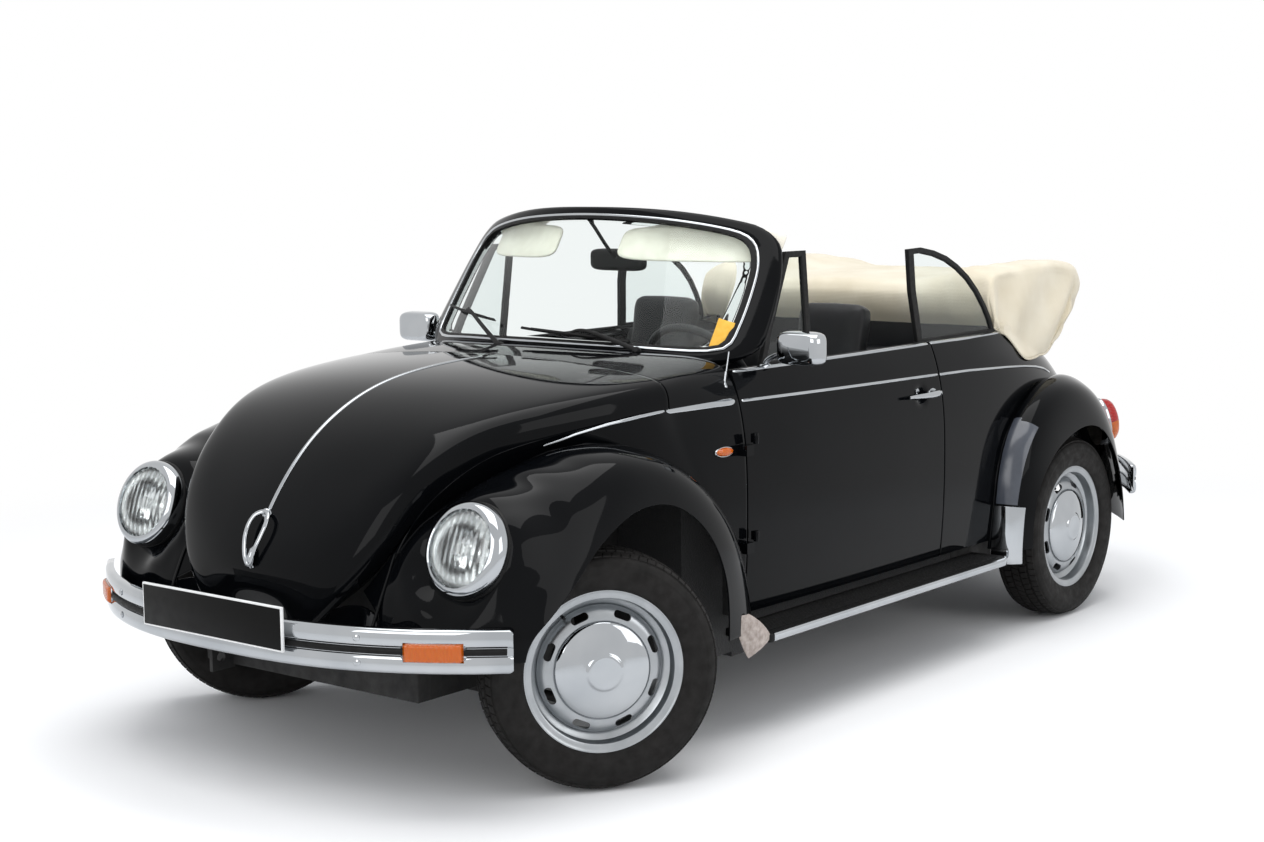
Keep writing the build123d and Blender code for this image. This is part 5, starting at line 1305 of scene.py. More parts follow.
# %% [markdown]
# ## Plate, hood trim and bright strips
# The number plate is blank: a black sheet with a pale rim. The bright strips are narrow
# half-round mouldings clipped to the panels. Each follows a few points that are snapped to the
# panel's own surface, so the strip lies on the metal whatever the panel's curve.

# %% Number plate
plate_place = moved((0, -2047, 464))
rim_block = block_piece("number_plate_rim", (-260, -7, -55), (260, 1, 55), "white_rim", 1.6, 2,
                        plate_place)
settle(rim_block, "body", "underbody")
settle(block_piece("number_plate_face", (-255.5, -8, -50.5), (255.5, -6, 50.5), "plate", 0.7, 2,
                   plate_place), "body", "underbody")
plate_feet = [((x, -2040, 464), (1, 0, 0), (0, -1, 0)) for x in (-180, 180)]
settle(repeated("number_plate_feet", bolt_shape(12, 3), plate_feet, "chrome"), "body", "chrome")
print("plate is 520 mm wide")

# %% Snapping strips to a panel
def snapped(points, grid, count, out=0.0):
    """Points spread along a line and moved onto a grid's surface, with its normals there."""
    points = np.array(points, float)
    along = np.concatenate([[0], np.cumsum(np.linalg.norm(np.diff(points, axis=0), axis=1))])
    line = np.column_stack([np.interp(np.linspace(0, along[-1], count), along, points[:, i])
                            for i in range(3)])
    flat, normals = grid.reshape(-1, 3), grid_normals(grid).reshape(-1, 3)
    path, ups = [], []
    for point in line:
        near = np.argmin(((flat - point) ** 2).sum(axis=1))
        up = normals[near]
        path.append(point - up * ((point - flat[near]) @ up) + up * out)
        ups.append(up)
    return np.array(path), np.array(ups)


def strip_section(width, height):
    """Half-round section of a bright strip, with its foot a little under the surface."""
    top = [(width / 2 * math.cos(a), height * math.sin(a)) for a in np.linspace(0, math.pi, 9)]
    return [(-width / 2, -1.5), (width / 2, -1.5)] + top


def strip_piece(name, path, ups, width, height, material="chrome"):
    """A bright strip with its ends drawn to a blunt point."""
    size = end_taper(len(path), 0.35, 3)
    piece = swept(name, end_points(path, width * 0.6, 3), strip_section(width, height), material,
                  ups, scale=size)
    return piece


hood_dense = facing(net_grid(hood_net(), steps(240), steps(161)), (0, -0.5, 1))
centre = hood_dense[:, 80]
centre = centre[centre[:, 2] > 676]
centre_ups = grid_normals(hood_dense)[:, 80][-len(centre):]
settle(strip_piece("hood_strip", centre[:-3:3], centre_ups[:-3:3], 11, 3.5), "hood", "chrome")
quarter_dense = facing(net_grid(QUARTER_FRONT, steps(220), steps(220)), (1, 0, 0.3))
thin = [(530, -1412, 856), (560, -1330, 877), (590, -1230, 893), (615, -1120, 904),
        (631, -1030, 910)]
wide = [(631, -1022, 911), (645, -880, 912), (652, -737, 911)]
for name, line, width in (("quarter_strip_thin_left", thin, 9),
                          ("quarter_strip_wide_left", wide, 20)):
    path, ups = snapped(line, quarter_dense, 40)
    both_sides(strip_piece(name, path, ups, width, 3.2), "body", "chrome")


def side_ups(path):
    """Outward directions of the body side along a path."""
    ups = []
    for x, y, z in path:
        along = np.array([side_x(y + 2, z) - side_x(y - 2, z), 4, 0])
        rise = np.array([side_x(y, z + 2) - side_x(y, z - 2), 0, 4])
        up = np.cross(along, rise)
        ups.append(up / np.linalg.norm(up))
    return np.array(ups)


path = [side_point(y, 905 - 17 * (y + 709) / 1020) for y in np.linspace(-706, 308, 60)]
both_sides(strip_piece("door_strip_left", path, side_ups(path), 9, 3.2), "door", "chrome")
line = [(346, 887), (500, 884), (632, 878), (760, 872), (895, 863), (1000, 852), (1084, 838),
        (1150, 818)]
y_of, z_of = np.array(line).T
path = [side_point(y, np.interp(y, y_of, z_of)) for y in np.linspace(320, 1150, 60)]
both_sides(strip_piece("quarter_strip_rear_left", path, side_ups(path), 9, 3.2), "body", "chrome")
print("strips laid")

# %% Waist line
door_top = [(side_x(y, 982) - 6, y, 983) for y in np.linspace(-704, 306, 40)]
both_sides(strip_piece("door_waist_strip_left", door_top, (0.35, 0, 1), 15, 4), "door", "chrome")
both_sides(swept("door_waist_seal_left", np.array(door_top) + (-14, 0, 1),
                 circle_section(5.5, 10, 0.8), "rubber"), "door", "rubber")
rear_top = [(side_x(y, belt_top(y)) - 6, y, belt_top(y) + 1) for y in np.linspace(320, 800, 30)]
both_sides(strip_piece("quarter_waist_strip_left", rear_top, (0.35, 0, 1), 15, 4), "body",
           "chrome")
both_sides(swept("quarter_waist_seal_left", np.array(rear_top) + (-14, 0, 1),
                 circle_section(5.5, 10, 0.8), "rubber"), "body", "rubber")

# %% Hood handle
nose = hood_dense[:, 80]
nose_ups = grid_normals(hood_dense)[:, 80]


def on_nose(x, z, out):
    """A point over the hood's nose at a height, moved out and aside."""
    i = np.argmin(np.abs(nose[:, 2] - z) + (nose[:, 1] > -1500) * 1000)
    return nose[i] + nose_ups[i] * out + (x, 0, 0)


loop = [(0, 694, 9), (13, 691, 13), (25, 678, 17), (30, 657, 19), (27, 634, 19), (20, 612, 18),
        (14, 592, 15), (8, 577, 11), (0, 572, 9)]
loop += [(-x, z, out) for x, z, out in reversed(loop[1:-1])]
path = periodic([on_nose(*point) for point in loop], 96)
ups = [(0, -0.9, 0.45)] * len(path)
handle = swept("hood_handle_loop", path, circle_section(6.5, 12, 0.75), "chrome", ups, True)
tongue = swept("hood_handle_tongue", [on_nose(0, z, out) for z, out in
                                      ((566, 1), (576, 9), (590, 12), (604, 9), (612, 3))],
               circle_section(8, 10, 0.6), "chrome", (0, -0.9, 0.45))
socket = turned("hood_handle_socket", [(-4, 13), (2, 13), (4, 10), (4, 0), (-4, 0)], "chrome",
                moved(on_nose(0, 693, 3)) @ rotated(-65, "Z"), 24)
for piece in (handle, tongue, socket):
    settle(piece, "hood", "chrome")
print("handle loop is", round(694 - 572), "mm tall")

# %% Door handles
def lever_piece():
    """A pull lever that tapers forward."""
    ys = np.linspace(HANDLE_Y + 84, HANDLE_Y - 98, 30)
    path, size = [], []
    for y in ys:
        share = (ys[0] - y) / (ys[0] - ys[-1])
        lift = 21 + 7 * math.sin(math.pi * min(share * 1.2, 1.0))
        path.append(side_point(y, HANDLE_Z - 1 + 3 * share, lift))
        size.append(1.0 - 0.74 * max(share - 0.18, 0) ** 1.1 if share > 0.04 else 0.8)
    return swept("door_handle_lever_left", path, circle_section(11, 14, 0.62), "chrome",
                 (1, 0, 0), scale=size)


lever = lever_piece()
foot = block_piece("door_handle_foot_left", (side_x(262, HANDLE_Z) - 3, 240, HANDLE_Z - 9),
                   (side_x(262, HANDLE_Z) + 22, 272, HANDLE_Z + 9), "chrome", 5, 4)
button = turned("door_handle_button_left", [(-6, 9), (5, 9), (7, 7), (7, 0), (-6, 0)], "chrome",
                moved(side_point(HANDLE_Y - 21, HANDLE_Z + 13, -2)), 28)
bezel = turned("door_handle_base_left", [(-3, 24), (1.5, 24), (3, 22), (3, 0), (-3, 0)],
               "chrome", moved(side_point(258, HANDLE_Z, 0)), 40,
               (1.0, 0.62))
handle_left = joined("door_handle_left", [lever, foot, bezel, button])
both_sides(handle_left, "door", "chrome")

# %% Side indicators
path, ups = snapped([(650, -850, 777), (652, -814, 777), (654, -778, 777)], quarter_dense, 3)
normal = Vector(ups[1])
turn = (moved(path[1])
        @ normal.to_track_quat("X", "Z").to_matrix().to_4x4())
base = turned("side_indicator_base_left", [(-3, 38), (3, 38), (5, 36), (5, 0), (-3, 0)], "chrome",
              turn, 48, (1.0, 0.38))
lens = turned("side_indicator_lens_left", [(2, 34), (8, 32), (13, 22), (15, 8), (15.4, 0),
                                           (2, 0)], "amber", turn, 48, (1.0, 0.36))
both_sides(base, "body", "chrome")
both_sides(lens, "body", "lamp_glass")
print("side indicators placed")

# %% [markdown]
# ## Fender beading, guards and running boards
# Each fender is bolted on over a bead of plastic cord, which shows as a thin glossy line. The
# tips that catch gravel have guards: a rubber one behind the front wheel and a bright one ahead
# of the rear wheel. Ahead of the rear wheel the fender also gets a thin bluish grey sheet, a
# painted reflection on the black paint. The running boards are steel under a ribbed rubber mat.

# %% Fender beading
def bead_piece(name, path, ups, radius=4.5):
    """Beading in the joint between a fender and the body."""
    return swept(name, path, circle_section(radius, 8), "enamel", ups)


path, ups = snapped([ahead(*point) for point in BEAD], quarter_dense, 120, 1.0)
both_sides(bead_piece("bead_front_left", path, ups), "body", "rubber")
path = np.array([side_point(REAR_AXLE + dy, z, 1.5) for dy, z in net_curve(FENDER_REAR_SEAM, 120)])
both_sides(bead_piece("bead_rear_left", path, side_ups(path)), "body", "rubber")
print("beads:", round(sum(np.linalg.norm(np.diff(path, axis=0), axis=1))), "mm at the rear")

# %% Stone guards
def fender_strip(net, along, across, out):
    """Part of a fender's surface, moved out: along and across are (low, high) shares."""
    grid = facing(net_grid(net, steps(26, *along), steps(22, *across)), (1, 0, 0.5))
    return grid + grid_normals(grid) * out


GUARD_FOOT = 243
guard = fender_strip(fender_rear_net(), (0.0, 0.05), (0.08, 0.86), 2.2)
foot = guard[0] * (1, 1, 0) + (0, 0, GUARD_FOOT)
guard = np.concatenate([[guard[0] * (1 - k) + foot * k for k in (1.0, 0.66, 0.33)], guard])
piece = sheet_metal("fender_guard_rear_left", guard, 1.6, "chrome", edge=0.6)
both_sides(piece, "body", "chrome")
# This sheet carries a painted reflection: bluish grey over the black fender paint.
painted_reflection = fender_strip(fender_rear_net(), (0.053, 0.31), (0.14, 0.72), 0.9)


def painted_reflection_outline(point):
    """True inside the rounded outline of the painted reflection sheet."""
    z, y = point[2], point[1]
    low_y, high_y = np.interp(z, [425, 560, 690, 725], [600, 618, 690, 735]), np.interp(
        z, [395, 560, 650, 722], [790, 812, 800, 730])
    return low_y - 60 < y < high_y + 4 and z < 722


piece = sheet_metal("fender_film_rear_left", painted_reflection, 0.8, "painted_reflection", painted_reflection_outline, 0.3)
both_sides(piece, "body", "chrome")
front_edge = net_curve([(752, -905, 353), (757, -899, 318), (759, -880, 265), (756, -843, 226)], 12)
rear_edge = net_curve([(762, -850, 352), (770, -818, 334), (770, -775, 305), (762, -744, 268)], 12)
guard = np.array([[front * (1 - k) + rear * k + np.array((7 * math.sin(math.pi * k), 0, 0))
                   for k in np.linspace(0, 1, 10)]
                  for front, rear in zip(np.array(front_edge), np.array(rear_edge))])
guard = facing(guard, (1, 0, 0))
piece = sheet_metal("fender_guard_front_left", guard, 4, "stone_guard", edge=1.2)
both_sides(piece, "body", "rubber")
print("guards done")

# %% Running boards
BOARD = (620.3, 770.0, -764.0, 600.0, 254.0, 282.0)


def running_board():
    """Left running board: a rounded tray with its rear outer corner cut round."""
    x0, x1, y0, y1, z0, z1 = BOARD
    outline = [(x0, y0)]
    outline += [(x1 - 20 + 20 * math.sin(a), y0 + 20 - 20 * math.cos(a))
                for a in np.linspace(0, math.pi / 2, 8)]
    outline += [(x1 - 55 + 55 * math.cos(a), y1 - 55 + 55 * math.sin(a))
                for a in np.linspace(0, math.pi / 2, 12)]
    outline += [(x0, y1)]
    count = len(outline)
    points = [(x, y, z) for z in (z0, z1 - 4) for x, y in outline]
    faces = [tuple(range(count))[::-1], tuple(range(count, 2 * count))]
    faces += [(i, (i + 1) % count, count + (i + 1) % count, count + i) for i in range(count)]
    piece = recalculate(new_piece("running_board_left", points, faces, "rubber"))
    add_modifier(piece, "BEVEL", width=5 * MM, segments=4, limit_method="ANGLE")
    return piece


left, right = both_sides(running_board(), "body", "rubber")
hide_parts("running_boards")
rib = block_piece("rib", (-2.2, -640, -0.5), (2.2, 640, 3.4), "rubber", 1.6, 2)
rib_places = [((x, -88, 278), (1, 0, 0), (0, 0, 1)) for x in np.arange(640, 744, 9.5)]
ribs = repeated("running_board_ribs_left", rib, rib_places, "rubber")
both_sides(ribs, "body", "rubber")
x1, y0, y1 = BOARD[1], BOARD[2], BOARD[3]
path = [(x1 - 2, y, 268) for y in np.linspace(y0 + 22, y1 - 57, 40)]
path += [(x1 - 55 + 53 * math.cos(a), y1 - 55 + 53 * math.sin(a), 268)
         for a in np.linspace(0.1, 1.2, 8)]
edge = [(-3, -12), (2.5, -11), (4, -7), (4, 7), (2.5, 11), (-3, 12)]
piece = swept("running_board_edge_left", path, edge, "chrome")
both_sides(piece, "body", "chrome")
print("ribs per board:", len(rib_places))

# %% [markdown]
# ## Door hinges and side windows
# Each door turns on two pressed hinges whose barrels show in the gap. The vent window is a fixed
# frame on the door, and the quarter window stands up behind it. A window here is a flat frame
# that follows an outline, and a pane of tinted glass inside it, leaning in a little as it rises.

# %% Hinges
HINGE_X, HINGE_FEET = 690, (521.0, 791.0)
barrels = []
for z_low in HINGE_FEET:
    place = (moved((HINGE_X, DOOR_FRONT + 3, z_low))
             @ rotated(-90, "Y"))
    barrels.append(turned("barrel", [(0, 0), (0, 7.4), (1.5, 8), (28, 8), (29.5, 7.4), (29.5, 0)],
                          "enamel", place, 20))
    barrels.append(block_piece("leaf", (HINGE_X - 18, DOOR_FRONT + 2, z_low + 2),
                               (HINGE_X, DOOR_FRONT + 12, z_low + 27), "enamel", 2))
door_side = joined("door_hinge_leaves_left", barrels)
both_sides(door_side, "door", "body_paint")
print("door hinge axis at y", round(DOOR_FRONT + 3))

# %% Window frames and glass
WINDOW_X, WINDOW_FOOT, WINDOW_LEAN = 604.0, 982.0, 0.10
VENT = [(-566, 985), (-525, 1070), (-462, 1182), (-394, 1300), (-294, 1299), (-307, 985)]
QUARTER = [(281, 985), (263, 1150), (269, 1279), (345, 1281), (425, 1268), (500, 1247),
           (566, 1217), (627, 1179), (680, 1132), (722, 1080), (750, 1035), (768, 985)]


def leaned(y, z, out=0.0):
    """A point on a side window's outer face, or in from it."""
    rise = z - WINDOW_FOOT
    return (WINDOW_X - math.sin(WINDOW_LEAN) * rise + out * math.cos(WINDOW_LEAN), y,
            WINDOW_FOOT + math.cos(WINDOW_LEAN) * rise + out * math.sin(WINDOW_LEAN))


def inset(outline, distances):
    """An outline moved in by a distance for each of its edges."""
    points = np.array(outline, float)
    count = len(points)
    centre = points.mean(axis=0)
    lines = []
    for i in range(count):
        a, b = points[i], points[(i + 1) % count]
        along = (b - a) / np.linalg.norm(b - a)
        normal = np.array([-along[1], along[0]])
        if (centre - a) @ normal < 0:
            normal = -normal
        lines.append((a + normal * distances[i], along))
    out = []
    for i in range(count):
        (p, u), (q, v) = lines[i - 1], lines[i]
        out.append(p + u * np.linalg.solve(np.array([u, -v]).T, q - p)[0])
    return np.array(out)


def window_frame(name, outline, widths, thickness=15.0, lip=4.0):
    """A flat frame round a window, and its pane."""
    outer, mid = np.array(outline, float), inset(outline, widths)
    inner = inset(outline, [w + lip for w in widths])
    count = len(outer)
    rings = [(outer, -1.5), (inset(outline, [1.5] * count), 0), (mid, 0), (inner, -3.5),
             (inner, 2.5 - thickness), (mid, -thickness), (inset(outline, [1.5] * count),
                                                           -thickness), (outer, 1.5 - thickness)]
    points = [leaned(y, z, out) for ring, out in rings for y, z in ring]
    piece = new_piece(name, points, grid_faces(len(rings), count, True, True), "rubber")
    recalculate(piece)
    piece.data.set_sharp_from_angle(angle=math.radians(30))
    pane_points = [leaned(y, z, out) for out in (-5.5, -9.5)
                   for y, z in inset(outline, [w + lip - 2 for w in widths])]
    faces = [tuple(range(count)), tuple(range(2 * count - 1, count - 1, -1))]
    faces += [(i, (i + 1) % count, count + (i + 1) % count, count + i) for i in range(count)]
    pane = recalculate(new_piece(name.replace("frame", "pane"), pane_points, faces, "glass", False))
    return piece, pane


vent, vent_pane = window_frame("vent_window_frame_left", VENT, [20, 20, 20, 14, 22, 9])
left, right = both_sides(vent, "door", "rubber")
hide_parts("vent_window_left")
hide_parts("vent_window_right")
both_sides(vent_pane, "door", "window_glass")
quarter, quarter_pane = window_frame("quarter_window_frame_left", QUARTER,
                                     [30, 30, 14, 14, 14, 14, 14, 14, 14, 14, 14, 9])
left, right = both_sides(quarter, "body", "rubber")
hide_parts("quarter_windows")
both_sides(quarter_pane, "body", "window_glass")
path = [(WINDOW_X - 7, y, 984) for y in np.linspace(275, 775, 20)]
channel = [(-12, -5), (12, -5), (12, 3), (9, 5), (-9, 5), (-12, 3)]
both_sides(swept("quarter_window_channel_left", path, channel, "rubber"), "body", "rubber")
lining = block_piece("top_well_lining", (-556, 796, 850), (556, 804, 1000), "vinyl", 2)
settle(lining, "body", "padding")
both_sides(block_piece("sill_end_left", (562, 462, 232), (622, 725, 342), "wax", 2), "body",
           "underbody")
print("side windows done")

# %% [markdown]
# ## Mirrors, wipers and aerial
# The outside mirror is a chromed shell like a flattened bowl, drawn as rings that swell and close.
# A wiper is an arm of bent strip and a blade of rubber in a narrow steel channel. The aerial is a
# thin telescopic rod in a bright ball joint.

# %% Outside mirrors
def shell_piece(name, centre, half, depth_rings, material, power=4.0, count=48):
    """A rounded oblong shell of (y, size) rings that close toward one end."""
    points = []
    for y, size in depth_rings:
        for a in np.linspace(0, 2 * math.pi, count, endpoint=False):
            c, s = math.cos(a), math.sin(a)
            reach = (abs(c) ** power + abs(s) ** power) ** (-1 / power)
            points.append((centre[0] + half[0] * size * reach * c, centre[1] + y,
                           centre[2] + half[1] * size * reach * s))
    faces = grid_faces(len(depth_rings), count, False, True)
    faces += [tuple(range(count)), tuple(range(len(points) - count, len(points)))]
    piece = recalculate(new_piece(name, points, faces, material))
    piece.data.set_sharp_from_angle(angle=math.radians(50))
    return piece


MIRROR_HALF = (73, 47)
mirror_at = (734, -556, 1041)
rings = [(-33, 0.62), (-31, 0.78), (-27, 0.88), (-20, 0.94), (-10, 0.98), (2, 1.0), (12, 1.0),
         (17, 0.985), (18.5, 0.955), (17, 0.93), (10, 0.92), (9, 0.3)]
head = shell_piece("door_mirror_shell_left", mirror_at, MIRROR_HALF, rings, "chrome", 5.0)
left, right = both_sides(head, "door", "chrome")
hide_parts("door_mirror_left")
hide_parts("door_mirror_right")
face = shell_piece("door_mirror_glass_left", mirror_at, MIRROR_HALF, [(8, 0.9), (13.5, 0.915),
                                                                   (13.8, 0.90)], "mirror", 5.0)
both_sides(face, "door", "chrome")
arm_path = net_curve([(612, -556, 985), (612, -556, 996), (622, -556, 1008), (650, -557, 1018),
                      (680, -557, 1028), (704, -557, 1036)], 24)
arm = swept("mirror_arm", arm_path, circle_section(7.5, 14), "chrome", (0, 1, 0),
            scale=np.linspace(1.15, 0.9, 24))
foot = turned("mirror_foot", [(-2, 20), (4, 20), (7, 17), (9, 11), (9, 0), (-2, 0)], "chrome",
              moved((612, -556, 984))
              @ rotated(-90, "Y"), 32, (0.7, 1.0))
collar = turned("mirror_collar", [(-9, 0), (-9, 10), (-6, 12), (6, 12), (9, 10), (9, 0)], "chrome",
                moved((688, -557, 1032)), 24)
both_sides(joined("door_mirror_arm_left", [arm, foot, collar]), "door", "chrome")
print("mirrors done")

# %% Wipers
def wiper(name, pivot, elbow, blade_from, blade_to):
    """One wiper: pivot cap, arm and blade along the glass."""
    pivot, elbow = np.array(pivot, float), np.array(elbow, float)
    ends = [np.array(blade_from, float), np.array(blade_to, float)]

    def over(point, out):
        """A point over the glass."""
        x, _, z = point
        return np.array([x, screen_y(x, z), z]) + screen_normal(x, z) * out

    out_way = screen_normal(pivot[0], max(pivot[2], 1046))
    centre = (ends[0] + ends[1]) / 2
    cap = turned("cap", [(-22, 9), (0, 9), (2, 13), (10, 12), (16, 8), (17, 0), (-22, 0)],
                 "rubber", moved(pivot)
                 @ Vector(out_way).to_track_quat("X", "Z").to_matrix().to_4x4(), 24)
    line = [pivot + out_way * 12, pivot + out_way * 17 + (elbow - pivot) * 0.12,
            over(elbow * 0.6 + pivot * 0.4, 24), over(elbow, 21),
            over(elbow * 0.3 + centre * 0.7, 19), over(centre, 15)]
    path = net_curve(line, 30)
    arm = swept("arm", path, [(-4.5, -1.6), (4.5, -1.6), (4.5, 1.2), (3.2, 2.2), (-3.2, 2.2),
                              (-4.5, 1.2)], "rubber", out_way, scale=np.linspace(1.5, 0.8, 30))
    blade_path = [over(ends[0] + (ends[1] - ends[0]) * s, 7.5) for s in np.linspace(0, 1, 30)]
    ups = [screen_normal(p[0], p[2]) for p in blade_path]
    rubber = swept("blade", blade_path, [(-1, -7), (1, -7), (1.6, -1), (3.6, 0), (3.6, 3.5),
                                         (-3.6, 3.5), (-3.6, 0), (-1.6, -1)], "rubber", ups)
    bow_path = [over(ends[0] + (ends[1] - ends[0]) * s, 11 + 7 * (1 - (2 * s - 1) ** 2))
                for s in np.linspace(0.12, 0.88, 24)]
    bridge = swept("bridge", bow_path, [(-3, -1.5), (3, -1.5), (3, 1.5), (-3, 1.5)], "rubber",
                   ups[3:27])
    return joined(name, [cap, arm, rubber, bridge])


settle(wiper("wiper_right", (-130, -833, 1026), (-371, -707, 1116), (-534, -625, 1115),
             (-216, -775, 1092)), "body", "rubber")
settle(wiper("wiper_left", (332, -780, 1030), (140, -798, 1079), (-81, -807, 1077),
             (294, -778, 1053)), "body", "rubber")

# %% Aerial, sun visors and inside mirror
base = turned("aerial_base", [(-10, 0), (-10, 8), (-4, 10), (3, 11), (8, 9), (13, 6), (16, 3.5),
                              (44, 3), (46, 0)], "chrome",
              moved((612, -754, 944))
              @ Vector((0, 0.25, 1)).to_track_quat("X", "Y").to_matrix().to_4x4(), 24)
rod = swept("aerial_rod", [(612, -742, 985), (612, -733, 1020), (612, -728, 1040)],
            circle_section(2.0, 8), "chrome", (1, 0, 0))
settle(joined("aerial", [base, rod]), "body", "chrome")
for label, x_low, x_high in (("right", -450, -108), ("left", 124, 564)):
    middle, half = (x_low + x_high) / 2, (x_high - x_low) / 2
    points = []
    rings = 9
    for k in range(rings):
        t = 2 * k / (rings - 1) - 1
        size = (1 - abs(t) ** 3) ** 0.5 * 0.12 + 0.88
        for a in np.linspace(0, 2 * math.pi, 56, endpoint=False):
            c, s = math.cos(a), math.sin(a)
            reach = (abs(c) ** 5 + abs(s) ** 5) ** (-0.2)
            x = middle + half * size * reach * c
            z = 1322 + 48 * size * reach * s
            wrap = (x / 550) ** 2
            points.append((x, screen_y(x, z) + 42 + 9 * t, z - 8 * wrap))
    faces = grid_faces(rings, 56, False, True)
    faces += [tuple(range(56)), tuple(range(len(points) - 56, len(points)))]
    visor = recalculate(new_piece("sun_visor_" + label, points, faces, "visor_vinyl"))
    settle(visor, "body", "seat_cover")
stalk = swept("stalk", net_curve([(0, -588, 1392), (0, -560, 1370), (0, -520, 1320),
                                  (0, -470, 1275), (0, -456, 1266)], 16),
              circle_section(5.5, 12), "rubber", (1, 0, 0))
shell = shell_piece("shell", (0, -452, 1264), (106, 33),
                    [(-14, 0.5), (-12, 0.8), (-7, 0.94), (0, 1.0), (7, 1.0), (9, 0.97), (9, 0.5)],
                    "rubber", 5.0)
mirror_piece = joined("interior_mirror_shell", [stalk, shell])
settle(mirror_piece, "body", "rubber", "interior_mirror")
glass_face = shell_piece("interior_mirror_glass", (0, -452, 1264), (103, 30),
                         [(7, 0.9), (9.8, 0.95), (9.8, 0.7)], "mirror", 5.0)
settle(glass_face, "body", "chrome")
print("front fittings done")

# %% [markdown]
# ## Wheels
# A steel wheel is two pressings: a drop-centre barrel and a disc with eight oval slots. Both are
# turned profiles. A Boolean cuts the slots, and Geometry Nodes place the eight cutters. A chromed
# hubcap with a plain raised centre clips over the middle. All is built about X, the outer side at
# +X, and a copy is moved to each hub.

# %% Rim
barrel = [(-62, 208), (-56, 208), (-56, 190.3), (-28, 190), (-18, 166), (18, 166), (28, 190),
          (56, 190.3), (56, 207), (57.5, 208.4), (60, 208.6), (62, 206.6), (62, 203.5),
          (60.2, 201), (59, 196), (58.4, 189), (56.5, 185.4), (52, 184), (38, 183.6), (29.5, 181.5),
          (26, 177), (23, 170), (19.5, 165), (16, 161), (10, 160), (-16, 160), (-26, 184),
          (-62, 184)]
disc = [(12, 164), (18, 163.4), (24, 161.5), (31, 157.5), (36.5, 152), (40, 146), (42, 139),
        (42.8, 130), (42.5, 118), (36, 104), (18, 80), (18, 30), (12, 30), (12, 84), (30, 106),
        (36, 119), (36.2, 137), (33, 147), (27, 154), (18, 159), (10, 160)]
SLOTS, SLOT_RADIUS, SLOT_LENGTH, SLOT_WIDTH = 8, 144.5, 47.0, 19.0


def slot_cutter():
    """A rounded prism along Z, long in Y."""
    outline = []
    half, radius = (SLOT_LENGTH - SLOT_WIDTH) / 2, SLOT_WIDTH / 2
    for i in range(24):
        a = 2 * math.pi * i / 24
        outline.append((radius * math.sin(a),
                        math.copysign(half, math.cos(a)) + radius * math.cos(a)))
    points = [(x, y, z) for z in (-30, 30) for x, y in outline]
    faces = [tuple(range(24)), tuple(range(24, 48))]
    faces += [(i, (i + 1) % 24, 24 + (i + 1) % 24, 24 + i) for i in range(24)]
    return recalculate(new_piece("cutter", points, faces, "wheel_silver"))


cutter_places = []
for i in range(SLOTS):
    a = math.radians(22.5 + 45 * i)
    radial = (0, math.cos(a), math.sin(a))
    cutter_places.append(((38, SLOT_RADIUS * radial[1], SLOT_RADIUS * radial[2]), radial,
                          (1, 0, 0)))
cutters = repeated("cutters", slot_cutter(), cutter_places, "wheel_silver")
disc_piece = turned("disc", disc, "wheel_silver", None, 128)
cut = add_modifier(disc_piece, "BOOLEAN", operation="DIFFERENCE", solver="EXACT")
cut.object = cutters
rim_local = joined("rim_local", [disc_piece, turned("barrel", barrel, "wheel_silver", None, 128)])
bpy.data.objects.remove(cutters)
rim_local.data.set_sharp_from_angle(angle=math.radians(30))
cap = [(40.5, 121), (42, 124), (46, 125), (49.5, 123), (52.5, 118.5), (56, 110), (60, 96),
       (63.8, 78), (66.4, 62), (67.8, 51), (68.4, 48.5), (71.6, 45), (73, 41.5), (73, 36),
       (72.2, 20), (72, 0), (66, 0), (62, 60), (56, 90), (46, 116), (38, 118)]
cap_local = turned("cap_local", cap, "chrome", None, 96)
valve = swept("valve", [(30, 0, 176), (40, 0, 174), (52, 0, 171)], circle_section(4.2, 10),
              "rubber", (0, 1, 0))
valve.data.transform(rotated(35, "X"))
print("rim faces:", len(rim_local.data.polygons))

# %% [markdown]
# ## Tyres
# The carcass is a turned profile with four grooves round it. The tread is five rows of small
# rubber blocks with a narrow slit between each two. Each row's block is repeated by Geometry
# Nodes on that row's own points, at its own radius and lean, so the rows keep the crown of the
# tread.

# %% Carcass
side_half = [(56.5, 190.6), (58.5, 199), (62, 206), (66.5, 209.5), (69, 212), (70.5, 216.5),
             (72.4, 220.5), (74.6, 229), (76.8, 240), (78.1, 252), (78, 262), (76.6, 268),
             (77.2, 270), (76.6, 272), (74.4, 280), (71.4, 285.5), (68.4, 288), (64, 290.5),
             (50, 294), (25, 297.4), (0, 298.2)]
carcass = side_half + [(-x, r) for x, r in reversed(side_half[:-1])]
carcass += [(-52, 191), (-40, 205), (0, 212), (40, 205), (52, 191)]
carcass_local = turned("carcass_local", carcass, "tyre", None, 128)

# %% Tread
TREAD_PITCHES = 78


def tread_block(width, length, height, slant):
    """One tread block, its foot in the carcass: X across, Y round the tyre, Z out."""
    points = []
    for z, grow in ((-4, 0.6), (height - 1.2, 0.3), (height, -0.5)):
        for x, y in ((-1, -1), (1, -1), (1, 1), (-1, 1)):
            points.append((x * (width / 2 + grow), y * (length / 2 + grow) + x * slant, z))
    faces = [(0, 3, 2, 1), (8, 9, 10, 11)]
    for k in (0, 4):
        faces += [(k + i, k + (i + 1) % 4, k + 4 + (i + 1) % 4, k + 4 + i) for i in range(4)]
    return recalculate(new_piece("block", points, faces, "tyre", False))


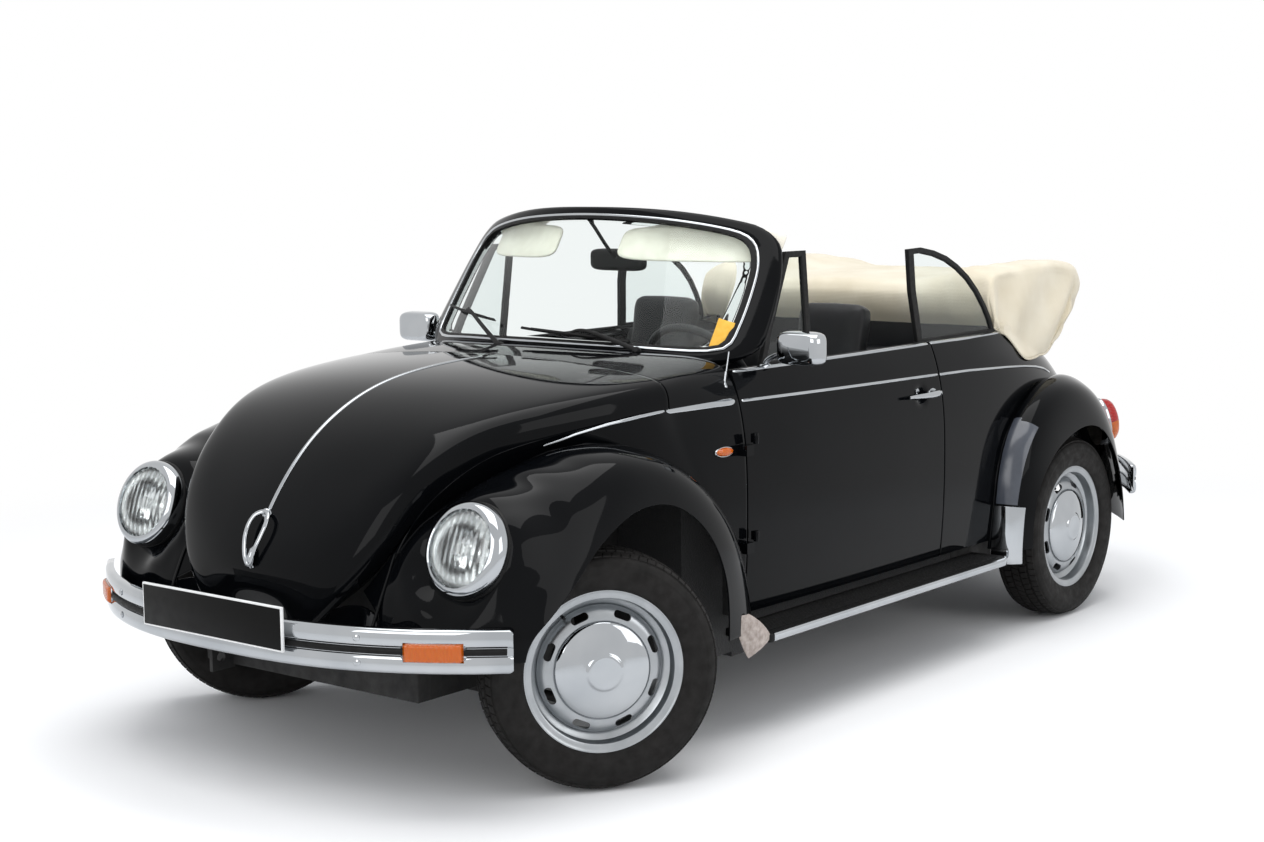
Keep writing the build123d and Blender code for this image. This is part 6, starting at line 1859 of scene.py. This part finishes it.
pitch = 2 * math.pi * 301 / TREAD_PITCHES
tread_parts = [carcass_local]
for row, (x, width, radius, lean, slant) in enumerate(
        ((-56, 19, 290.6, -0.38, -2), (-29, 23, 297.2, -0.05, 3), (0, 24, 297.9, 0, -3),
         (29, 23, 297.2, 0.05, 3), (56, 19, 290.6, 0.38, -2))):
    row_places = []
    for i in range(TREAD_PITCHES):
        a = 2 * math.pi * (i + 0.5 * (row % 2)) / TREAD_PITCHES
        out = (math.sin(lean), math.cos(lean) * math.cos(a), math.cos(lean) * math.sin(a))
        row_places.append(((x, radius * math.cos(a), radius * math.sin(a)), (1, 0, 0), out))
    block = tread_block(width, pitch - 3.0, 6.7, slant)
    tread_parts.append(repeated("tread_row", block, row_places, "tyre"))
tyre_local = joined("tyre_local", tread_parts)
print("tyre triangles:", sum(len(p.vertices) - 2 for p in tyre_local.data.polygons))

# %% Wheels in place
FRONT_TURN, HALF_TURN = math.radians(-34.5), math.pi
WHEELS = {"front_left": ((682.77, -1390.83, 305), FRONT_TURN),
          "front_right": ((-682.77, -1299.17, 305), HALF_TURN + FRONT_TURN),
          "rear_left": ((674.5, REAR_AXLE, 305), 0.0),
          "rear_right": ((-674.5, REAR_AXLE, 305), HALF_TURN)}


def placed_copy(source, name, place):
    """A copy of a local piece, moved into place in its mesh."""
    mesh = source.data.copy()
    mesh.transform(place)
    piece = bpy.data.objects.new(name, mesh)
    bpy.context.scene.collection.objects.link(piece)
    return piece


for label, (centre, turn) in WHEELS.items():
    place = moved(centre) @ Matrix.Rotation(turn, 4, "Z")
    body = "wheel_" + label
    settle(placed_copy(rim_local, "wheel_rim_" + label, place), body, "wheel_silver",
           "rim_" + label)
    settle(placed_copy(cap_local, "hubcap_" + label, place), body, "chrome")
    settle(placed_copy(valve, "tyre_valve_" + label, place), body, "rubber")
    settle(placed_copy(tyre_local, "tyre_tread_" + label, place), body, "tyre_rubber",
           "tyre_" + label)
for piece in (rim_local, cap_local, valve, tyre_local):
    bpy.data.objects.remove(piece)
print("wheels placed:", len(WHEELS))

# %% [markdown]
# ## Folded top
# The cloth top is folded down in a thick bundle behind the rear seat. The outer cloth is one
# sheet: it comes up the front of the bundle, lies over the folded bows, turns down over the
# back, and hangs as a flap at each side, held by a stud near the window. Its folds run from that
# stud. The sheet is drawn as a grid with its own UV map in metres, so that the weave follows it.

# %% Canvas
def make_canvas():
    """Coated cotton canvas: a plain weave of threads 2.4 mm apart, coarse enough to show."""
    material, tree, shader = new_material("cream_canvas", Sheen_Weight=0.25, Sheen_Roughness=0.5)
    cloth = add_node(tree, "ShaderNodeUVMap", {"uv_map": "weave"}).outputs[0]
    threads = []
    for axis in "XY":
        wave = add_node(tree, "ShaderNodeTexWave", {"wave_type": "BANDS", "bands_direction": axis,
                                                    "Scale": 1000 / 2.4 / 20 * math.pi,
                                                    "Distortion": 0.6, "Detail": 1.0},
                        {"Vector": cloth})
        threads.append(wave.outputs["Fac"])
    woven = add_node(tree, "ShaderNodeMath", {"operation": "MULTIPLY"},
                     {0: threads[0], 1: threads[1]}).outputs[0]
    soil = noise_of(tree, 5.0, 4.0)
    shade = ramp_of(tree, soil, 0.35, 0.75, linear("#E9E1CE"), linear("#D8CDB5"))
    thread = ramp_of(tree, woven, 0.0, 1.0, (0.86, 0.85, 0.82, 1), (1, 1, 1, 1))
    colour = add_node(tree, "ShaderNodeMix",
                      {"data_type": "RGBA", "blend_type": "MULTIPLY", 0: 1.0},
                      {6: shade, 7: thread}).outputs[2]
    tree.links.new(colour, shader.inputs["Base Color"])
    tree.links.new(spread(tree, noise_of(tree, 40.0), 0.8, 0.95), shader.inputs["Roughness"])
    bump_to(tree, shader, woven, 0.0007, 0.6)
    return material


materials["canvas"] = make_canvas()
SECTION = [(800, 992), (765, 1040), (752, 1085), (760, 1130), (785, 1170), (840, 1190),
           (980, 1196), (1120, 1199), (1300, 1200), (1430, 1194), (1520, 1178), (1570, 1155),
           (1592, 1118), (1580, 1085), (1545, 1040), (1500, 1005), (1470, 985), (1400, 945),
           (1340, 915)]
HEM = [(800, 990), (775, 1000), (768, 998), (780, 990), (815, 972), (860, 940), (893, 902),
       (930, 884), (1000, 880), (1075, 882), (1135, 888), (1190, 925), (1225, 960), (1240, 975),
       (1250, 980), (1245, 975), (1235, 968), (1190, 930), (1150, 905)]
TOP_HALF, TOP_CORNER, TOP_FRONT, TOP_REAR = 585.0, 225.0, 752.0, 1592.0


def along_table(table, count):
    """Evenly spaced points on a smooth curve through a table."""
    table = np.array(table, float)
    t = np.arange(len(table))
    slope = np.gradient(table, axis=0)
    out = []
    for s in np.linspace(0, len(table) - 1, count):
        i = min(int(s), len(table) - 2)
        f = s - i
        out.append(table[i] * (2 * f ** 3 - 3 * f ** 2 + 1) + slope[i] * (f ** 3 - 2 * f ** 2 + f)
                   + table[i + 1] * (3 * f ** 2 - 2 * f ** 3) + slope[i + 1] * (f ** 3 - f ** 2))
    return np.array(out)


def top_reach(x):
    """How far back the folded top reaches at a distance from the centre line."""
    over = max(abs(x) - (TOP_HALF - TOP_CORNER), 0.0)
    return TOP_REAR - (TOP_CORNER - math.sqrt(TOP_CORNER ** 2 - min(over, TOP_CORNER) ** 2))


def crease(x, y, z, seed):
    """Soft folds of a few millimetres, the same at each run."""
    place = Vector((x * 0.004 + seed, y * 0.006, z * 0.006))
    fine = Vector((x * 0.013 + seed, y * 0.011, z * 0.017))
    return noise.noise(place) * 1.0 + noise.noise(fine) * 0.45


def canvas_grid(rows=190, shrink=0.0, flap=True):
    """Grid of the cloth: rows from the front up and over to the back, columns across the car."""
    section = along_table(SECTION, rows)
    hem = along_table(HEM, rows)
    tops = np.linspace(-1, 1, 121)
    drops = np.linspace(0, 1, 26)[1:] if flap else []
    grid = []
    for i, ((y0, z0), (hy, hz)) in enumerate(zip(section, hem)):
        row = []
        high = min(max((z0 - 1100) / 90, 0), 1)
        for t in tops:
            x = (TOP_HALF - shrink) * math.copysign(1 - (1 - abs(t)) ** 1.15, t)
            reach = (top_reach(x) - shrink - TOP_FRONT) / (TOP_REAR - TOP_FRONT)
            y = TOP_FRONT + (y0 - TOP_FRONT) * reach
            ear = min(max((abs(x) - 250) / 260, 0.0), 1.0)
            ear = ear * ear * (3 - 2 * ear)
            edge = max(abs(t) - 0.86, 0) / 0.14
            z = z0 - 40 * high * (1 - ear) - 26 * high * edge ** 2.4
            row.append((x, y, z))
        if flap:
            _, y_end, z_end = row[-1]
            sides = []
            for s in drops:
                x = TOP_HALF + 17 * math.sin(min(s * 1.4, 1) * math.pi / 2)
                y = y_end + (hy - y_end) * s
                z = z_end + (hz - z_end) * s
                sides.append((x, y, z))
            row = [(-x, y, z) for x, y, z in reversed(sides)] + row + sides
        grid.append(row)
    return np.array(grid)


def folded_cloth():
    """The grid with its folds, kept outside the body's sides."""
    grid = canvas_grid()
    rows, columns = grid.shape[:2]
    normals = grid_normals(grid)
    if normals[rows // 2, columns // 2][2] < 0:
        normals = -normals
    for i in range(rows):
        u = i / (rows - 1)
        for j in range(columns):
            x, y, z = grid[i, j]
            deep = min(j, columns - 1 - j)
            s = 1 - min(deep / 25, 1.0)
            swing = crease(x, y, z, 3.7)
            if deep < 25:
                fan = math.sin(2 * math.pi * (5.2 * u + 0.55 * s) + 0.8 * math.copysign(1, x))
                size = math.sin(math.pi * min(s * 0.93 + 0.05, 1.0)) ** 0.8
                push = 8.5 * fan * size + 7 * swing * size
            else:
                corner = min(max((abs(x) - 330) / 230, 0), 1)
                pleat = math.sin(x * 0.045 + 2.2 * noise.noise(Vector((x * 0.01, y * 0.008, 9))))
                push = (3.5 + 5.5 * corner) * swing + (1.0 + 3.0 * corner) * pleat
                push -= 2.0
            grid[i, j] += normals[i, j] * push
            if abs(grid[i, j][0]) > 545 and y > 800:
                bottom = belt_top(y) + 25
                if z < bottom:
                    least = side_x(y, min(z, 978)) + 5 + 2.0 * (1 - s)
                    grid[i, j][0] = math.copysign(max(abs(grid[i, j][0]), least), x)
    return grid


def cloth_piece(name, grid, material):
    """A sheet of cloth from a grid, with a UV map in metres along its rows and columns."""
    rows, columns = grid.shape[:2]
    piece = new_piece(name, grid.reshape(-1, 3), grid_faces(rows, columns), material)
    down = np.zeros((rows, columns))
    down[1:] = np.cumsum(np.linalg.norm(np.diff(grid, axis=0), axis=2), axis=0)
    over = np.zeros((rows, columns))
    over[:, 1:] = np.cumsum(np.linalg.norm(np.diff(grid, axis=1), axis=2), axis=1)
    over -= over[:, columns // 2][:, None]
    uv = np.dstack([over, down]).reshape(-1, 2) * MM
    layer = piece.data.uv_layers.new(name="weave")
    index = np.zeros(len(piece.data.loops), int)
    piece.data.loops.foreach_get("vertex_index", index)
    layer.data.foreach_set("uv", uv[index].ravel())
    return piece


grid = folded_cloth()
cloth = cloth_piece("top_canvas", grid, "canvas")
if cloth.data.polygons[len(cloth.data.polygons) // 2].normal.z < 0:
    cloth.data.flip_normals()
add_modifier(cloth, "SOLIDIFY", thickness=3 * MM, offset=-1)
settle(cloth, "body", "cloth")
for label, column in (("left", -1), ("right", 0)):
    line = grid[4:-4, column]
    welt = swept("top_hem_" + label, line[::2], circle_section(3.4, 8), "canvas",
                 (1 if column else -1, 0, 0))
    welt.data.uv_layers.new(name="weave")
    settle(welt, "body", "cloth")
span = np.linalg.norm(np.diff(grid, axis=1), axis=2).sum(axis=1).mean() / 1000
run = np.linalg.norm(np.diff(grid, axis=0), axis=2).sum(axis=0).mean() / 1000
print("cloth runs", round(run, 2), "m over the bundle and", round(span, 2), "m across")

# %% Bundle under the cloth
inner = canvas_grid(60, 22.0, False)
inner = inner[:, ::3]
inner[..., 2] -= 16 * np.clip((inner[..., 2] - 1050) / 80, 0, 1)
inner[:20, :, 1] += 18
rows, columns = inner.shape[:2]
closed_faces = grid_faces(rows, columns, True)
closed_faces += [tuple(i * columns for i in range(rows)),
                 tuple(i * columns + columns - 1 for i in reversed(range(rows)))]
bundle = recalculate(new_piece("top_bundle", inner.reshape(-1, 3), closed_faces, "canvas"))
bundle.data.uv_layers.new(name="weave")
settle(bundle, "body", "cloth", "folded_top")
print("bundle triangles:", len(bundle.data.polygons) * 2)

# %% [markdown]
# ## Seats
# A front seat is a steel frame with foam and a black vinyl cover, its head support grown out of
# the back. Foam swells the cover between its seams. To get that, a plain block is remeshed into
# an even net, blown up a little as cloth by air pressure, and its seams are pressed in after.

# %% Blowing up a pad
def outline_block(name, outline, half_depth, edge):
    """A block of an outline (x, z), extruded in Y, with rounded edges."""
    count = len(outline)
    points = [(x, y, z) for y in (-half_depth, half_depth) for x, z in outline]
    faces = [tuple(range(count)), tuple(range(2 * count - 1, count - 1, -1))]
    faces += [(i, count + i, count + (i + 1) % count, (i + 1) % count) for i in range(count)]
    piece = recalculate(new_piece(name, points, faces, "vinyl"))
    add_modifier(piece, "BEVEL", width=edge * MM, segments=4, limit_method="ANGLE",
                 angle_limit=math.radians(60))
    return piece


def evaluated(piece):
    """The piece's mesh with its modifiers applied."""
    bpy.context.view_layer.update()
    return bpy.data.meshes.new_from_object(piece.evaluated_get(
        bpy.context.evaluated_depsgraph_get()))


def blown_up(piece, voxel, most, pressure=4.0):
    """Remesh a block evenly and swell it by cloth pressure, no point further than a limit."""
    add_modifier(piece, "REMESH", mode="VOXEL", voxel_size=voxel * MM)
    piece.data = evaluated(piece)
    piece.modifiers.clear()
    before = np.zeros(len(piece.data.vertices) * 3)
    piece.data.vertices.foreach_get("co", before)
    cloth_mod = piece.modifiers.new("swell", "CLOTH")
    cloth_mod.settings.use_pressure = True
    cloth_mod.settings.uniform_pressure_force = pressure
    cloth_mod.settings.effector_weights.gravity = 0.0
    cloth_mod.settings.quality = 4
    cloth_mod.point_cache.frame_end = 20
    for number in range(1, 21):
        bpy.context.scene.frame_set(number)
    swollen = evaluated(piece)
    after = np.zeros_like(before)
    swollen.vertices.foreach_get("co", after)
    move = (after - before).reshape(-1, 3)
    size = np.linalg.norm(move, axis=1, keepdims=True)
    move *= np.minimum(1.0, most * MM / np.maximum(size, 1e-9))
    piece.modifiers.clear()
    piece.data.vertices.foreach_set("co", (before.reshape(-1, 3) + move).ravel())
    bpy.context.scene.frame_set(1)
    return piece


def seamed(piece, depth_at):
    """Press seams in: depth_at gives how deep (mm) at each point, against its normal."""
    mesh = piece.data
    count = len(mesh.vertices)
    points, normals = np.zeros(count * 3), np.zeros(count * 3)
    mesh.vertices.foreach_get("co", points)
    mesh.vertices.foreach_get("normal", normals)
    points, normals = points.reshape(-1, 3), normals.reshape(-1, 3)
    depth = depth_at(points / MM, normals)
    points -= normals * (depth * MM)[:, None]
    mesh.vertices.foreach_set("co", points.ravel())
    mesh.update()
    return piece


def groove(distance, width, depth):
    """Depth of a seam at a distance from its line."""
    return depth * np.exp(-(distance / width) ** 2)


def finish_pad(piece, place, slot="seat_cover"):
    piece.data.transform(place)
    piece.data.polygons.foreach_set("use_smooth", [True] * len(piece.data.polygons))
    add_modifier(piece, "SUBSURF", levels=1, render_levels=1)
    settle(piece, "body", slot)
    return piece


# %% Front seats
BACK_HALF = [(206, -40), (208, 40), (206, 200), (200, 330), (186, 385), (160, 420), (138, 450),
             (130, 500), (128, 600), (118, 634), (92, 646), (0, 648)]
SEAT_X = 336
back_outline = list(BACK_HALF) + [(-x, z) for x, z in reversed(BACK_HALF[:-1])]


def back_seams(points, normals):
    """Two upright seams and one across under the head support, on the front face."""
    x, y, z = points.T
    front = np.clip(normals[:, 1] * -2, 0, 1)
    inside = z < 385
    depth = groove(np.abs(np.abs(x) - 128), 5, 5.0) * front * inside
    depth += groove(z - 388, 6, 6.0) * front
    for k in (-76, -25, 25, 76):
        depth += groove(x - k, 6, 2.6) * front * inside * (z > 20)
    depth += groove(np.abs(y) - 34, 3.5, 2.0) * (np.abs(normals[:, 1]) < 0.6)
    return depth


def cushion_seams(points, normals):
    """A border seam and five sewn channels across the cushion's top."""
    x, y, z = points.T
    top = np.clip(normals[:, 2] * 2, 0, 1)
    depth = groove(np.abs(x) - 150, 6, 5.0) * top
    for k in np.arange(-170, 171, 68):
        depth += groove(y - k, 7, 3.0) * top * (np.abs(x) < 150)
    depth += groove(z - 42, 4, 2.4) * (np.abs(normals[:, 2]) < 0.6)
    return depth


for label, side in (("left", 1), ("right", -1)):
    back = blown_up(outline_block("seat_back_" + label, back_outline, 35, 22), 9, 11)
    back_place = moved((side * SEAT_X, 95, 480)) @ rotated(-12, "X")
    finish_pad(seamed(back, back_seams), back_place)
    cushion = block_piece("seat_cushion_" + label, (-216, -242, -60), (216, 242, 60), "vinyl",
                          34, 5)
    cushion = blown_up(cushion, 9, 12)
    finish_pad(seamed(cushion, cushion_seams),
               moved((side * SEAT_X, -75, 427)))
    base = block_piece("seat_base_" + label, (side * 336 - 170, -260, 222),
                       (side * 336 + 170, 140, 372), "wax", 8)
    settle(base, "body", "underbody")
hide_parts("front_seats")
print("front seats done")

# %% Rear seat
def bench_seams(points, normals):
    """Upright seams across the bench, and a border."""
    x = points[:, 0]
    face = np.clip(np.maximum(normals[:, 2], -normals[:, 1]) * 2, 0, 1)
    depth = groove(np.abs(x) - 30, 6, 5.0) * face
    for k in np.arange(100, 500, 66):
        depth += groove(np.abs(x) - k, 7, 3.0) * face
    return depth


bench = block_piece("rear_seat_cushion", (-505, -142, -66), (505, 142, 66), "vinyl", 34, 5)
bench = blown_up(bench, 11, 12)
finish_pad(seamed(bench, bench_seams), moved((0, 645, 452)))
bench_back = block_piece("rear_seat_back", (-505, -33, -48), (505, 33, 388), "vinyl", 26, 5)
bench_back = blown_up(bench_back, 11, 11)
finish_pad(seamed(bench_back, bench_seams), moved((0, 756, 540))
           @ rotated(-7, "X"))
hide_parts("rear_seat")
print("rear seat done")

# %% [markdown]
# ## Dashboard and steering wheel
# The dashboard is a padded moulding that fills the width under the windscreen, with one large
# round dial ahead of the driver. The steering wheel has a thin rim and four flat spokes, and its
# hub stands on the column's shroud.

# %% Dashboard
rows = []
for x in np.linspace(-532, 532, 80):
    front = max(-788, screen_y(x, 985) + 34)
    brow = 6 * math.exp(-((x - 336) / 120) ** 2)
    section = [(front, 962), (front + 4, 974), (front + 16, 981), (-720, 984 + brow * 0.5),
               (-668, 983 + brow), (-650, 979 + brow), (-642, 970 + brow), (-641, 958),
               (-648, 948), (-658, 938), (-661, 900), (-663, 850), (-668, 815), (-682, 803),
               (-710, 800), (-760, 802), (front + 2, 850)]
    section = [(max(y, front), z) for y, z in section]
    rows.append([(x, y, z) for y, z in section])
rows = np.array(rows)
count = rows.shape[1]
faces = grid_faces(len(rows), count, False, True)
faces += [tuple(range(count)), tuple(range(len(rows) * count - 1, (len(rows) - 1) * count - 1, -1))]
pad = recalculate(new_piece("dashboard_pad", rows.reshape(-1, 3), faces, "dash_vinyl"))
pad.data.set_sharp_from_angle(angle=math.radians(50))
settle(pad, "body", "seat_cover", "dashboard")
facing_driver = rotated(90, "Z")
dial = turned("dial_rim", [(-6, 60), (3, 60), (5, 57), (4, 53), (0, 51), (0, 0), (-6, 0)], "chrome",
              moved((336, -662, 898)) @ facing_driver, 64)
dial_face = turned("dial_face", [(0, 52), (1.2, 51), (1.2, 0), (0, 0)], "plate",
                   moved((336, -661.5, 898)) @ facing_driver, 64)
mark = block_piece("mark", (-0.8, -4, 0), (0.8, 4, 0.8), "white_rim", 0.2, 1)
marks = []
for i in range(21):
    a = math.radians(215 - 12.5 * i)
    ray = np.array([math.cos(a), 0, math.sin(a)])
    marks.append((np.array([336, -660.2, 898]) + ray * 44, np.cross((0, 1, 0), ray), (0, 1, 0)))
ticks = repeated("dial_ticks", mark, marks, "white_rim")
needle = block_piece("needle", (334.8, -659.6, 866), (337.2, -658.4, 906), "amber", 0.4, 1)
for piece in (dial, dial_face, ticks, needle):
    settle(piece, "body", "chrome" if piece is dial else "rubber")
lid = block_piece("glovebox_lid", (-470, -664, 830), (-170, -656, 925), "dash_vinyl", 4)
settle(lid, "body", "seat_cover")
slat = block_piece("slat", (-1.6, -24, -2), (1.6, 24, 2.4), "rubber", 0.8, 1)
slats = repeated("radio_grille_slats", slat, [((x, -661, 880), (1, 0, 0), (0, 1, 0))
                                              for x in np.arange(-60, 101, 7)], "rubber")
settle(slats, "body", "rubber")
knob_profile = [(-4, 7), (4, 7), (8, 10), (15, 10), (17, 8), (17, 0), (-4, 0)]
for i, (x, z) in enumerate(((150, 905), (150, 860), (190, 830), (240, 822), (430, 880))):
    place = moved((x, -662, z)) @ facing_driver
    knob = turned("dash_knob_%d" % i, knob_profile, "rubber", place, 20)
    settle(knob, "body", "rubber")
print("dial ticks:", len(marks))

# %% Steering wheel
wheel_axis = Vector((0, math.cos(math.radians(30)), math.sin(math.radians(30))))
wheel_place = moved((336, -490, 930)) @ Matrix(
    ((1, 0, 0), wheel_axis.cross(Vector((1, 0, 0))), wheel_axis)).transposed().to_4x4()
ring_path = [(177 * math.cos(a), 177 * math.sin(a), 0)
             for a in np.linspace(0, 2 * math.pi, 96, endpoint=False)]
section = [(11.5 * math.cos(a), 11.5 * math.sin(a)) for a in np.linspace(0, 2 * math.pi, 16,
                                                                         endpoint=False)]
ring = swept("rim", ring_path, section, "dash_vinyl", (0, 0, 1), True)
parts = [ring]
for angle in (-22, 22, 158, 202):
    a = math.radians(angle)
    path = [(r * math.cos(a), r * math.sin(a), z) for r, z in
            ((30, -12), (70, -11), (110, -9), (150, -5), (172, -1))]
    parts.append(swept("spoke", net_curve(path, 14), [(-11, -4), (11, -4), (13, 0), (11, 4),
                                                      (-11, 4), (-13, 0)], "dash_vinyl",
                       (0, 0, 1)))
lift = rotated(-90, "Y")
parts.append(turned("hub", [(-44, 0), (-44, 40), (-30, 45), (-12, 46), (-3, 44), (2, 38), (5, 26),
                            (5, 0)], "dash_vinyl", lift, 48))
parts.append(block_piece("horn_pad", (-62, -26, -14), (62, 26, 4), "dash_vinyl", 7, 4))
wheel_piece = joined("steering_wheel_assembly", parts)
wheel_piece.data.transform(wheel_place)
settle(wheel_piece, "steering_wheel", "rubber", "steering_wheel")
column = turned("steering_column_shroud", [(-300, 0), (-300, 27), (-120, 29), (-60, 34), (-50, 34),
                                           (-46, 28), (-46, 0)], "dash_vinyl",
                wheel_place @ lift, 40)
settle(column, "body", "rubber")
for side in (-1, 1):
    stem = swept("column_lever_" + ("left" if side > 0 else "right"),
                 [wheel_place @ (Vector(p) * MM) / MM for p in
                  ((side * 25, 0, -75), (side * 70, 0, -78), (side * 120, -4, -66),
                   (side * 150, -6, -58))], circle_section(4.5, 10), "rubber", wheel_axis)
    settle(stem, "body", "rubber")
print("steering wheel is", round(2 * (177 + 11.5)), "mm across")

# %% [markdown]
# ## Door cards, tail lamps and the engine lid
# The inner face of a door is a vinyl card with an armrest and a crank. The tail lamps are upright
# ovals of coloured plastic in a bright rim. The engine lid has rows of louvres pressed in it,
# which let cooling air out: one louvre is modelled, and repeated over the lid.

# %% Door cards
card_grid = np.array([[(side_x(y, z) - 52.6, y, z) for z in steps(20, 345, 955)]
                      for y in steps(30, DOOR_FRONT + 30, DOOR_REAR - GAP - 26)])
door_card = sheet_metal("door_card_left", card_grid, 3.5, "vinyl",
                        edge=1.5)
both_sides(door_card, "door", "seat_cover")
arm_path = [(side_x(y, 640) - 78, y, z) for y, z in ((-330, 648), (-250, 660), (-120, 664),
                                                     (20, 664), (120, 655))]
armrest = swept("door_armrest_left", net_curve(arm_path, 24),
                [(-26, -20), (26, -24), (26, 22), (8, 27), (-18, 24), (-28, 12)], "vinyl")
both_sides(armrest, "door", "seat_cover")
crank_at = Vector((side_x(-250, 560) - 60, -250, 560))
crank = turned("crank_boss", [(-12, 0), (-12, 15), (3, 17), (5, 0)], "chrome",
               Matrix.Translation(crank_at * MM), 24)
handle_bar = swept("crank_arm", [tuple(crank_at + Vector(p)) for p in
                                 ((-10, 0, 0), (-14, 20, 22), (-15, 40, 52), (-14, 50, 74))],
                   circle_section(7, 10, 0.6), "chrome", (1, 0, 0))
both_sides(joined("window_crank_left", [crank, handle_bar]), "door", "chrome")

# %% Tail lamps
tail_turn = (moved((668, 1447, 622)) @ rotated(-28, "Z") @ rotated(-78, "X"))
spin_to_z = rotated(-90, "Y")
socket = turned("tail_lamp_rim_left", [(-44, 0), (-44, 50), (-14, 53), (-8, 55.5), (-4, 54.5),
                                       (-4, 51), (-12, 47), (-12, 0)], "chrome",
                tail_turn @ spin_to_z, 64)
socket.data.transform(tail_turn.inverted())
socket.data.transform(Matrix.Diagonal((0.95, 1.55, 1.0, 1.0)))
socket.data.transform(tail_turn)
left, right = both_sides(socket, "body", "chrome")
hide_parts("tail_lamps")
for part, colour, angles in (("amber", "amber", (0, math.pi)), ("red", "red", (math.pi,
                                                                            2 * math.pi))):
    profile = [(-8, 49), (0, 50.5), (12, 50), (25, 47), (34, 42), (40, 34), (44, 20), (45, 0.5)]
    points, spread_angles = [], np.linspace(*angles, 40)
    for height, radius in profile:
        points += [(radius * 0.95 * math.cos(a), radius * 1.55 * math.sin(a), height)
                   for a in spread_angles]
    faces = grid_faces(len(profile), 40)
    lens = new_piece("tail_lamp_%s_left" % part, points, faces, colour)
    recalculate(lens)
    add_modifier(lens, "SOLIDIFY", thickness=2.5 * MM, offset=0)
    lens.data.transform(tail_turn)
    both_sides(lens, "body", "tail_lens")
print("tail lamps done")

# %% Louvres, lid handle and plate lamp
def louvre():
    """One louvre: a short hood of sheet, open below, about its middle."""
    points = []
    for s in np.linspace(-1, 1, 9):
        width = 45 * s
        rise = 6.5 * (1 - abs(s) ** 4)
        points += [(width, -5, -0.5), (width, -3, rise * 0.75), (width, 2, rise),
                   (width, 5, rise * 0.9), (width, 5, -0.5)]
    faces = grid_faces(9, 5, False, True)
    return recalculate(new_piece("louvre", points, faces, "enamel"))


louvre_places = []
for bank in (-165, -55, 55, 165):
    for z in np.arange(700, 812, 16):
        x0, y0, _ = tail_point(bank, z)
        out = np.cross(np.array(tail_point(bank + 2, z)) - tail_point(bank - 2, z),
                       np.array(tail_point(bank, z + 2)) - tail_point(bank, z - 2))
        out = -out if out[1] < 0 else out
        louvre_places.append(((x0, y0, z), (1, 0, 0) if out[1] > 0 else (-1, 0, 0), out))
louvres = repeated("engine_lid_louvres", louvre(), louvre_places, "enamel")
settle(louvres, "engine_lid", "body_paint")
y0 = tail_y(470)
lid_handle = swept("engine_lid_handle", [(x, tail_point(x, 470)[1] + out, 470) for x, out in
                                         ((-38, 0), (-30, 14), (0, 18), (30, 14), (38, 0))],
                   circle_section(7, 12), "chrome")
settle(lid_handle, "engine_lid", "chrome")
lamp_body = block_piece("plate_lamp", (-48, tail_y(590) - 14, 566), (48, tail_y(590) + 26, 604),
                        "enamel", 12, 5)
settle(lamp_body, "engine_lid", "body_paint")
rear_plate = moved((0, tail_y(512) + 13, 512)) @ rotated(24, "X")
settle(block_piece("rear_plate_rim", (-260, -3, -55), (260, 3, 55), "white_rim", 1.2, 2,
                   rear_plate), "engine_lid", "underbody")
settle(block_piece("rear_plate_face", (-255.5, 2, -50.5), (255.5, 4, 50.5), "plate", 0.7, 2,
                   rear_plate), "engine_lid", "underbody")
print("louvres:", len(louvre_places))

# %% [markdown]
# ## Mechanical parts
# What is left of the frame's own solids shows only below and behind: the floor, the axles, the
# engine. Their shapes stay, and each takes the finish that it has on a car of some years.

# %% Finishes for the frame's own solids
FINISHES = {"floor_pan": "carpet", "front_inner": "wax", "rear_inner": "wax",
            "door_hinges": "enamel", "engine": "cast_iron", "exhaust": "galvanised",
            "front_axle": "wax", "rear_axle": "cast_iron", "knuckle_left": "cast_iron",
            "knuckle_right": "cast_iron"}
for node, finish in FINISHES.items():
    thing = bpy.data.objects[node]
    thing.data.materials.clear()
    thing.data.materials.append(materials[finish])
print("solids dressed:", len(FINISHES))

# %% [markdown]
# ## Yellow card
# A yellow paper card leans behind the windscreen, a plain slip with no printing.

# %% Card
lean = [(502, -672, 1046), (545, -648, 1036), (550, -612, 1108), (508, -632, 1122)]
grid = np.array([[np.array(lean[0]) * (1 - u) * (1 - v) + np.array(lean[1]) * u * (1 - v)
                  + np.array(lean[2]) * u * v + np.array(lean[3]) * (1 - u) * v
                  + np.array((0, -3.0, 0)) * math.sin(math.pi * u) for u in np.linspace(0, 1, 9)]
                 for v in np.linspace(0, 1, 12)])
settle(sheet_metal("windscreen_card", facing(grid, (0, -1, 0)), 0.8, "card", edge=0.2), "body",
       "padding")
print("card placed")
